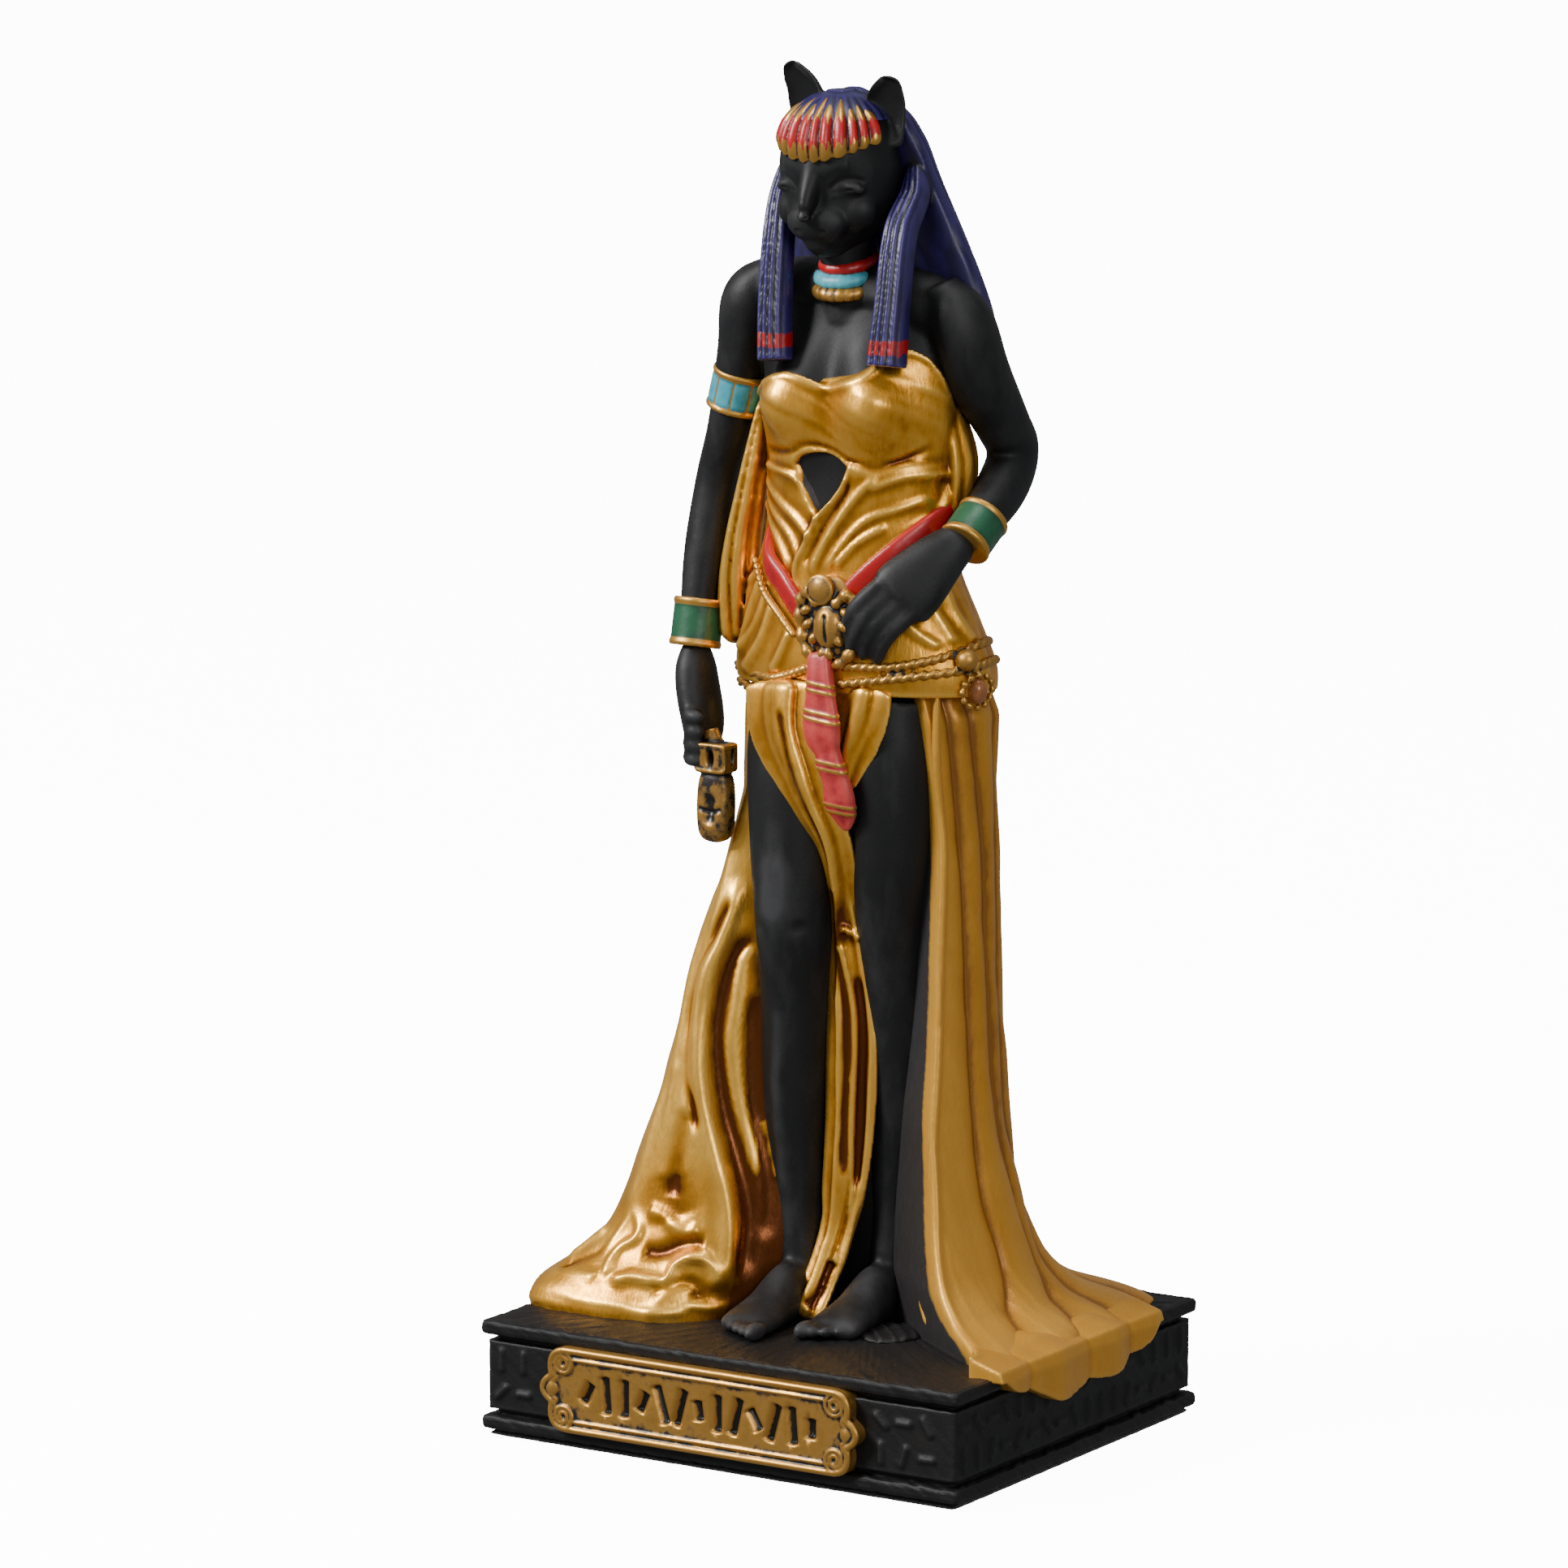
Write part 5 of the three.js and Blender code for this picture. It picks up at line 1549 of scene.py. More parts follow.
    def _opening(self, points: Array) -> Array:
        """1 where bare skin shows in the gap under the bust."""
        x, y = self.trunk.centre(points[:, 2])
        aside = turned(-90, np.degrees(np.arctan2(points[:, 1] - y, points[:, 0] - x)))
        z = points[:, 2]
        inside = ease((z - value(self.gap_low, aside) - 0.05) / 0.15)
        inside = inside * ease((value(self.gap_top, aside) - z) / 0.15)
        return inside * self._in_gap(aside)

    def build(self, paint: Gold) -> None:
        """Makes the bodice."""
        clay = Clay("robe_bodice")
        clay.column((self.low, self._top), self.trunk.centre, self._radius, 560, 240)
        for fall in self.falls:
            clay.limb(fall, around=64, along=90, closing=0.08, girth=self._pleated)
        sculpture = clay.sculpture(self.grain, 1).paint("bare", self._opening)
        sculpture.hollows(12, 0.07).finish(paint.material())

    def _pleated(self, angle: Array, rise: Array) -> Array:
        """The factor that makes long ridges on a fall of cloth."""
        return 1 + 0.26 * (np.abs(np.sin(angle * 3.5 + 0.8 * np.sin(rise * 4))) ** 0.6 - 0.7)


@dataclass
class Skirt:
    """The robe from hip to hem about one centre, with a bay in front where the legs stand."""

    x: float = 1.2
    y: float = 2.0
    low: float = -0.3
    top: float = 42.6
    # Half-width, and reach to the front and the back.
    hip: tuple[float, float, float] = (8.6, 5.6, 5.5)
    tuck: float = 0.12
    half_width: float = PLINTH_SIDE
    half_depth: float = PLINTH_FRONT
    overhang: float = 0.08
    # Bearing and how far the hem reaches there.
    reach: Table = (
        (0, 17.0), (32, 18.4), (48, 17.4), (66, 14.0), (90, 12.4), (130, 13.4), (165, 15.6), (190, 18.2),
        (205, 21.0), (212, 20.6), (222, 17.6), (232, 14.8), (300, 16.0), (322, 19.6), (340, 17.4),
        (360, 17.0),
    )
    # Height and share of the way from hip to hem, on the figure's left and right.
    spread_left: Table = ((0, 1.0), (1, 0.93), (4, 0.64), (10, 0.44), (16.4, 0.32), (25, 0.17), (34, 0.02))
    spread_right: Table = (
        (0, 1.0), (0.8, 0.86), (2, 0.54), (4.4, 0.31), (10.4, 0.14), (18.5, 0.06), (34, 0.0),
    )
    # Height and bearing of the bay's two edges.
    bay_left: Table = ((0, 230), (5, 230), (9, 227), (13, 221), (20, 217), (32, 208), (40, 204))
    bay_right: Table = (
        (0, 323.5), (3, 322), (5, 322.5), (10, 324.5), (14, 325.5), (18, 328.2), (23, 330.5), (31, 333),
        (34, 332), (38, 328.5), (41, 326),
    )
    # How far the heavy fold at the bay's left edge stands out at each height.
    left_fold: Table = (
        (0, 1.2), (1.3, 2.3), (3, 2.3), (5.5, 1.65), (10.3, 1.5), (15.4, 1.15), (21.3, 1.15), (24.9, 0.8),
        (30.2, 0.5), (36, 0),
    )
    bay_radius: float = 3.4
    bay_edge: float = 14
    bay_wall: float = 4
    # Bearings of the creases between pleats at each height.
    creases: tuple[Table, ...] = (
        ((0, 338), (0.9, 340), (4.1, 351), (8.7, 348), (13.3, 347), (22.6, 346), (31.8, 344), (42, 337)),
        ((0, 356), (3.4, 370), (8, 368), (13, 361), (22.3, 358), (31.6, 356), (42, 347)),
        ((0, 375), (5.2, 381), (8.7, 382), (12.6, 371.5), (17.3, 369), (29, 368), (42, 366)),
        ((0, 392), (5, 397), (14, 388), (28, 384), (42, 380)),
        ((0, 408), (6, 411), (16, 402), (30, 399), (42, 396)), ((0, 424), (8, 424), (20, 419), (42, 415)),
        ((0, 441), (10, 444), (24, 440), (42, 436)), ((0, 462), (10, 459), (24, 464), (42, 458)),
        ((0, 484), (12, 481), (26, 485), (42, 480)), ((0, 505), (10, 507), (24, 502), (42, 503)),
        ((0, 527), (12, 525), (28, 528), (42, 524)), ((0, 545), (9, 547), (24, 543), (42, 541)),
    )
    # Width, height, tone and line of each ridge and hollow in the cloth beside the right leg.
    # A tone above zero is painted shade, one below zero a painted highlight.
    drapery: Drapery = (
        (0.3, -0.45, 0.9, (
            (-6.3, -3.1, 27.3), (-7.2, -3.7, 24.8), (-8.2, -4.0, 21.8), (-8.6, -4.4, 19.6),
            (-8.5, -4.8, 17.1), (-8.4, -5.1, 15.3), (-7.8, -5.7, 13.8), (-7.2, -6.0, 11.7),
        )),
        (0.45, 0.22, -0.2, (
            (-7.1, -2.4, 28.4), (-8.2, -2.8, 25.5), (-8.9, -3.5, 22.7), (-9.4, -4.7, 17.3),
            (-10.2, -5.0, 14.4), (-10.9, -5.6, 11.2), (-11.5, -6.1, 8.3), (-12.4, -6.6, 5.7),
        )),
        (0.3, 0.34, -0.25, (
            (-9.1, -4.8, 16.7), (-9.5, -5.3, 13.9), (-10.0, -5.7, 11.0), (-10.7, -6.1, 8.4),
            (-11.5, -6.4, 6.6), (-12.5, -7.2, 4.6), (-13.0, -8.1, 3.3),
        )),
        (0.6, -0.25, 0.32, ((-8.2, -5.6, 13.2), (-8.5, -5.9, 11.4), (-8.7, -6.3, 9.4), (-8.8, -6.7, 7.6))),
        (1.3, -0.15, 0.22, ((-9.0, -6.2, 9.0), (-8.6, -6.7, 7.4), (-8.0, -7.0, 6.2))),
        (0.6, 0.55, -0.2, (
            (-5.8, -2.7, 28.6), (-6.8, -3.8, 24.2), (-7.4, -4.3, 22.3), (-7.7, -4.5, 20.1),
            (-7.7, -4.9, 17.9), (-7.5, -5.3, 15.7), (-7.1, -5.5, 13.6), (-6.5, -5.6, 11.7),
            (-5.8, -5.8, 9.9), (-5.2, -5.8, 8.0), (-4.8, -6.0, 5.9), (-4.7, -6.3, 3.7), (-4.9, -6.8, 1.5),
        )),
        (0.55, -0.35, 0.75, (
            (-4.7, -2.7, 25.1), (-5.5, -3.3, 24.1), (-6.1, -3.8, 22.5), (-6.5, -4.3, 20.2),
            (-6.5, -4.7, 18.0), (-6.2, -4.8, 15.4), (-5.7, -4.8, 12.9), (-4.9, -4.9, 10.8),
            (-4.2, -4.9, 8.6), (-3.8, -5.0, 6.4), (-3.9, -5.5, 3.9), (-4.2, -6.0, 2.4),
        )),
        (0.28, 0.16, -1.0, (
            (-4.5, -2.8, 24.1), (-5.3, -3.3, 23.4), (-5.5, -3.6, 22.1), (-5.5, -3.9, 19.9),
            (-5.7, -4.2, 18.0), (-5.5, -4.3, 15.8), (-5.0, -4.3, 13.6), (-4.2, -4.3, 11.1),
            (-3.6, -4.3, 8.9),
        )),
        (0.5, -0.22, 0.4, (
            (-4.5, -3.1, 21.1), (-4.6, -3.4, 18.6), (-4.5, -3.6, 16.1), (-4.2, -3.7, 13.6),
            (-3.5, -3.7, 11.0), (-3.1, -3.8, 8.9), (-3.0, -4.1, 6.7), (-3.1, -4.6, 4.8),
        )),
        (0.26, 0.12, -0.8, ((-3.8, -3.5, 12.9), (-3.2, -3.4, 11.0), (-2.7, -3.5, 8.9))),
        (0.3, 0.4, -0.3, (
            (-11.6, -6.4, 6.5), (-10.9, -7.0, 5.5), (-10.9, -7.5, 4.7), (-11.9, -7.8, 4.0),
            (-12.3, -8.5, 3.1), (-12.1, -9.3, 2.3),
        )),
        (0.38, 0.5, -0.3, (
            (-11.7, -9.0, 2.7), (-11.2, -9.3, 2.3), (-10.2, -9.0, 2.5), (-8.0, -8.6, 2.4),
            (-7.6, -8.0, 3.4), (-6.7, -7.6, 4.0), (-5.8, -7.2, 3.9), (-5.3, -7.0, 3.1), (-5.2, -7.1, 1.8),
        )),
        (0.4, 0.3, -0.15, ((-10.4, -6.9, 6.6), (-9.1, -6.9, 6.3), (-7.5, -7.1, 5.4), (-6.5, -6.9, 5.8))),
        (0.5, -0.35, 0.4, ((-10.2, -7.8, 4.0), (-8.8, -7.8, 4.2), (-7.2, -7.3, 5.0), (-6.0, -6.9, 4.8))),
        (0.45, -0.35, 0.35, ((-8.9, -8.9, 1.7), (-7.0, -8.1, 2.4), (-6.2, -7.7, 2.2), (-5.9, -7.9, 1.2))),
        (0.4, 0.25, -0.2, ((-16.2, -7.4, 2.7), (-15.0, -6.7, 3.9), (-13.7, -6.6, 4.9))),
        (0.35, 0.3, -0.25, ((-17.0, -8.5, 1.8), (-15.1, -8.9, 2.0), (-12.8, -9.4, 2.2))),
        (0.35, -0.3, 0.4, ((-16.2, -8.4, 2.4), (-14.4, -8.0, 3.0), (-13.2, -7.6, 3.6))),
        (0.26, 0.15, -0.3, (
            (-16.7, -9.3, 1.2), (-14.6, -10.1, 0.9), (-13.0, -10.2, 0.8), (-10.8, -10.1, 0.8),
            (-8.7, -9.8, 0.6), (-7.0, -8.9, 0.6), (-6.3, -8.3, 1.0), (-5.5, -7.5, 0.8), (-4.9, -6.9, 0.9),
            (-4.5, -6.4, 1.4),
        )),
    )
    crease_depth: float = 0.62
    crease_width: float = 0.62
    rim: float = 0.22
    # The share of the triangles that is kept.
    share: float = 0.6

    def _edge(self, bearing: Array) -> Array:
        """How far the plinth's edge is from the skirt's centre."""
        c, s = np.cos(np.radians(bearing)), np.sin(np.radians(bearing))
        aside = self.half_width - self.x * np.sign(c)
        along = self.half_depth - self.y * np.sign(s)
        across, ahead = np.maximum(np.abs(c), 1e-6), np.maximum(np.abs(s), 1e-6)
        return np.minimum(aside / across, along / ahead) + self.overhang

    def _sunk(self, bearing: Array, z: Array, plain: Array, spread: Array) -> Array:
        """How deep each place lies in a crease, from 0 to about 1."""
        sunk = np.zeros_like(z)
        for crease in self.creases:
            off = plain * np.radians(turned(value(crease, z), bearing))
            sunk += np.exp(-np.abs(off) / (self.crease_width * (1 + 0.8 * spread)))
        return sunk

    def _bearings(self, points: Array) -> Array:
        """Each place's bearing from the skirt's centre, from 0 to 360 degrees."""
        return np.mod(np.degrees(np.arctan2(points[:, 1] - self.y, points[:, 0] - self.x)), 360)

    def _shade(self, points: Array) -> Array:
        """Painted shade on each place: most in the creases, and in the bay, where it also stands for a dark
        wash.
        """
        bearing, z = self._bearings(points), points[:, 2]
        reach = np.hypot(points[:, 0] - self.x, points[:, 1] - self.y)
        sunk = self._sunk(bearing, z, reach, np.clip((reach - 8) / 10, 0, 1))
        from_left = turned(value(self.bay_left, z), bearing)
        inside = np.minimum(from_left, turned(bearing, value(self.bay_right, z)))
        # The cloth low beside the right leg is made darker towards the bottom.
        low_cloth = 0.24 * ease((13 - z) / 6) * hill(turned(220, bearing), 16)
        return 0.28 + 0.66 * np.minimum(sunk, 1) ** 1.3 + 0.6 * ease((inside - 2.5) / 5) + low_cloth

    def _black(self, points: Array) -> Array:
        """1 on the wall between the left leg and the panel beside it, black both as paint and as painted
        shade.
        """
        off = turned(self._bearings(points), value(self.bay_right, points[:, 2]))
        return ease((off - 0.6) / 0.8) * ease((70 - off) / 4)

    def radius(self, bearing: Array, z: Array) -> Array:
        """The cloth's distance from the centre."""
        tuck = 1 - self.tuck * np.clip((z - self.top) / 3 + 1, 0, 1)
        hip = tuck * oval(bearing, *self.hip)
        edge = self._edge(bearing)
        hem = np.minimum(value(self.reach, bearing), edge)
        leftness = np.clip((1 - np.cos(np.radians(bearing - 20))) / 1.6 - 0.1, 0, 1)
        right, left = value(self.spread_right, z), value(self.spread_left, z)
        spread = right + (left - right) * leftness
        plain = hip + (hem - hip) * spread
        sunk = self._sunk(bearing, z, plain, spread)
        right_off = turned(value(self.bay_right, z), bearing)
        ridge = hill(plain * np.radians(right_off - 1.2), 0.3)
        crease = self.crease_depth * (0.75 + 0.9 * spread) * np.minimum(sunk, 1.1)
        full = plain + 0.28 - crease + 0.26 * ridge
        c, s = np.cos(np.radians(bearing)), np.sin(np.radians(bearing))
        full += 0.09 * wave(5 * c, 5 * s, z * 0.22) + 0.2 * spread * wave(9 * c, 9 * s, z * 0.1)
        full += value(self.left_fold, z) * hill(turned(210, bearing), 14)
        full = np.minimum(full + self.rim * hill(z - 0.35, 0.35) * (1 - np.minimum(sunk, 1)), edge)
        left_inside = turned(value(self.bay_left, z), bearing) / self.bay_edge
        return full + (self.bay_radius - full) * ease(np.minimum(left_inside, -right_off / self.bay_wall))

    def centre(self, z: Array) -> tuple[Array, Array]:
        """The skirt's middle, which stays where it is."""
        return np.full_like(z, self.x), np.full_like(z, self.y)

    def _matt(self, points: Array) -> Array:
        """1 on the panel at the figure's left side, whose gold is matt, and 0 on the glossy cloth."""
        x, y = points[:, 0] - self.x, points[:, 1] - self.y
        bearing = np.degrees(np.arctan2(y, x))
        return ease((bearing + 44) / 6) * ease((75 - bearing) / 40)

    def build(self, paint: Gold) -> None:
        """Makes the skirt."""
        clay = Clay("robe_skirt")
        clay.column((self.low, self.top), self.centre, self.radius, 840, 150, crowd=1.25)
        sculpture = clay.sculpture()
        sculpture.share = self.share
        sculpture.paint("matt", self._matt)
        # The wall beside the left leg takes the bare skin's black: partly its paint, partly painted shade.
        sculpture.paint("bare", self._black)
        strokes = strokes_of(self.drapery)
        # The stored hollows hold painted shade here: the creases, the bay and the strokes' tones.
        sculpture.paint("hollow", self._shade).tint(*strokes).carve(*strokes).finish(paint.material())


@dataclass
class Folds:
    """The flaps in front of the legs, and the rolled edge of the panel beside them."""

    # Stations of x, y, height, half-width and half-depth.
    front_flap: Table = (
        (-1.3, -4.6, 42.0, 2.4, 0.7), (-1.0, -5.0, 39.0, 2.2, 0.75), (0.2, -5.2, 36.3, 1.75, 0.7),
        (1.0, -4.9, 34.2, 1.4, 0.7), (1.9, -4.1, 31.6, 1.1, 0.7), (1.9, -3.0, 28.6, 1.0, 0.75),
        (1.75, -2.4, 26.0, 0.85, 0.8), (1.85, -2.2, 23.0, 1.2, 0.8), (2.0, -2.1, 18.0, 1.55, 0.8),
        (1.85, -2.0, 13.0, 1.5, 0.8), (1.5, -2.1, 8.5, 1.3, 0.8), (1.2, -2.3, 6.0, 1.0, 0.8),
        (0.6, -3.3, 2.8, 0.95, 0.8), (-0.1, -4.5, 0.2, 1.1, 0.6),
    )
    # Width, height, tone and line of each ridge and hollow in the middle flap.
    # A tone above zero is painted shade, one below zero a painted highlight.
    drapery: Drapery = (
        (0.17, 0.25, -0.7, (
            (1.6, -3.8, 31.4), (2.1, -3.3, 29.5), (2.5, -2.9, 27.6), (2.7, -2.5, 25.6), (3.0, -2.3, 23.7),
            (3.5, -2.2, 20.0), (3.6, -2.1, 17.5), (3.45, -2.1, 14.5), (3.2, -2.1, 11.5), (2.8, -2.2, 8.3),
            (2.3, -2.6, 5.6), (1.7, -3.4, 2.4),
        )),
        (0.2, 0.25, -0.5, (
            (1.9, -3.3, 25.3), (2.0, -3.0, 23.9), (2.4, -2.7, 21.8), (2.6, -2.6, 20.2), (2.6, -2.5, 18.0),
            (2.5, -2.5, 15.4), (2.3, -2.5, 13.5), (2.4, -2.5, 8.3), (1.7, -3.2, 4.6), (1.2, -3.9, 2.5),
            (0.5, -4.8, 1.1),
        )),
        (0.16, 0.15, -0.4, (
            (1.6, -3.0, 22.0), (1.7, -3.0, 18.6), (1.6, -2.9, 16.0), (1.6, -2.8, 13.5), (1.3, -2.8, 9.5),
        )),
        (0.32, -0.35, 0.6, (
            (1.5, -3.2, 25.0), (2.1, -2.9, 21.0), (2.2, -2.8, 18.6), (2.1, -2.7, 16.0), (1.9, -2.7, 12.0),
            (1.9, -2.7, 9.3),
        )),
        (0.36, -0.35, 0.6, (
            (2.7, -2.4, 23.0), (3.1, -2.3, 20.2), (3.15, -2.3, 18.0), (3.0, -2.3, 15.4),
            (2.9, -2.2, 12.2), (2.5, -2.3, 8.5),
        )),
        (0.4, -0.3, 0.5, ((0.6, -3.2, 16.0), (0.6, -3.1, 12.0), (0.5, -3.1, 8.0), (0.3, -3.6, 5.0))),
        (0.35, -0.3, 0.5, ((1.4, -3.2, 4.0), (0.9, -4.0, 2.2), (0.3, -4.8, 1.0))),
        (0.3, 0.3, 0.5, ((1.9, -3.3, 25.9), (2.4, -2.7, 25.6), (2.9, -2.3, 25.2))),
        (0.5, -0.1, 0.5, ((1.4, -3.6, 28.5), (1.7, -3.3, 26.6), (1.6, -3.2, 24.5))),
        (0.3, -0.15, 0.4, ((-1.2, -5.7, 40.4), (-0.2, -5.9, 37.0), (1.1, -5.4, 33.4), (1.8, -3.9, 29.8))),
    )
    left_flap: Table = (
        (4.1, -3.7, 42.0, 1.8, 0.6), (3.9, -4.0, 39.8, 1.6, 0.55), (3.3, -4.1, 37.4, 1.2, 0.5),
        (2.7, -4.1, 35.0, 0.55, 0.45),
    )
    right_edge: Table = (
        (8.4, -2.0, 41.6, 0.25, 0.25), (8.3, -1.9, 37.7, 0.3, 0.3), (8.3, -1.5, 34.2, 0.3, 0.3),
        (8.6, -1.5, 30.8, 0.3, 0.3), (8.6, -1.9, 22.7, 0.32, 0.32), (8.8, -2.4, 18.2, 0.32, 0.32),
        (8.9, -3.0, 13.6, 0.32, 0.32), (8.9, -3.3, 10.2, 0.32, 0.32), (8.2, -3.1, 5.4, 0.34, 0.34),
        (8.4, -3.5, 2.7, 0.36, 0.36), (9.6, -4.5, 0.9, 0.36, 0.36),
    )
    grain: float = 0.12

    def _flapped(self, angle: Array, rise: Array) -> Array:
        """The factor that raises both edges of a flap and sinks its middle."""
        return 1 + 0.24 * np.cos(angle * 4) + 0.1 * np.cos(angle * 7 + 5 * rise)

    def _matt(self, points: Array) -> Array:
        """1 on the edge of the panel at the figure's left, whose gold is matt, and 0 on the flaps."""
        return 1.0 * (points[:, 0] > 6)

    def build(self, paint: Gold) -> None:
        """Makes the folds."""
        clay = Clay("robe_folds")
        clay.limb(self.right_edge, around=20, along=160, closing=0.03)
        clay.limb(self.front_flap, around=64, along=200, closing=0.02, girth=self._flapped)
        clay.limb(self.left_flap, around=56, along=60, closing=0.1, girth=self._flapped)
        strokes = strokes_of(self.drapery)
        sculpture = clay.sculpture(self.grain, 1).carve(*strokes).paint("matt", self._matt)
        # The strokes' tones add painted shade and painted highlights.
        sculpture.hollows(12, 0.08).tint(*strokes).finish(paint.material())


@dataclass
class Train:
    """The cloth that runs over the plinth's edge at the figure's left."""

    edge: float = PLINTH_SIDE
    depth: float = 2 * PLINTH_FRONT
    thick: float = 0.8
    # Share of the plinth's depth and how far the cloth hangs below its top there.
    drops: Table = (
        (-0.36, -0.4), (-0.3, 0.9), (-0.22, 1.7), (-0.1, 2.7), (0.04, 2.5), (0.18, 2.1), (0.26, 1.1),
        (0.31, -0.4),
    )
    flutes: float = 3
    flute: float = 0.26
    root: float = 0.6
    shoulder: float = 1.4
    recess: float = 0.8
    grain: float = 0.13

    def _place(self, turn: Array, rise: Array) -> Array:
        """Places the skin of the train: its section over the turn, front to back over the rise."""
        first, last = self.drops[0][0], self.drops[-1][0]
        share = first + (last - first) * rise
        phase = math.pi * self.flutes * rise + 0.9 * wave(rise * 4)
        flute = 2 * np.abs(np.cos(phase)) ** 0.7 - 1
        drop = np.maximum(value(self.drops, share) + self.flute * flute, self.root / 2)
        inner = (0.5 + 0.4 * np.clip(-share * 3, 0, 1)) * self.edge
        proud = self.edge + self.thick * 0.75 + self.flute * flute
        top = self.thick * (1 + 0.3 * flute)
        zero = np.zeros_like(share)
        corners = [
            (inner, zero - self.root),
            (inner, top * 1.3),
            (zero + self.edge - self.shoulder, top),
            (proud - self.flute, top * 0.4),
            (proud, zero - self.root / 2),
            (proud, -drop),
            (zero + self.edge - self.recess, -drop),
            (zero + self.edge - self.shoulder, zero - self.root),
            (inner, zero - self.root),
        ]
        marks = np.array([0, 0.08, 0.36, 0.5, 0.58, 0.74, 0.86, 0.92, 1.0])
        x, z = (np.stack([corner[k] for corner in corners], axis=1) for k in (0, 1))
        i = np.clip(np.searchsorted(marks, turn, side="right") - 1, 0, len(marks) - 2)
        t = (turn - marks[i]) / (marks[i + 1] - marks[i])
        row = np.arange(len(turn))
        across = x[row, i] + (x[row, i + 1] - x[row, i]) * t
        height = z[row, i] + (z[row, i + 1] - z[row, i]) * t
        return np.stack([across, share * self.depth, height], axis=1)

    def build(self, paint: Gold) -> None:
        """Makes the train."""
        clay = Clay("robe_train")
        clay.roll(140, 260, self._place)
        sculpture = clay.sculpture(self.grain, 3).paint("matt", lambda points: np.ones(len(points)))
        sculpture.hollows(12, 0.09).finish(paint.material())


@dataclass
class Sash:
    """The coral sash that hangs in front, with gold bands across it."""

    stations: Table = (
        (1.3, -4.75, 44.0, 0.8, 0.42), (1.6, -5.1, 41.6, 1.0, 0.46), (1.75, -5.25, 39.6, 1.3, 0.46),
        (1.95, -5.25, 38.2, 1.2, 0.46), (2.15, -5.15, 37.4, 0.98, 0.42), (2.4, -5.05, 36.2, 1.1, 0.46),
        (2.7, -4.85, 34.8, 1.2, 0.46), (3.0, -4.55, 33.4, 0.9, 0.38), (3.15, -4.3, 32.5, 0.2, 0.16),
    )
    # Heights of the gold bands.
    bands: tuple[float, ...] = (41.9, 41.45, 40.1, 39.65, 37.0, 36.55, 34.3, 33.85)
    grain: float = 0.085

    def build(self, paint: Enamel) -> None:
        """Makes the sash."""
        clay = Clay("sash")
        clay.limb(self.stations, around=72, along=220, closing=0.02, power=3.0, section=self._swollen)
        sculpture = clay.sculpture(self.grain, 1)
        sculpture.paint("bound", self._banded)
        sculpture.swell(lambda points, normals: 0.07 * self._banded(points))
        sculpture.hollows(8, 0.05).finish(paint.material())

    def _swollen(self, angle: Array, rise: Array) -> Array:
        """The factor that swells the sash between its bands."""
        return 1 + 0.12 * np.sin(rise * 26) + 0.06 * np.sin(angle * 6)

    def _banded(self, points: Array) -> Array:
        """1 on the gold bands and 0 between them."""
        lean = points[:, 2] + 0.12 * (points[:, 0] - 2)
        return sum(hill(lean - band, 0.13) for band in self.bands)


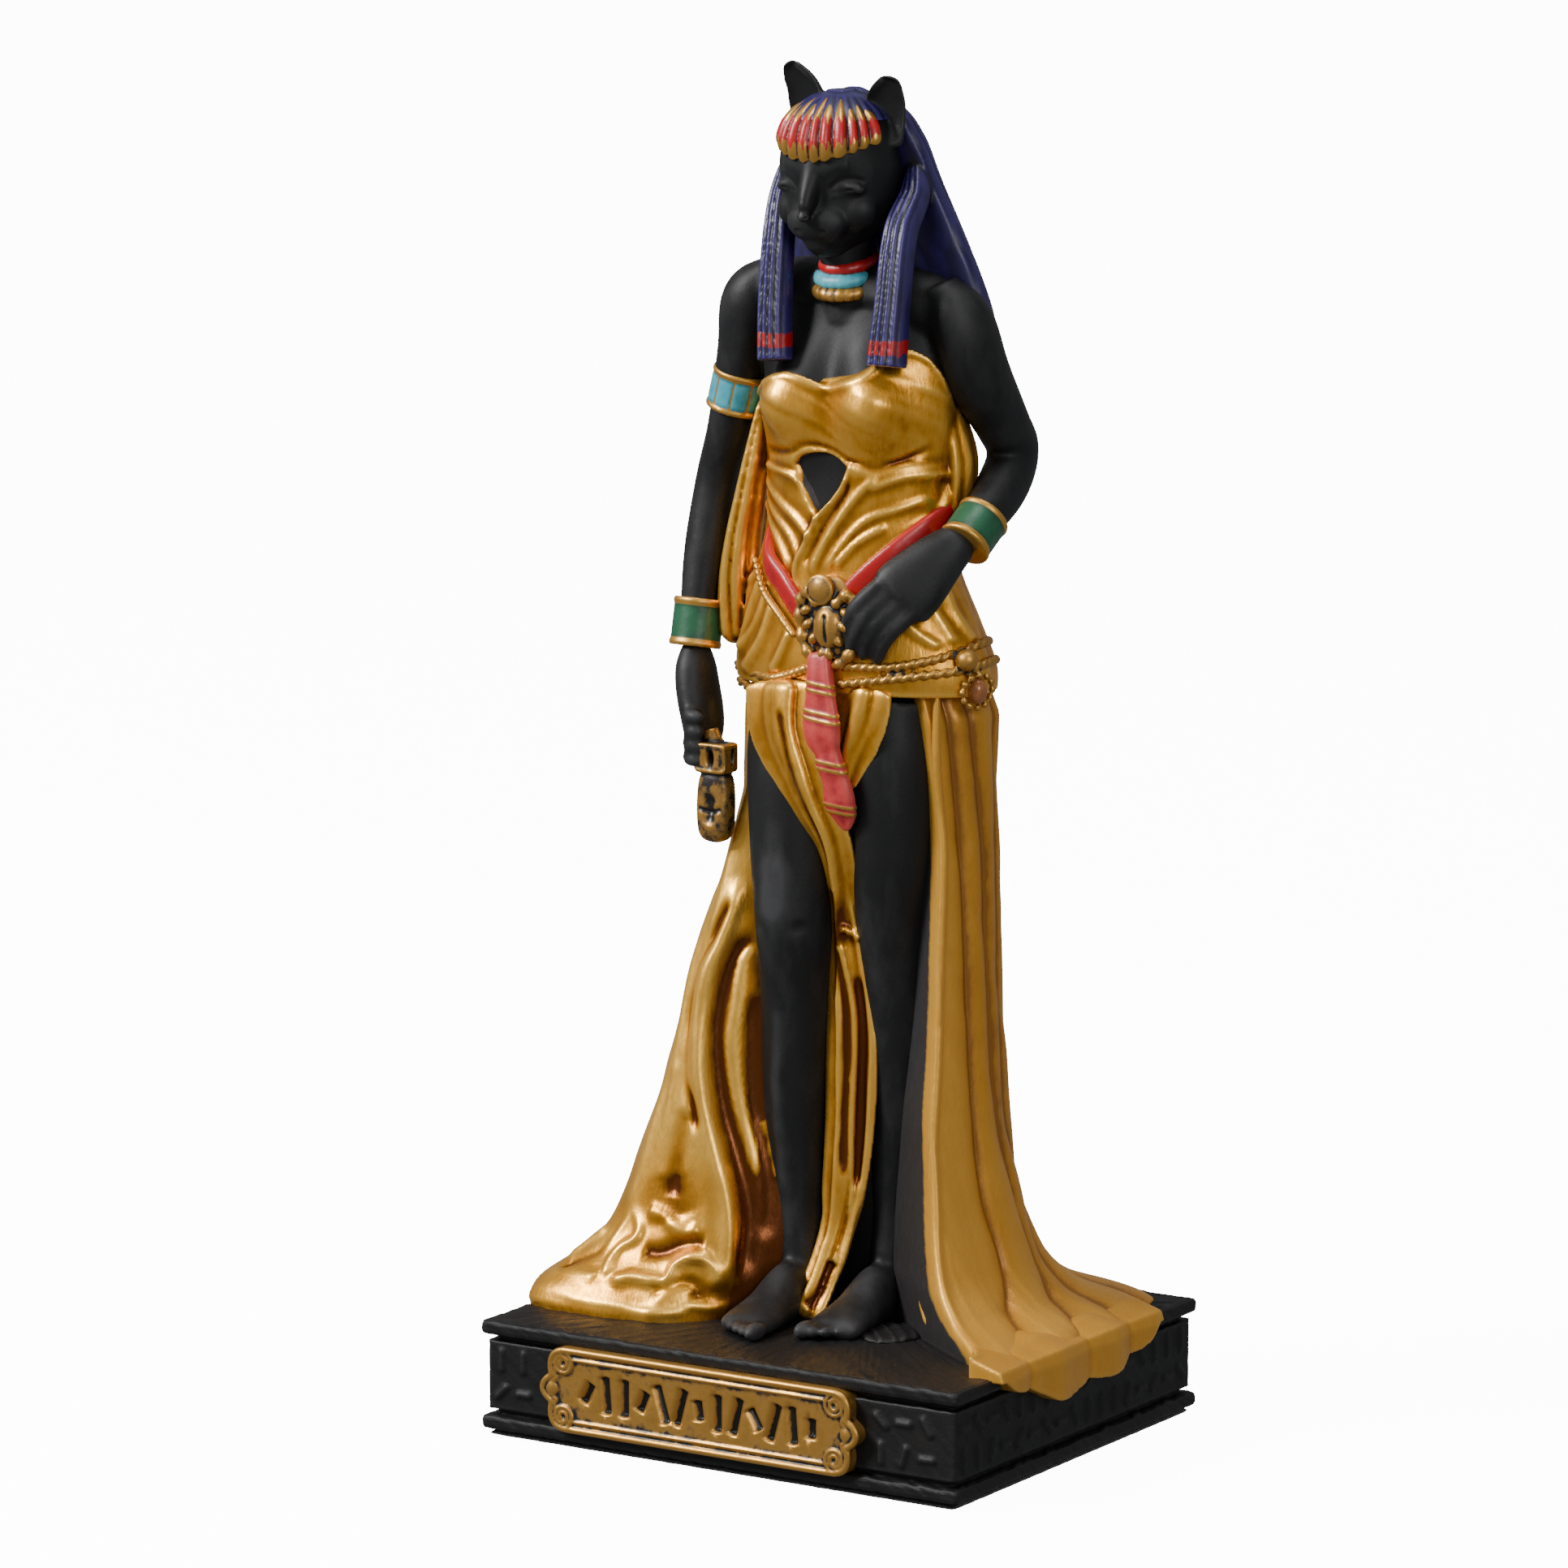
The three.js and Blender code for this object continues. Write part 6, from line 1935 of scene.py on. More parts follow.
@dataclass
class Girdle:
    """The red belt, its gold beads, the cords round the hips and a jewel on them."""

    trunk: Trunk
    # Aside, height, half-width and half-depth along each half of the belt.
    belts: tuple[Table, Table] = (
        (
            (-182, 53.6, 0.4, 0.7), (-140, 53.4, 0.4, 0.7), (-118, 52.8, 0.4, 0.72),
            (-98, 51.8, 0.4, 0.74), (-58, 49.5, 0.42, 0.76), (-37, 47.9, 0.42, 0.76),
            (-12, 45.8, 0.4, 0.7),
        ),
        (
            (14, 46.9, 0.4, 0.7), (37, 48.7, 0.42, 0.9), (58, 50.3, 0.42, 1.0), (78, 51.9, 0.4, 0.9),
            (100, 53.0, 0.4, 0.75), (140, 53.4, 0.4, 0.7), (182, 53.6, 0.4, 0.7),
        ),
    )
    # Aside and height along the row of beads, and below along each cord.
    bead_row: Table = ((-72, 48.9), (-51, 47.3), (-36, 46.2), (-20, 44.9))
    beads: int = 17
    bead: float = 0.26
    cords: tuple[Table, ...] = (
        ((-178, 42.6), (-130, 42.1), (-90, 41.8), (-45, 41.8), (-26, 42.2), (-4, 43.0)),
        ((-178, 41.6), (-130, 41.1), (-90, 40.8), (-45, 40.7), (-26, 41.0), (-2, 41.7)),
        ((16, 43.1), (46, 43.2), (69, 43.8), (95, 44.5), (135, 43.6), (182, 42.6)),
        ((14, 41.9), (50, 42.5), (77, 43.0), (98, 43.3), (135, 42.4), (182, 41.6)),
    )
    cord_radius: float = 0.32
    strings: Table = ((-42, 40.1), (-33, 40.2), (-24, 40.4), (-15, 40.7), (-7, 41.0))
    jewel: tuple[float, float] = (84, 41.6)
    jewel_beads: int = 12
    grain: float = 0.1
    gem_grain: float = 0.07

    def build(self, red: Enamel, gold: Antique, gem: Enamel) -> None:
        """Makes the belt and all that hangs on it."""
        belt = Clay("belt")
        for places in self.belts:
            belt.limb(self.trunk.band(places, 0.3), front=UP, around=36, along=110, closing=0.04, power=3.0)
        belt.sculpture(self.grain, 1).hollows(8, 0.05).finish(red.material())
        cords = Clay("hip_cords")
        for number, places in enumerate(self.cords):
            cords.rope(self.trunk.line(places, 0.24), self.cord_radius, 12 + number)
        for place in path(self.trunk.line(self.bead_row, 0.62), self.beads):
            cords.ball(tuple(place), (self.bead, self.bead, self.bead))
        for aside, z in self.strings:
            for i in range(3):
                cords.ball(self.trunk.at(aside, z - 0.5 * i, 0.2), (0.24, 0.24, 0.26))
        aside, z = self.jewel
        knot = self.trunk.at(aside - 6, 43.7, 0.75)
        cords.ball(knot, (0.75, 0.7, 0.7))
        for i in range(self.jewel_beads):
            angle = 2 * math.pi * i / self.jewel_beads
            spot = self.trunk.at(aside + 7.5 * math.cos(angle), z + 1.05 * math.sin(angle), 0.45)
            cords.ball(spot, (0.25, 0.25, 0.25))
        cords.sculpture(self.grain, 1).hollows(8, 0.06).finish(gold.material())
        stone = Clay("hip_jewel")
        stone.ball(self.trunk.at(aside, z, 0.25), (0.62, 0.6, 0.85))
        stone.sculpture(self.gem_grain, 2).hollows(6, 0.05).finish(gem.material())


@dataclass
class Clasp:
    """The winged clasp on the belly, with its disc."""

    x: float = 1.9
    y: float = -4.1
    z: float = 46.0
    # Aside, proud, height and half-sizes of its body, its disc and the beetle's back.
    lumps: Table = (
        (0, 0, 0, 1.9, 1.0, 2.9), (-0.35, 0.85, 2.0, 0.95, 0.55, 0.95), (0.15, 0.8, -0.4, 1.05, 0.62, 1.35),
    )
    # Aside, proud, height and half-thickness along a wing, from the middle.
    wing: Table = (
        (0.5, 0.85, 0.9, 0.3), (1.5, 0.7, 1.7, 0.4), (2.15, 0.35, 0.7, 0.42), (2.0, 0.4, -1.1, 0.4),
        (1.3, 0.6, -2.4, 0.36), (0.3, 0.7, -3.0, 0.28),
    )
    bumps: int = 4
    grain: float = 0.08

    def build(self, paint: Antique) -> None:
        """Makes the clasp."""
        clay = Clay("clasp")
        x, y, z = self.x, self.y, self.z
        for aside, proud, up, *size in self.lumps:
            clay.ball((x + aside, y - proud, z + up), tuple(size))
        for side in Side:
            s = side.value
            wing = [(x + a * s, y - b, z + c, half, half) for a, b, c, half in self.wing]
            clay.limb(wing, around=20, along=90, closing=0.06, girth=self._feathered)
            for i in range(self.bumps):
                place = (x + (1.5 - 0.14 * i * i) * s, y - 0.85, z + 0.6 - 0.9 * i)
                clay.ball(place, (0.42, 0.34, 0.3), (30 + 14 * i) * s)
        turns = np.linspace(0, 6.28, 25)
        rim = [(x - 0.35 + 0.95 * math.cos(a), y - 1.05, z + 2.0 + 0.95 * math.sin(a)) for a in turns]
        wings = Stroke(((x + 0.1, y - 1.3, z + 0.6), (x + 0.25, y - 1.4, z - 2.0)), 0.14, -0.22)
        collar = ((x - 1.0, y - 1.2, z + 0.6), (x + 0.1, y - 1.4, z + 0.8), (x + 1.2, y - 1.2, z + 0.55))
        marks = (wings, Stroke(collar, 0.14, -0.22), Stroke(rim, 0.12, 0.12, 0.01))
        sculpture = clay.sculpture(self.grain, 1).carve(*marks)
        sculpture.hollows(10, 0.06).finish(paint.material())

    def _feathered(self, angle: Array, rise: Array) -> Array:
        """The factor that notches a wing into feathers."""
        return 1 + 0.2 * np.sin(rise * 44)


@dataclass
class Rattle:
    """The temple rattle in the right hand: grip, block with a dark hole, and loop."""

    grip: Table = ((-8.4, -2.6, 37.8, 0.5, 0.5), (-7.9, -2.7, 36.6, 0.7, 0.7))
    block: Point = (-7.7, -2.95, 36.1)
    size: Point = (2.4, 1.75, 1.95)
    loop: Table = (
        (-7.7, -2.9, 35.3, 0.95, 0.75), (-7.7, -2.95, 34.2, 1.2, 0.85), (-7.7, -3.0, 32.6, 1.25, 0.9),
        (-7.7, -3.0, 31.2, 1.1, 0.85), (-7.7, -3.0, 30.5, 0.6, 0.5),
    )
    grain: float = 0.09

    def build(self, paint: Antique) -> None:
        """Makes the rattle."""
        clay = Clay("rattle")
        clay.limb(self.grip, around=28, along=24)
        x, y, z = self.block
        w, d, h = (0.5 * length for length in self.size)
        clay.box((x - w, y - d, z - h), (x + w, y + d, z + h), 0.22)
        clay.limb(self.loop, around=48, along=80, closing=0.12, power=3.0)
        hole = Stroke(((x - 0.35, y - d, z), (x + 0.35, y - d, z)), 0.42, -0.75, 0.4)
        side_hole = Stroke(((x + w, y - 0.1, z), (x + w, y + 0.25, z)), 0.35, -0.5, 0.4)
        corners = ((-1, -1), (1, -1), (1, 1), (-1, 1), (-1, -1))
        rim = Stroke([(x + 0.9 * i * w, y - d, z + 0.82 * j * h) for i, j in corners], 0.14, 0.1, 0.01)
        bent = ((x - 1.0, y - 0.75, 32.9), (x, y - 0.95, 32.6), (x + 1.0, y - 0.75, 32.9))
        groove = Stroke(bent, 0.16, -0.14)
        loop_hollow = Stroke(((x, y - 0.85, 34.0), (x, y - 0.95, 31.6)), 0.42, -0.3, 0.3)
        sculpture = clay.sculpture(self.grain, 2).carve(hole, side_hole, rim, loop_hollow, groove)
        sculpture.hollows(12, 0.09).finish(paint.material())


@dataclass
class Cuff:
    """A band round an arm, with a rim at each end and squares between them."""

    name: str
    start: Point
    end: Point
    radius: float
    squares: int = 0
    rims: tuple[float, ...] = (0.07, 0.93)
    grain: float = 0.085

    def _girth(self, angle: Array, rise: Array) -> Array:
        """The factor that raises the rims and the squares."""
        rim = sum(hill(rise - at, 0.055) for at in self.rims)
        lift = 0.965 + 0.05 * np.minimum(rim, 1)
        if self.squares:
            across = np.abs(np.sin(angle * self.squares / 2))
            inside = ease((rise - 0.18) / 0.06) * ease((0.82 - rise) / 0.06)
            lift = lift + 0.03 * inside * ease(across / 0.35) - 0.015 * inside
        return lift

    def _bound(self, points: Array) -> Array:
        """1 on the gold rims and between the squares."""
        start, end = np.asarray(self.start), np.asarray(self.end)
        run = end - start
        rise = ((points - start) @ run) / (run @ run)
        rims = sum(hill(rise - at, 0.085) * 1.4 for at in self.rims)
        if not self.squares:
            return np.minimum(rims, 1)
        out = points - start - rise[:, None] * run
        bars = 1 - ease(np.abs(np.sin(np.arctan2(out[:, 1], out[:, 0]) * self.squares / 2)) / 0.34)
        return np.minimum(rims + bars, 1)

    def build(self, paint: Enamel) -> None:
        """Makes the cuff."""
        clay = Clay(self.name)
        ends = ((*self.start, self.radius, self.radius), (*self.end, self.radius, self.radius))
        clay.limb(ends, around=160, along=60, girth=self._girth)
        sculpture = clay.sculpture(self.grain, 1).paint("bound", self._bound)
        sculpture.hollows(8, 0.035).finish(paint.material())


@dataclass
class Collars:
    """Three rings round the neck: red, turquoise and gold."""

    x: float = 0.65
    y: float = -0.25
    tilt: float = 12
    # Name, height, radius and half-thickness.
    rings: tuple[tuple[str, float, float, float], ...] = (
        ("collar_red", 68.4, 1.6, 0.36),
        ("collar_blue", 67.65, 1.85, 0.42),
        ("collar_gold", 66.85, 1.95, 0.42),
    )
    grain: float = 0.075

    def build(self, red: Enamel, blue: Enamel, gold: Antique) -> None:
        """Makes the rings."""
        for (name, z, radius, half), paint in zip(self.rings, (red, blue, gold)):
            clay = Clay(name)
            patterned = self._squared if paint is gold else self._corded
            clay.ring((self.x, self.y, z), radius, (half, half * 1.08), self.tilt, patterned)
            clay.sculpture(self.grain, 1).hollows(8, 0.035).finish(paint.material())

    def _corded(self, bearing: Array, angle: Array) -> Array:
        """The factor that makes a ring slightly uneven."""
        return 1 + 0.03 * np.sin(bearing * 9 + angle) + 0.02 * np.sin(bearing * 23)

    def _squared(self, bearing: Array, angle: Array) -> Array:
        """The factor that gives a ring a row of raised squares."""
        return 1 + 0.16 * (np.abs(np.sin(bearing * 11)) ** 0.5 - 0.7)


@dataclass
class Plinth:
    """The oblong plinth: two slabs, a recessed panel with rows of strokes, and uneven ground on top."""

    half_width: float = PLINTH_SIDE
    half_depth: float = PLINTH_FRONT
    corner: float = 0.35
    slab: float = 1.0
    low: float = -7.3
    groove: float = 0.35
    groove_recess: float = 0.8
    panel_recess: float = 0.35
    rounding: float = 0.3
    stroke_height: float = 0.22
    cell: float = 1.7
    # Between these places the front has no strokes, as the nameplate hides them.
    plate_range: tuple[float, float] = (-13.6, 11.8)
    crust_grain: float = 0.16
    # Place, half-width and half-depth of each lump of crust on the ground.
    lumps: Table = (
        (-8.0, -6.2, 2.6, 1.6), (-10.5, -7.4, 2.6, 1.3), (-14.0, -7.6, 2.2, 1.3), (6.6, -4.2, 1.9, 2.6),
        (7.6, -2.0, 1.6, 1.6), (0.8, -3.4, 2.2, 1.6), (3.4, 1.6, 3.0, 1.6), (-3.4, -0.4, 2.0, 2.2),
    )
    # How far each stroke leans, in radians, over and over.
    tilts: tuple[float, ...] = (0.0, 1.571, 0.9, 0.0, -0.6, 1.571, 0.35, 0.0, -0.9, 1.571)

    def _profile(self) -> list[tuple[float, float, int]]:
        """Corners of the side as inset, height and how many rows lead to it."""
        low, high = self.low, 0.0
        lower, upper = low + self.slab, high - self.slab
        return [
            *self._slab_side(low, lower, 0, 2),
            (self.groove_recess, lower + 0.04, 3),
            (self.groove_recess, lower + self.groove, 3),
            (self.panel_recess, lower + self.groove + 0.04, 3),
            (self.panel_recess, upper - self.groove - 0.04, 30),
            (self.groove_recess, upper - self.groove, 3),
            (self.groove_recess, upper - 0.04, 3),
            *self._slab_side(upper, high, 3, 3),
            (0.8, high, 4),
            (self.half_depth - 0.01, high, 16),
        ]

    def _slab_side(
        self, bottom: float, top: float, first: int, last: int
    ) -> list[tuple[float, float, int]]:
        """Corners of a slab's side with rounded edges.

        Args:
            bottom: Its lower height.
            top: Its upper height.
            first: How many rows lead to its lowest corner.
            last: How many lead to its highest.

        Returns:
            The corners as inset, height and number of rows.
        """
        edge = self.rounding
        lower = [(edge, bottom, first), (0.07, bottom + 0.1, 2), (0.0, bottom + edge, 3)]
        return [*lower, (0.0, top - edge, 5), (0.07, top - 0.1, 3), (edge, top, last)]

    def _marks(self) -> list[Stroke]:
        """Rows of short strokes on the front and on the side at the figure's left."""
        lower = self.low + self.slab + self.groove
        upper = -self.slab - self.groove
        rows = [lower + (upper - lower) * share for share in (0.27, 0.73)]
        strokes = []
        for level, z in enumerate(rows):
            for half, face, front in (
                (self.half_width, -self.half_depth + self.panel_recess, True),
                (self.half_depth, self.half_width - self.panel_recess, False),
            ):
                for i in range(int(2 * (half - 1.2) / self.cell) + 1):
                    at = -half + 1.5 + i * self.cell
                    if at > half - 1 or (front and self.plate_range[0] < at < self.plate_range[1]):
                        continue
                    tilt = self.tilts[(3 * i + 5 * level + 2 * front) % len(self.tilts)]
                    u, v = 0.7 * math.sin(tilt), 0.85 * math.cos(tilt)
                    ends = ((at - u, z - v), (at + u, z + v))
                    line = tuple((s, face, h) if front else (face, s, h) for s, h in ends)
                    strokes.append(Stroke(line, 0.2, self.stroke_height, 0.12))
        return strokes

    def _round(self, turn: Array, inset: Array) -> tuple[Array, Array]:
        """Places on a rectangle with rounded corners, drawn smaller by the inset."""
        w, d = self.half_width - inset, self.half_depth - inset
        total = 2 * (self.half_width + self.half_depth)
        s = turn * 2 * total
        sides = [2 * self.half_depth, 2 * self.half_width, 2 * self.half_depth, 2 * self.half_width]
        starts = np.concatenate([[0], np.cumsum(sides)])
        k = np.clip(np.searchsorted(starts, s, side="right") - 1, 0, 3)
        t = 2 * (s - starts[k]) / np.asarray(sides)[k] - 1
        x = np.select([k == 0, k == 1, k == 2, k == 3], [w, -t * w, -w, t * w])
        y = np.select([k == 0, k == 1, k == 2, k == 3], [t * d, d, -t * d, -d])
        over_x, over_y = np.abs(x) - (w - self.corner), np.abs(y) - (d - self.corner)
        both = (over_x > 0) & (over_y > 0)
        reach = np.maximum(np.hypot(over_x, over_y), 1e-9)
        shrink = np.where(both, np.minimum(self.corner / reach, 1), 1)
        x = np.where(both, np.sign(x) * (w - self.corner + over_x * shrink), x)
        y = np.where(both, np.sign(y) * (d - self.corner + over_y * shrink), y)
        return x, y

    def _place(self, turn: Array, rise: Array) -> Array:
        """Places the plinth's skin: round it over the turn, up its side and over its top over the rise."""
        profile = self._profile()
        rows = np.cumsum([row for _, _, row in profile])
        at = rise * rows[-1]
        inset = np.interp(at, rows, [inset for inset, _, _ in profile])
        z = np.interp(at, rows, [height for _, height, _ in profile])
        x, y = self._round(turn, inset)
        return np.stack([x, y, z], axis=1)

    def _rough(self, points: Array, normals: Array) -> Array:
        """The unevenness of the cast surface; the ground on top is the roughest."""
        x, y, z = points.T
        fine = wave(x * 1.9, y * 2.3, z * 2.1) * 0.03
        ground = (wave(x * 0.8, y * 0.9) + 0.8 * wave(y * 2.7, x * 2.2)) * 0.05
        slab = (np.abs(z) < self.slab) | (z < self.low + self.slab)
        inward = -0.035 * np.abs(wave(x * 0.9, y * 0.8, z * 1.4)) * slab
        return np.where(normals[:, 2] > 0.8, ground + fine - 0.05, np.minimum(fine, 0.0) + inward)

    def _lumpy(self, points: Array, normals: Array) -> Array:
        """The unevenness of the lumps on the ground, on their upper side."""
        return 0.09 * wave(points[:, 0] * 3.1, points[:, 1] * 2.9) * (normals[:, 2] > 0)

    def build(self, paint: Resin) -> None:
        """Makes the plinth and the ground on it."""
        clay = Clay("plinth")
        clay.roll(760, sum(row for _, _, row in self._profile()), self._place)
        edge = (self.half_width, -self.half_depth)
        chip = Stroke(((*edge, -5.2), (*edge, -4.7)), 0.4, -0.35, 0.4)
        sculpture = clay.sculpture().carve(*self._marks(), chip).swell(self._rough)
        material = paint.material()
        sculpture.hollows(10, 0.07).finish(material)
        crust = Clay("ground")
        for x, y, wide, deep in self.lumps:
            crust.ball((x, y, 0.0), (wide, deep, 0.42))
        ground = crust.sculpture(self.crust_grain, 1)
        ground.swell(self._lumpy).hollows(8, 0.05).finish(material)


@dataclass
class Nameplate:
    """The gold plate on the plinth's front, with scrolls at its ends and a row of plain strokes."""

    length: float = 24.6
    height: float = 5.8
    thick: float = 0.7
    offset: float = -0.9
    scroll: float = 1.15
    face: float = -15.9
    middle: float = -3.65
    sunk: float = 0.22
    rim: float = 0.24
    strokes: int = 13
    grain: float = 0.085

    def _outline(self, count: int, inset: float) -> list[tuple[float, float]]:
        """Places round the plate, drawn smaller by the inset."""
        rise = self.height / 2 - inset
        straight = self.length / 2 - 2 * self.scroll
        bulge = self.scroll - inset / 2
        near, far, tip = straight + bulge * 1.2, straight + bulge * 1.6, straight + bulge * 2.6
        end = [
            ((straight, -rise), (far, -rise), (near, -rise / 3)),
            ((near, -rise / 3), (tip, 0.0), (near, rise / 3)),
            ((near, rise / 3), (far, rise), (straight, rise)),
        ]
        bends = [((-straight, -rise), (0.0, -rise), (straight, -rise)), *end]
        bends += [tuple((-x, -z) for x, z in bend) for bend in bends]
        places = []
        for a, b, c in bends:
            for t in np.linspace(0, 1, count, endpoint=False):
                u, v, w = (1 - t) ** 2, 2 * t * (1 - t), t * t
                places.append((u * a[0] + v * b[0] + w * c[0], u * a[1] + v * b[1] + w * c[1]))
        return places

    def _bar(self, clay: Clay, inset: float, radius: float, y: float) -> None:
        """Adds a rim that follows the plate's outline."""
        ring = self._outline(8, inset)
        line = [(self.offset + x, y, self.middle + z, radius, radius) for x, z in [*ring, ring[0]]]
        clay.limb(line, around=14, along=900)

    def build(self, paint: Antique) -> None:
        """Makes the nameplate."""
        clay = Clay("nameplate")
        outline = np.asarray(self._outline(24, 0.1))
        outline = np.vstack([outline, outline[:1]])
        back, front = self.face + self.thick + 0.8, self.face + self.sunk

        def place(turn: Array, rise: Array) -> Array:
            at = turn * (len(outline) - 1)
            steps = np.arange(len(outline))
            x, z = np.interp(at, steps, outline[:, 0]), np.interp(at, steps, outline[:, 1])
            size = np.interp(rise, [0, 0.3, 0.6, 1], [0.01, 1, 1, 0.01])
            y = np.interp(rise, [0, 0.3, 0.6, 1], [back, back, front, front])
            return np.stack([self.offset + x * size, y, self.middle + z * size], axis=1)

        clay.roll(192, 80, place)
        self._bar(clay, 0.3, self.rim, self.face + self.rim)
        self._bar(clay, 0.85, 0.14, self.face + 0.22)
        straight = self.length / 2 - 2 * self.scroll
        for end in (-1, 1):
            for turns in (1, -1):
                clay.limb(self._spiral(straight, end, turns), around=14, along=160, closing=0.03)
            knob = (self.offset + end * (straight + 1.2), self.face + 0.28, self.middle)
            clay.ball(knob, (0.5, 0.28, 0.62))
        sculpture = clay.sculpture(self.grain, 1).carve(*self._marks(straight))
        sculpture.hollows(9, 0.05).finish(paint.material())

    def _spiral(self, straight: float, end: int, turns: int) -> list[tuple[float, ...]]:
        """Stations of one scroll.

        Args:
            straight: Half the length of the plate's straight part.
            end: -1 at the plate's left end, 1 at its right end.
            turns: 1 for the upper scroll, -1 for the lower one.

        Returns:
            Rows of x, y, z, half-width and half-depth.
        """
        stations = []
        for t in np.linspace(0, 1, 30):
            angle = turns * (4.2 * math.pi * t + 0.6)
            r = 0.85 * (1 - 0.86 * t)
            x = end * (straight + 0.35 + r * math.cos(angle))
            z = self.middle + 1.75 * turns + r * math.sin(angle)
            stations.append((self.offset + x, self.face + 0.24, z, 0.15, 0.2))
        return stations

    def _marks(self, straight: float) -> list[Stroke]:
        """The row of engraved strokes."""
        step = (2 * straight - 3.0) / (self.strokes - 1)
        marks = []
        for i in range(self.strokes):
            x = self.offset - straight + 1.5 + step * i
            long = 1.3 if i % 3 else 0.7
            lean = (0.35, -0.1, 0.0, 0.3, -0.4)[i % 5]
            y = self.face + self.sunk
            line = ((x - lean, y, self.middle - long), (x + lean, y, self.middle + long))
            marks.append(Stroke(line, 0.3, -0.5, 0.08))
        return marks


@dataclass
class FeltPad:
    """The felt under the plinth."""

    half_width: float = 17.75
    half_depth: float = 14.85
    low: float = -PLINTH_TOP
    thick: float = 0.5
    grain: float = 0.4

    def build(self, paint: Felt) -> None:
        """Makes the pad."""
        clay = Clay("felt")
        w, d = self.half_width, self.half_depth
        clay.box((-w, -d, self.low), (w, d, self.low + self.thick), 0.08)
        pad = clay.sculpture(self.grain, 1).swell(self._fuzzy)
        pad.hollows(6, 0.05).finish(paint.material(), Slot.FELT, "felt_pad")

    def _fuzzy(self, points: Array, normals: Array) -> Array:
        """Small dents in the felt."""
        return np.minimum(-0.015 * (1 + wave(points[:, 0] * 3.3, points[:, 1] * 3.7)), 0.0)


@dataclass
class Studio:
    """The pale floor, the soft lights and the camera."""

    azimuth: float = 32.62
    elevation: float = 9.72
    distance: float = 0.494
    target: Point = (-0.00441, 0.0, 0.04201)
    lens: float = 175.35
    sensor: float = 36.0
    sight: tuple[float, float] = (0.01, 20.0)
    lit: Point = (0.0, 0.0, 0.045)
    # Name, place, size and power of each lamp.
    lights: tuple[tuple[str, Point, float, float], ...] = (
        ("key", (-0.34, -0.4, 0.42), 0.22, 6.5),
        ("fill", (0.5, -0.42, 0.3), 0.26, 1.7),
        ("top", (0.05, -0.05, 0.7), 0.35, 2.2),
    )
    sky: Colour = (0.95, 0.97, 1.0, 1)
    ambient: float = 0.3
    floor: float = 6.0
    backdrop: Colour = (0.9, 0.9, 0.9, 1)
    glow: float = 14.0

    def _aim(self, thing: bpy.types.Object, place: Vector, target: Vector) -> None:
        """Sets a camera or a light at a place and turns it to a target."""
        thing.location = place
        thing.rotation_euler = (target - place).to_track_quat("-Z", "Y").to_euler()
        bpy.context.scene.collection.objects.link(thing)

    def camera(self) -> None:
        """Sets up the camera at the photograph's viewing angle."""
        a, e = math.radians(self.azimuth), math.radians(self.elevation)
        back = Vector((math.sin(a) * math.cos(e), -math.cos(a) * math.cos(e), math.sin(e)))
        data = bpy.data.cameras.new("view")
        data.lens = self.lens
        data.sensor_width = self.sensor
        data.clip_start, data.clip_end = self.sight
        view = bpy.data.objects.new("view", data)
        target = Vector(self.target)
        self._aim(view, target + back * self.distance, target)
        bpy.context.scene.camera = view

    def lamps(self) -> None:
        """Hangs the soft lamps and brightens the room."""
        target = Vector(self.lit)
        for name, place, size, power in self.lights:
            data = bpy.data.lights.new(name, "AREA")
            data.shape = "DISK"
            data.size = size
            data.energy = power
            self._aim(bpy.data.objects.new(name, data), Vector(place), target)
        world = bpy.data.worlds.new("room")
        world.use_nodes = True
        room = world.node_tree.nodes["Background"]
        room.inputs["Color"].default_value = self.sky
        room.inputs["Strength"].default_value = self.ambient
        bpy.context.scene.world = world

    def ground(self) -> None:
        """Lays the floor."""
        sheet = bmesh.new()
        bmesh.ops.create_grid(sheet, x_segments=1, y_segments=1, size=self.floor)
        mesh = mesh_from(sheet, "floor")
        paper = Shader("paper")
        look = {
            "Base Color": self.backdrop,
            "Roughness": 0.8,
            "Emission Color": self.backdrop,
            "Emission Strength": self.glow,
        }
        surface = paper.node("BsdfPrincipled", look)
        paper.node("OutputMaterial", {"Surface": surface.outputs[0]})
        mesh.materials.append(paper.material)
        floor = bpy.data.objects.new("floor", mesh)
        floor.visible_glossy = False
        floor.visible_diffuse = False
        bpy.context.scene.collection.objects.link(floor)

    def build(self) -> None:
        """Sets up everything round the figure."""
        self.camera()
        self.lamps()
        self.ground()


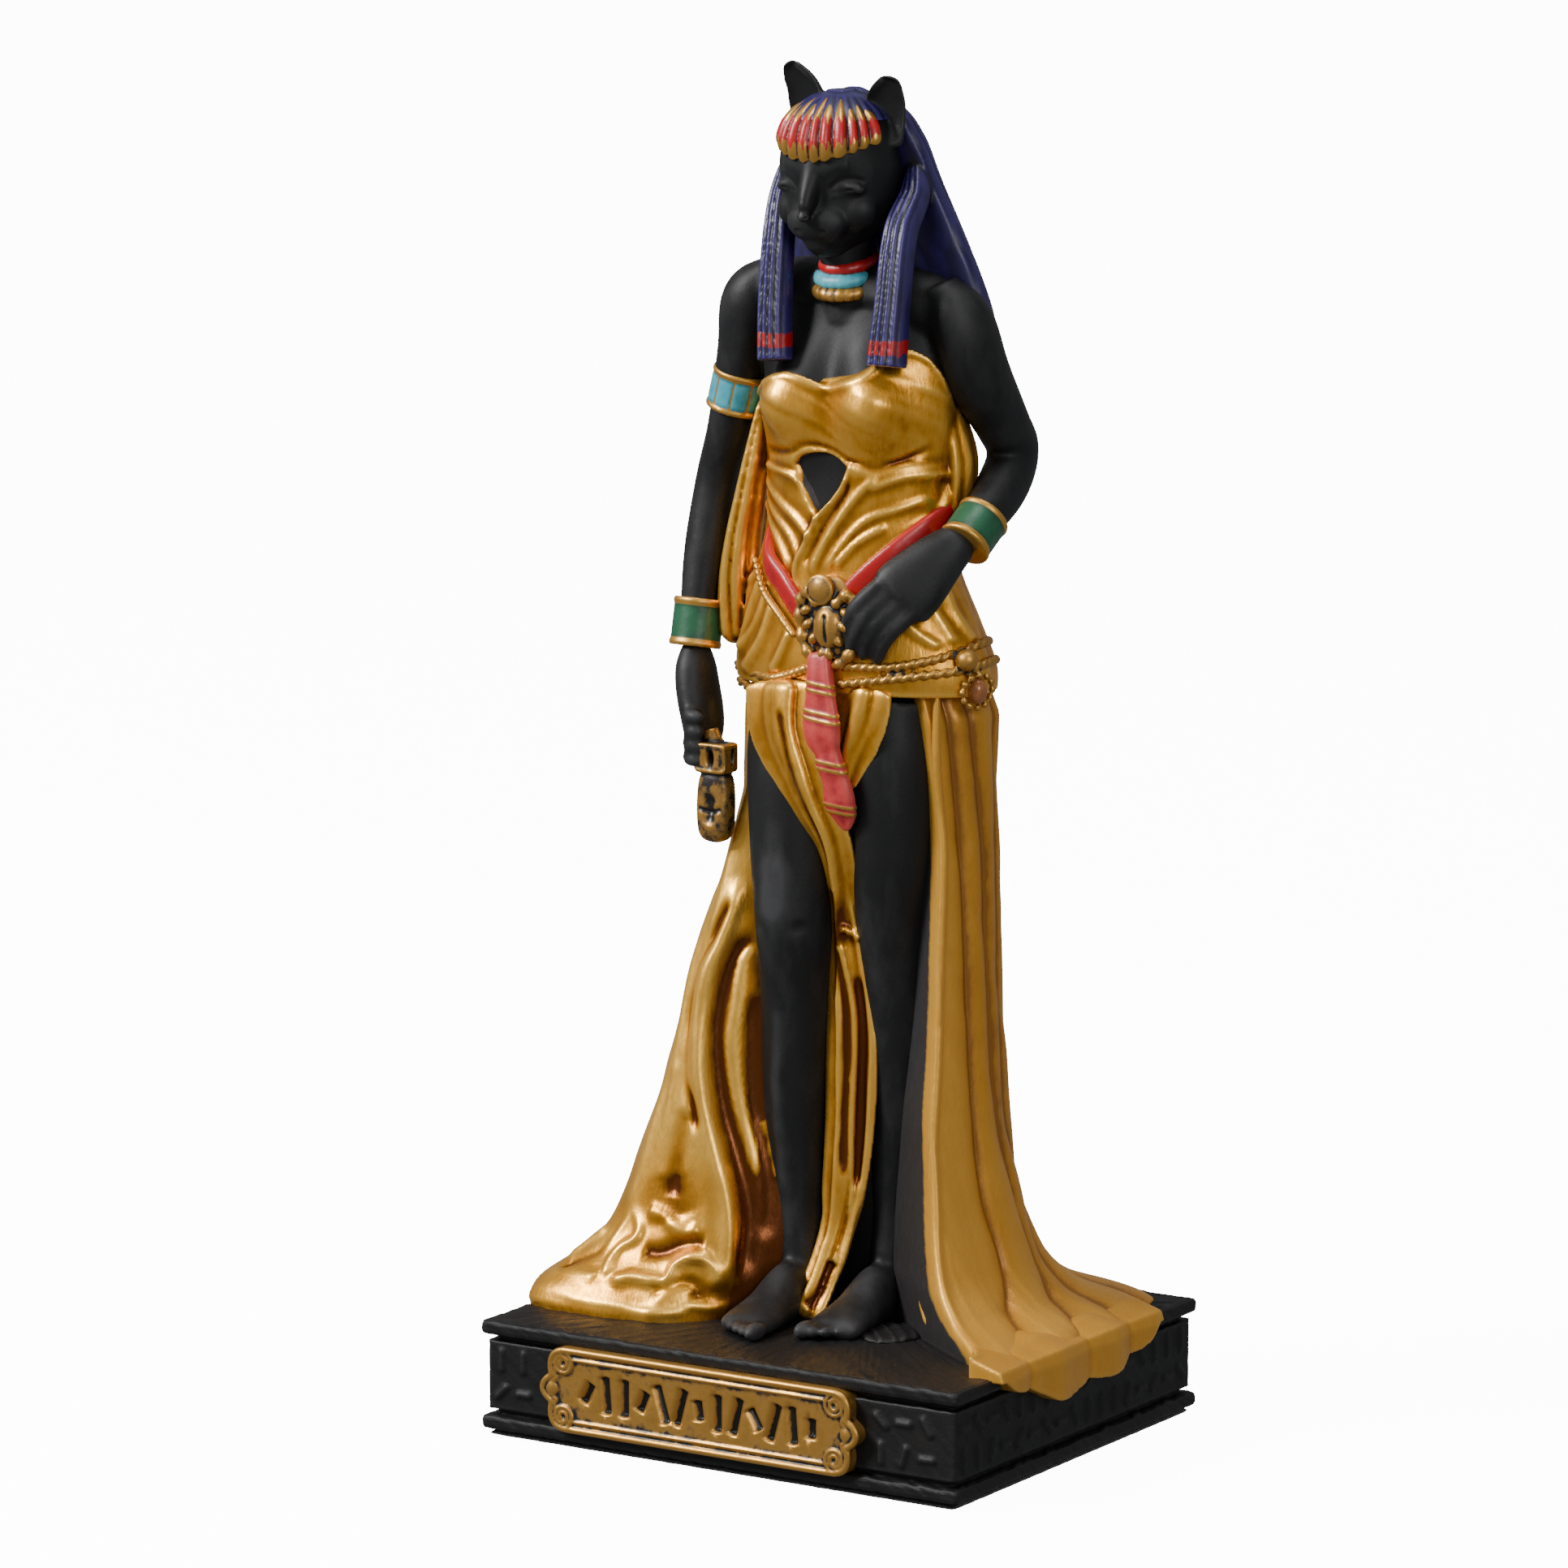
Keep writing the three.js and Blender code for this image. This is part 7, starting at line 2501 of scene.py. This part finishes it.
def main() -> None:
    """Builds and dresses the figurine, and logs each piece."""
    logging.basicConfig(level=logging.INFO, format="%(message)s")
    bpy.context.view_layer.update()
    Studio().build()
    trunk, head = Trunk(), Head()
    Body(trunk).build(Skin("black_skin"))
    Hair(head).build(Wig("indigo_wig"))
    # Each enamel gives its paint, its painted shade and its painted highlight.
    red = Enamel(
        "red_paint", (0.3, 0.002, 0.004, 1), (0.02, 0.001, 0.002, 1), (0.42, 0.008, 0.008, 1), dull=0.35
    )
    blue = Enamel("turquoise_paint", (0.02, 0.24, 0.32, 1), (0.005, 0.016, 0.02, 1), (0.1, 0.44, 0.52, 1))
    green = Enamel(
        "green_paint", (0.004, 0.055, 0.022, 1), (0.0015, 0.008, 0.004, 1), (0.02, 0.14, 0.06, 1)
    )
    coral = Enamel("coral_paint", (0.4, 0.022, 0.025, 1), (0.05, 0.004, 0.004, 1), (0.6, 0.09, 0.07, 1))
    brown = Enamel(
        "brown_gem", (0.2, 0.06, 0.015, 1), (0.02, 0.006, 0.002, 1), (0.45, 0.18, 0.06, 1), dull=0.2
    )
    antique = Antique("antique_gold")
    Diadem(head).build(red)
    gold = Gold("robe_gold", bare=(0.014, 0.012, 0.012, 1))
    Bodice(trunk).build(gold)
    Skirt().build(gold)
    Folds().build(gold)
    Train().build(gold)
    Sash().build(coral)
    Girdle(trunk).build(red, antique, brown)
    Clasp().build(antique)
    Rattle().build(Antique("dark_antique", cover=0.4))
    for cuff, paint in (
        (Cuff("armlet", (-7.85, 0.55, 60.9), (-8.6, 0.7, 58.3), 1.95, squares=10), blue),
        (Cuff("right_cuff", (-10.65, -0.3, 45.9), (-10.7, -0.9, 42.8), 1.7), green),
        (Cuff("left_cuff", (9.8, 1.4, 52.6), (9.5, -0.7, 50.9), 1.75), green),
    ):
        cuff.build(paint)
    Collars().build(red, blue, Antique("collar_antique", cover=0.46))
    Plinth().build(Resin("black_resin"))
    Nameplate().build(Antique("plate_gold", cover=0.58))
    FeltPad().build(Felt("black_felt"))


if __name__ == "__main__":
    main()
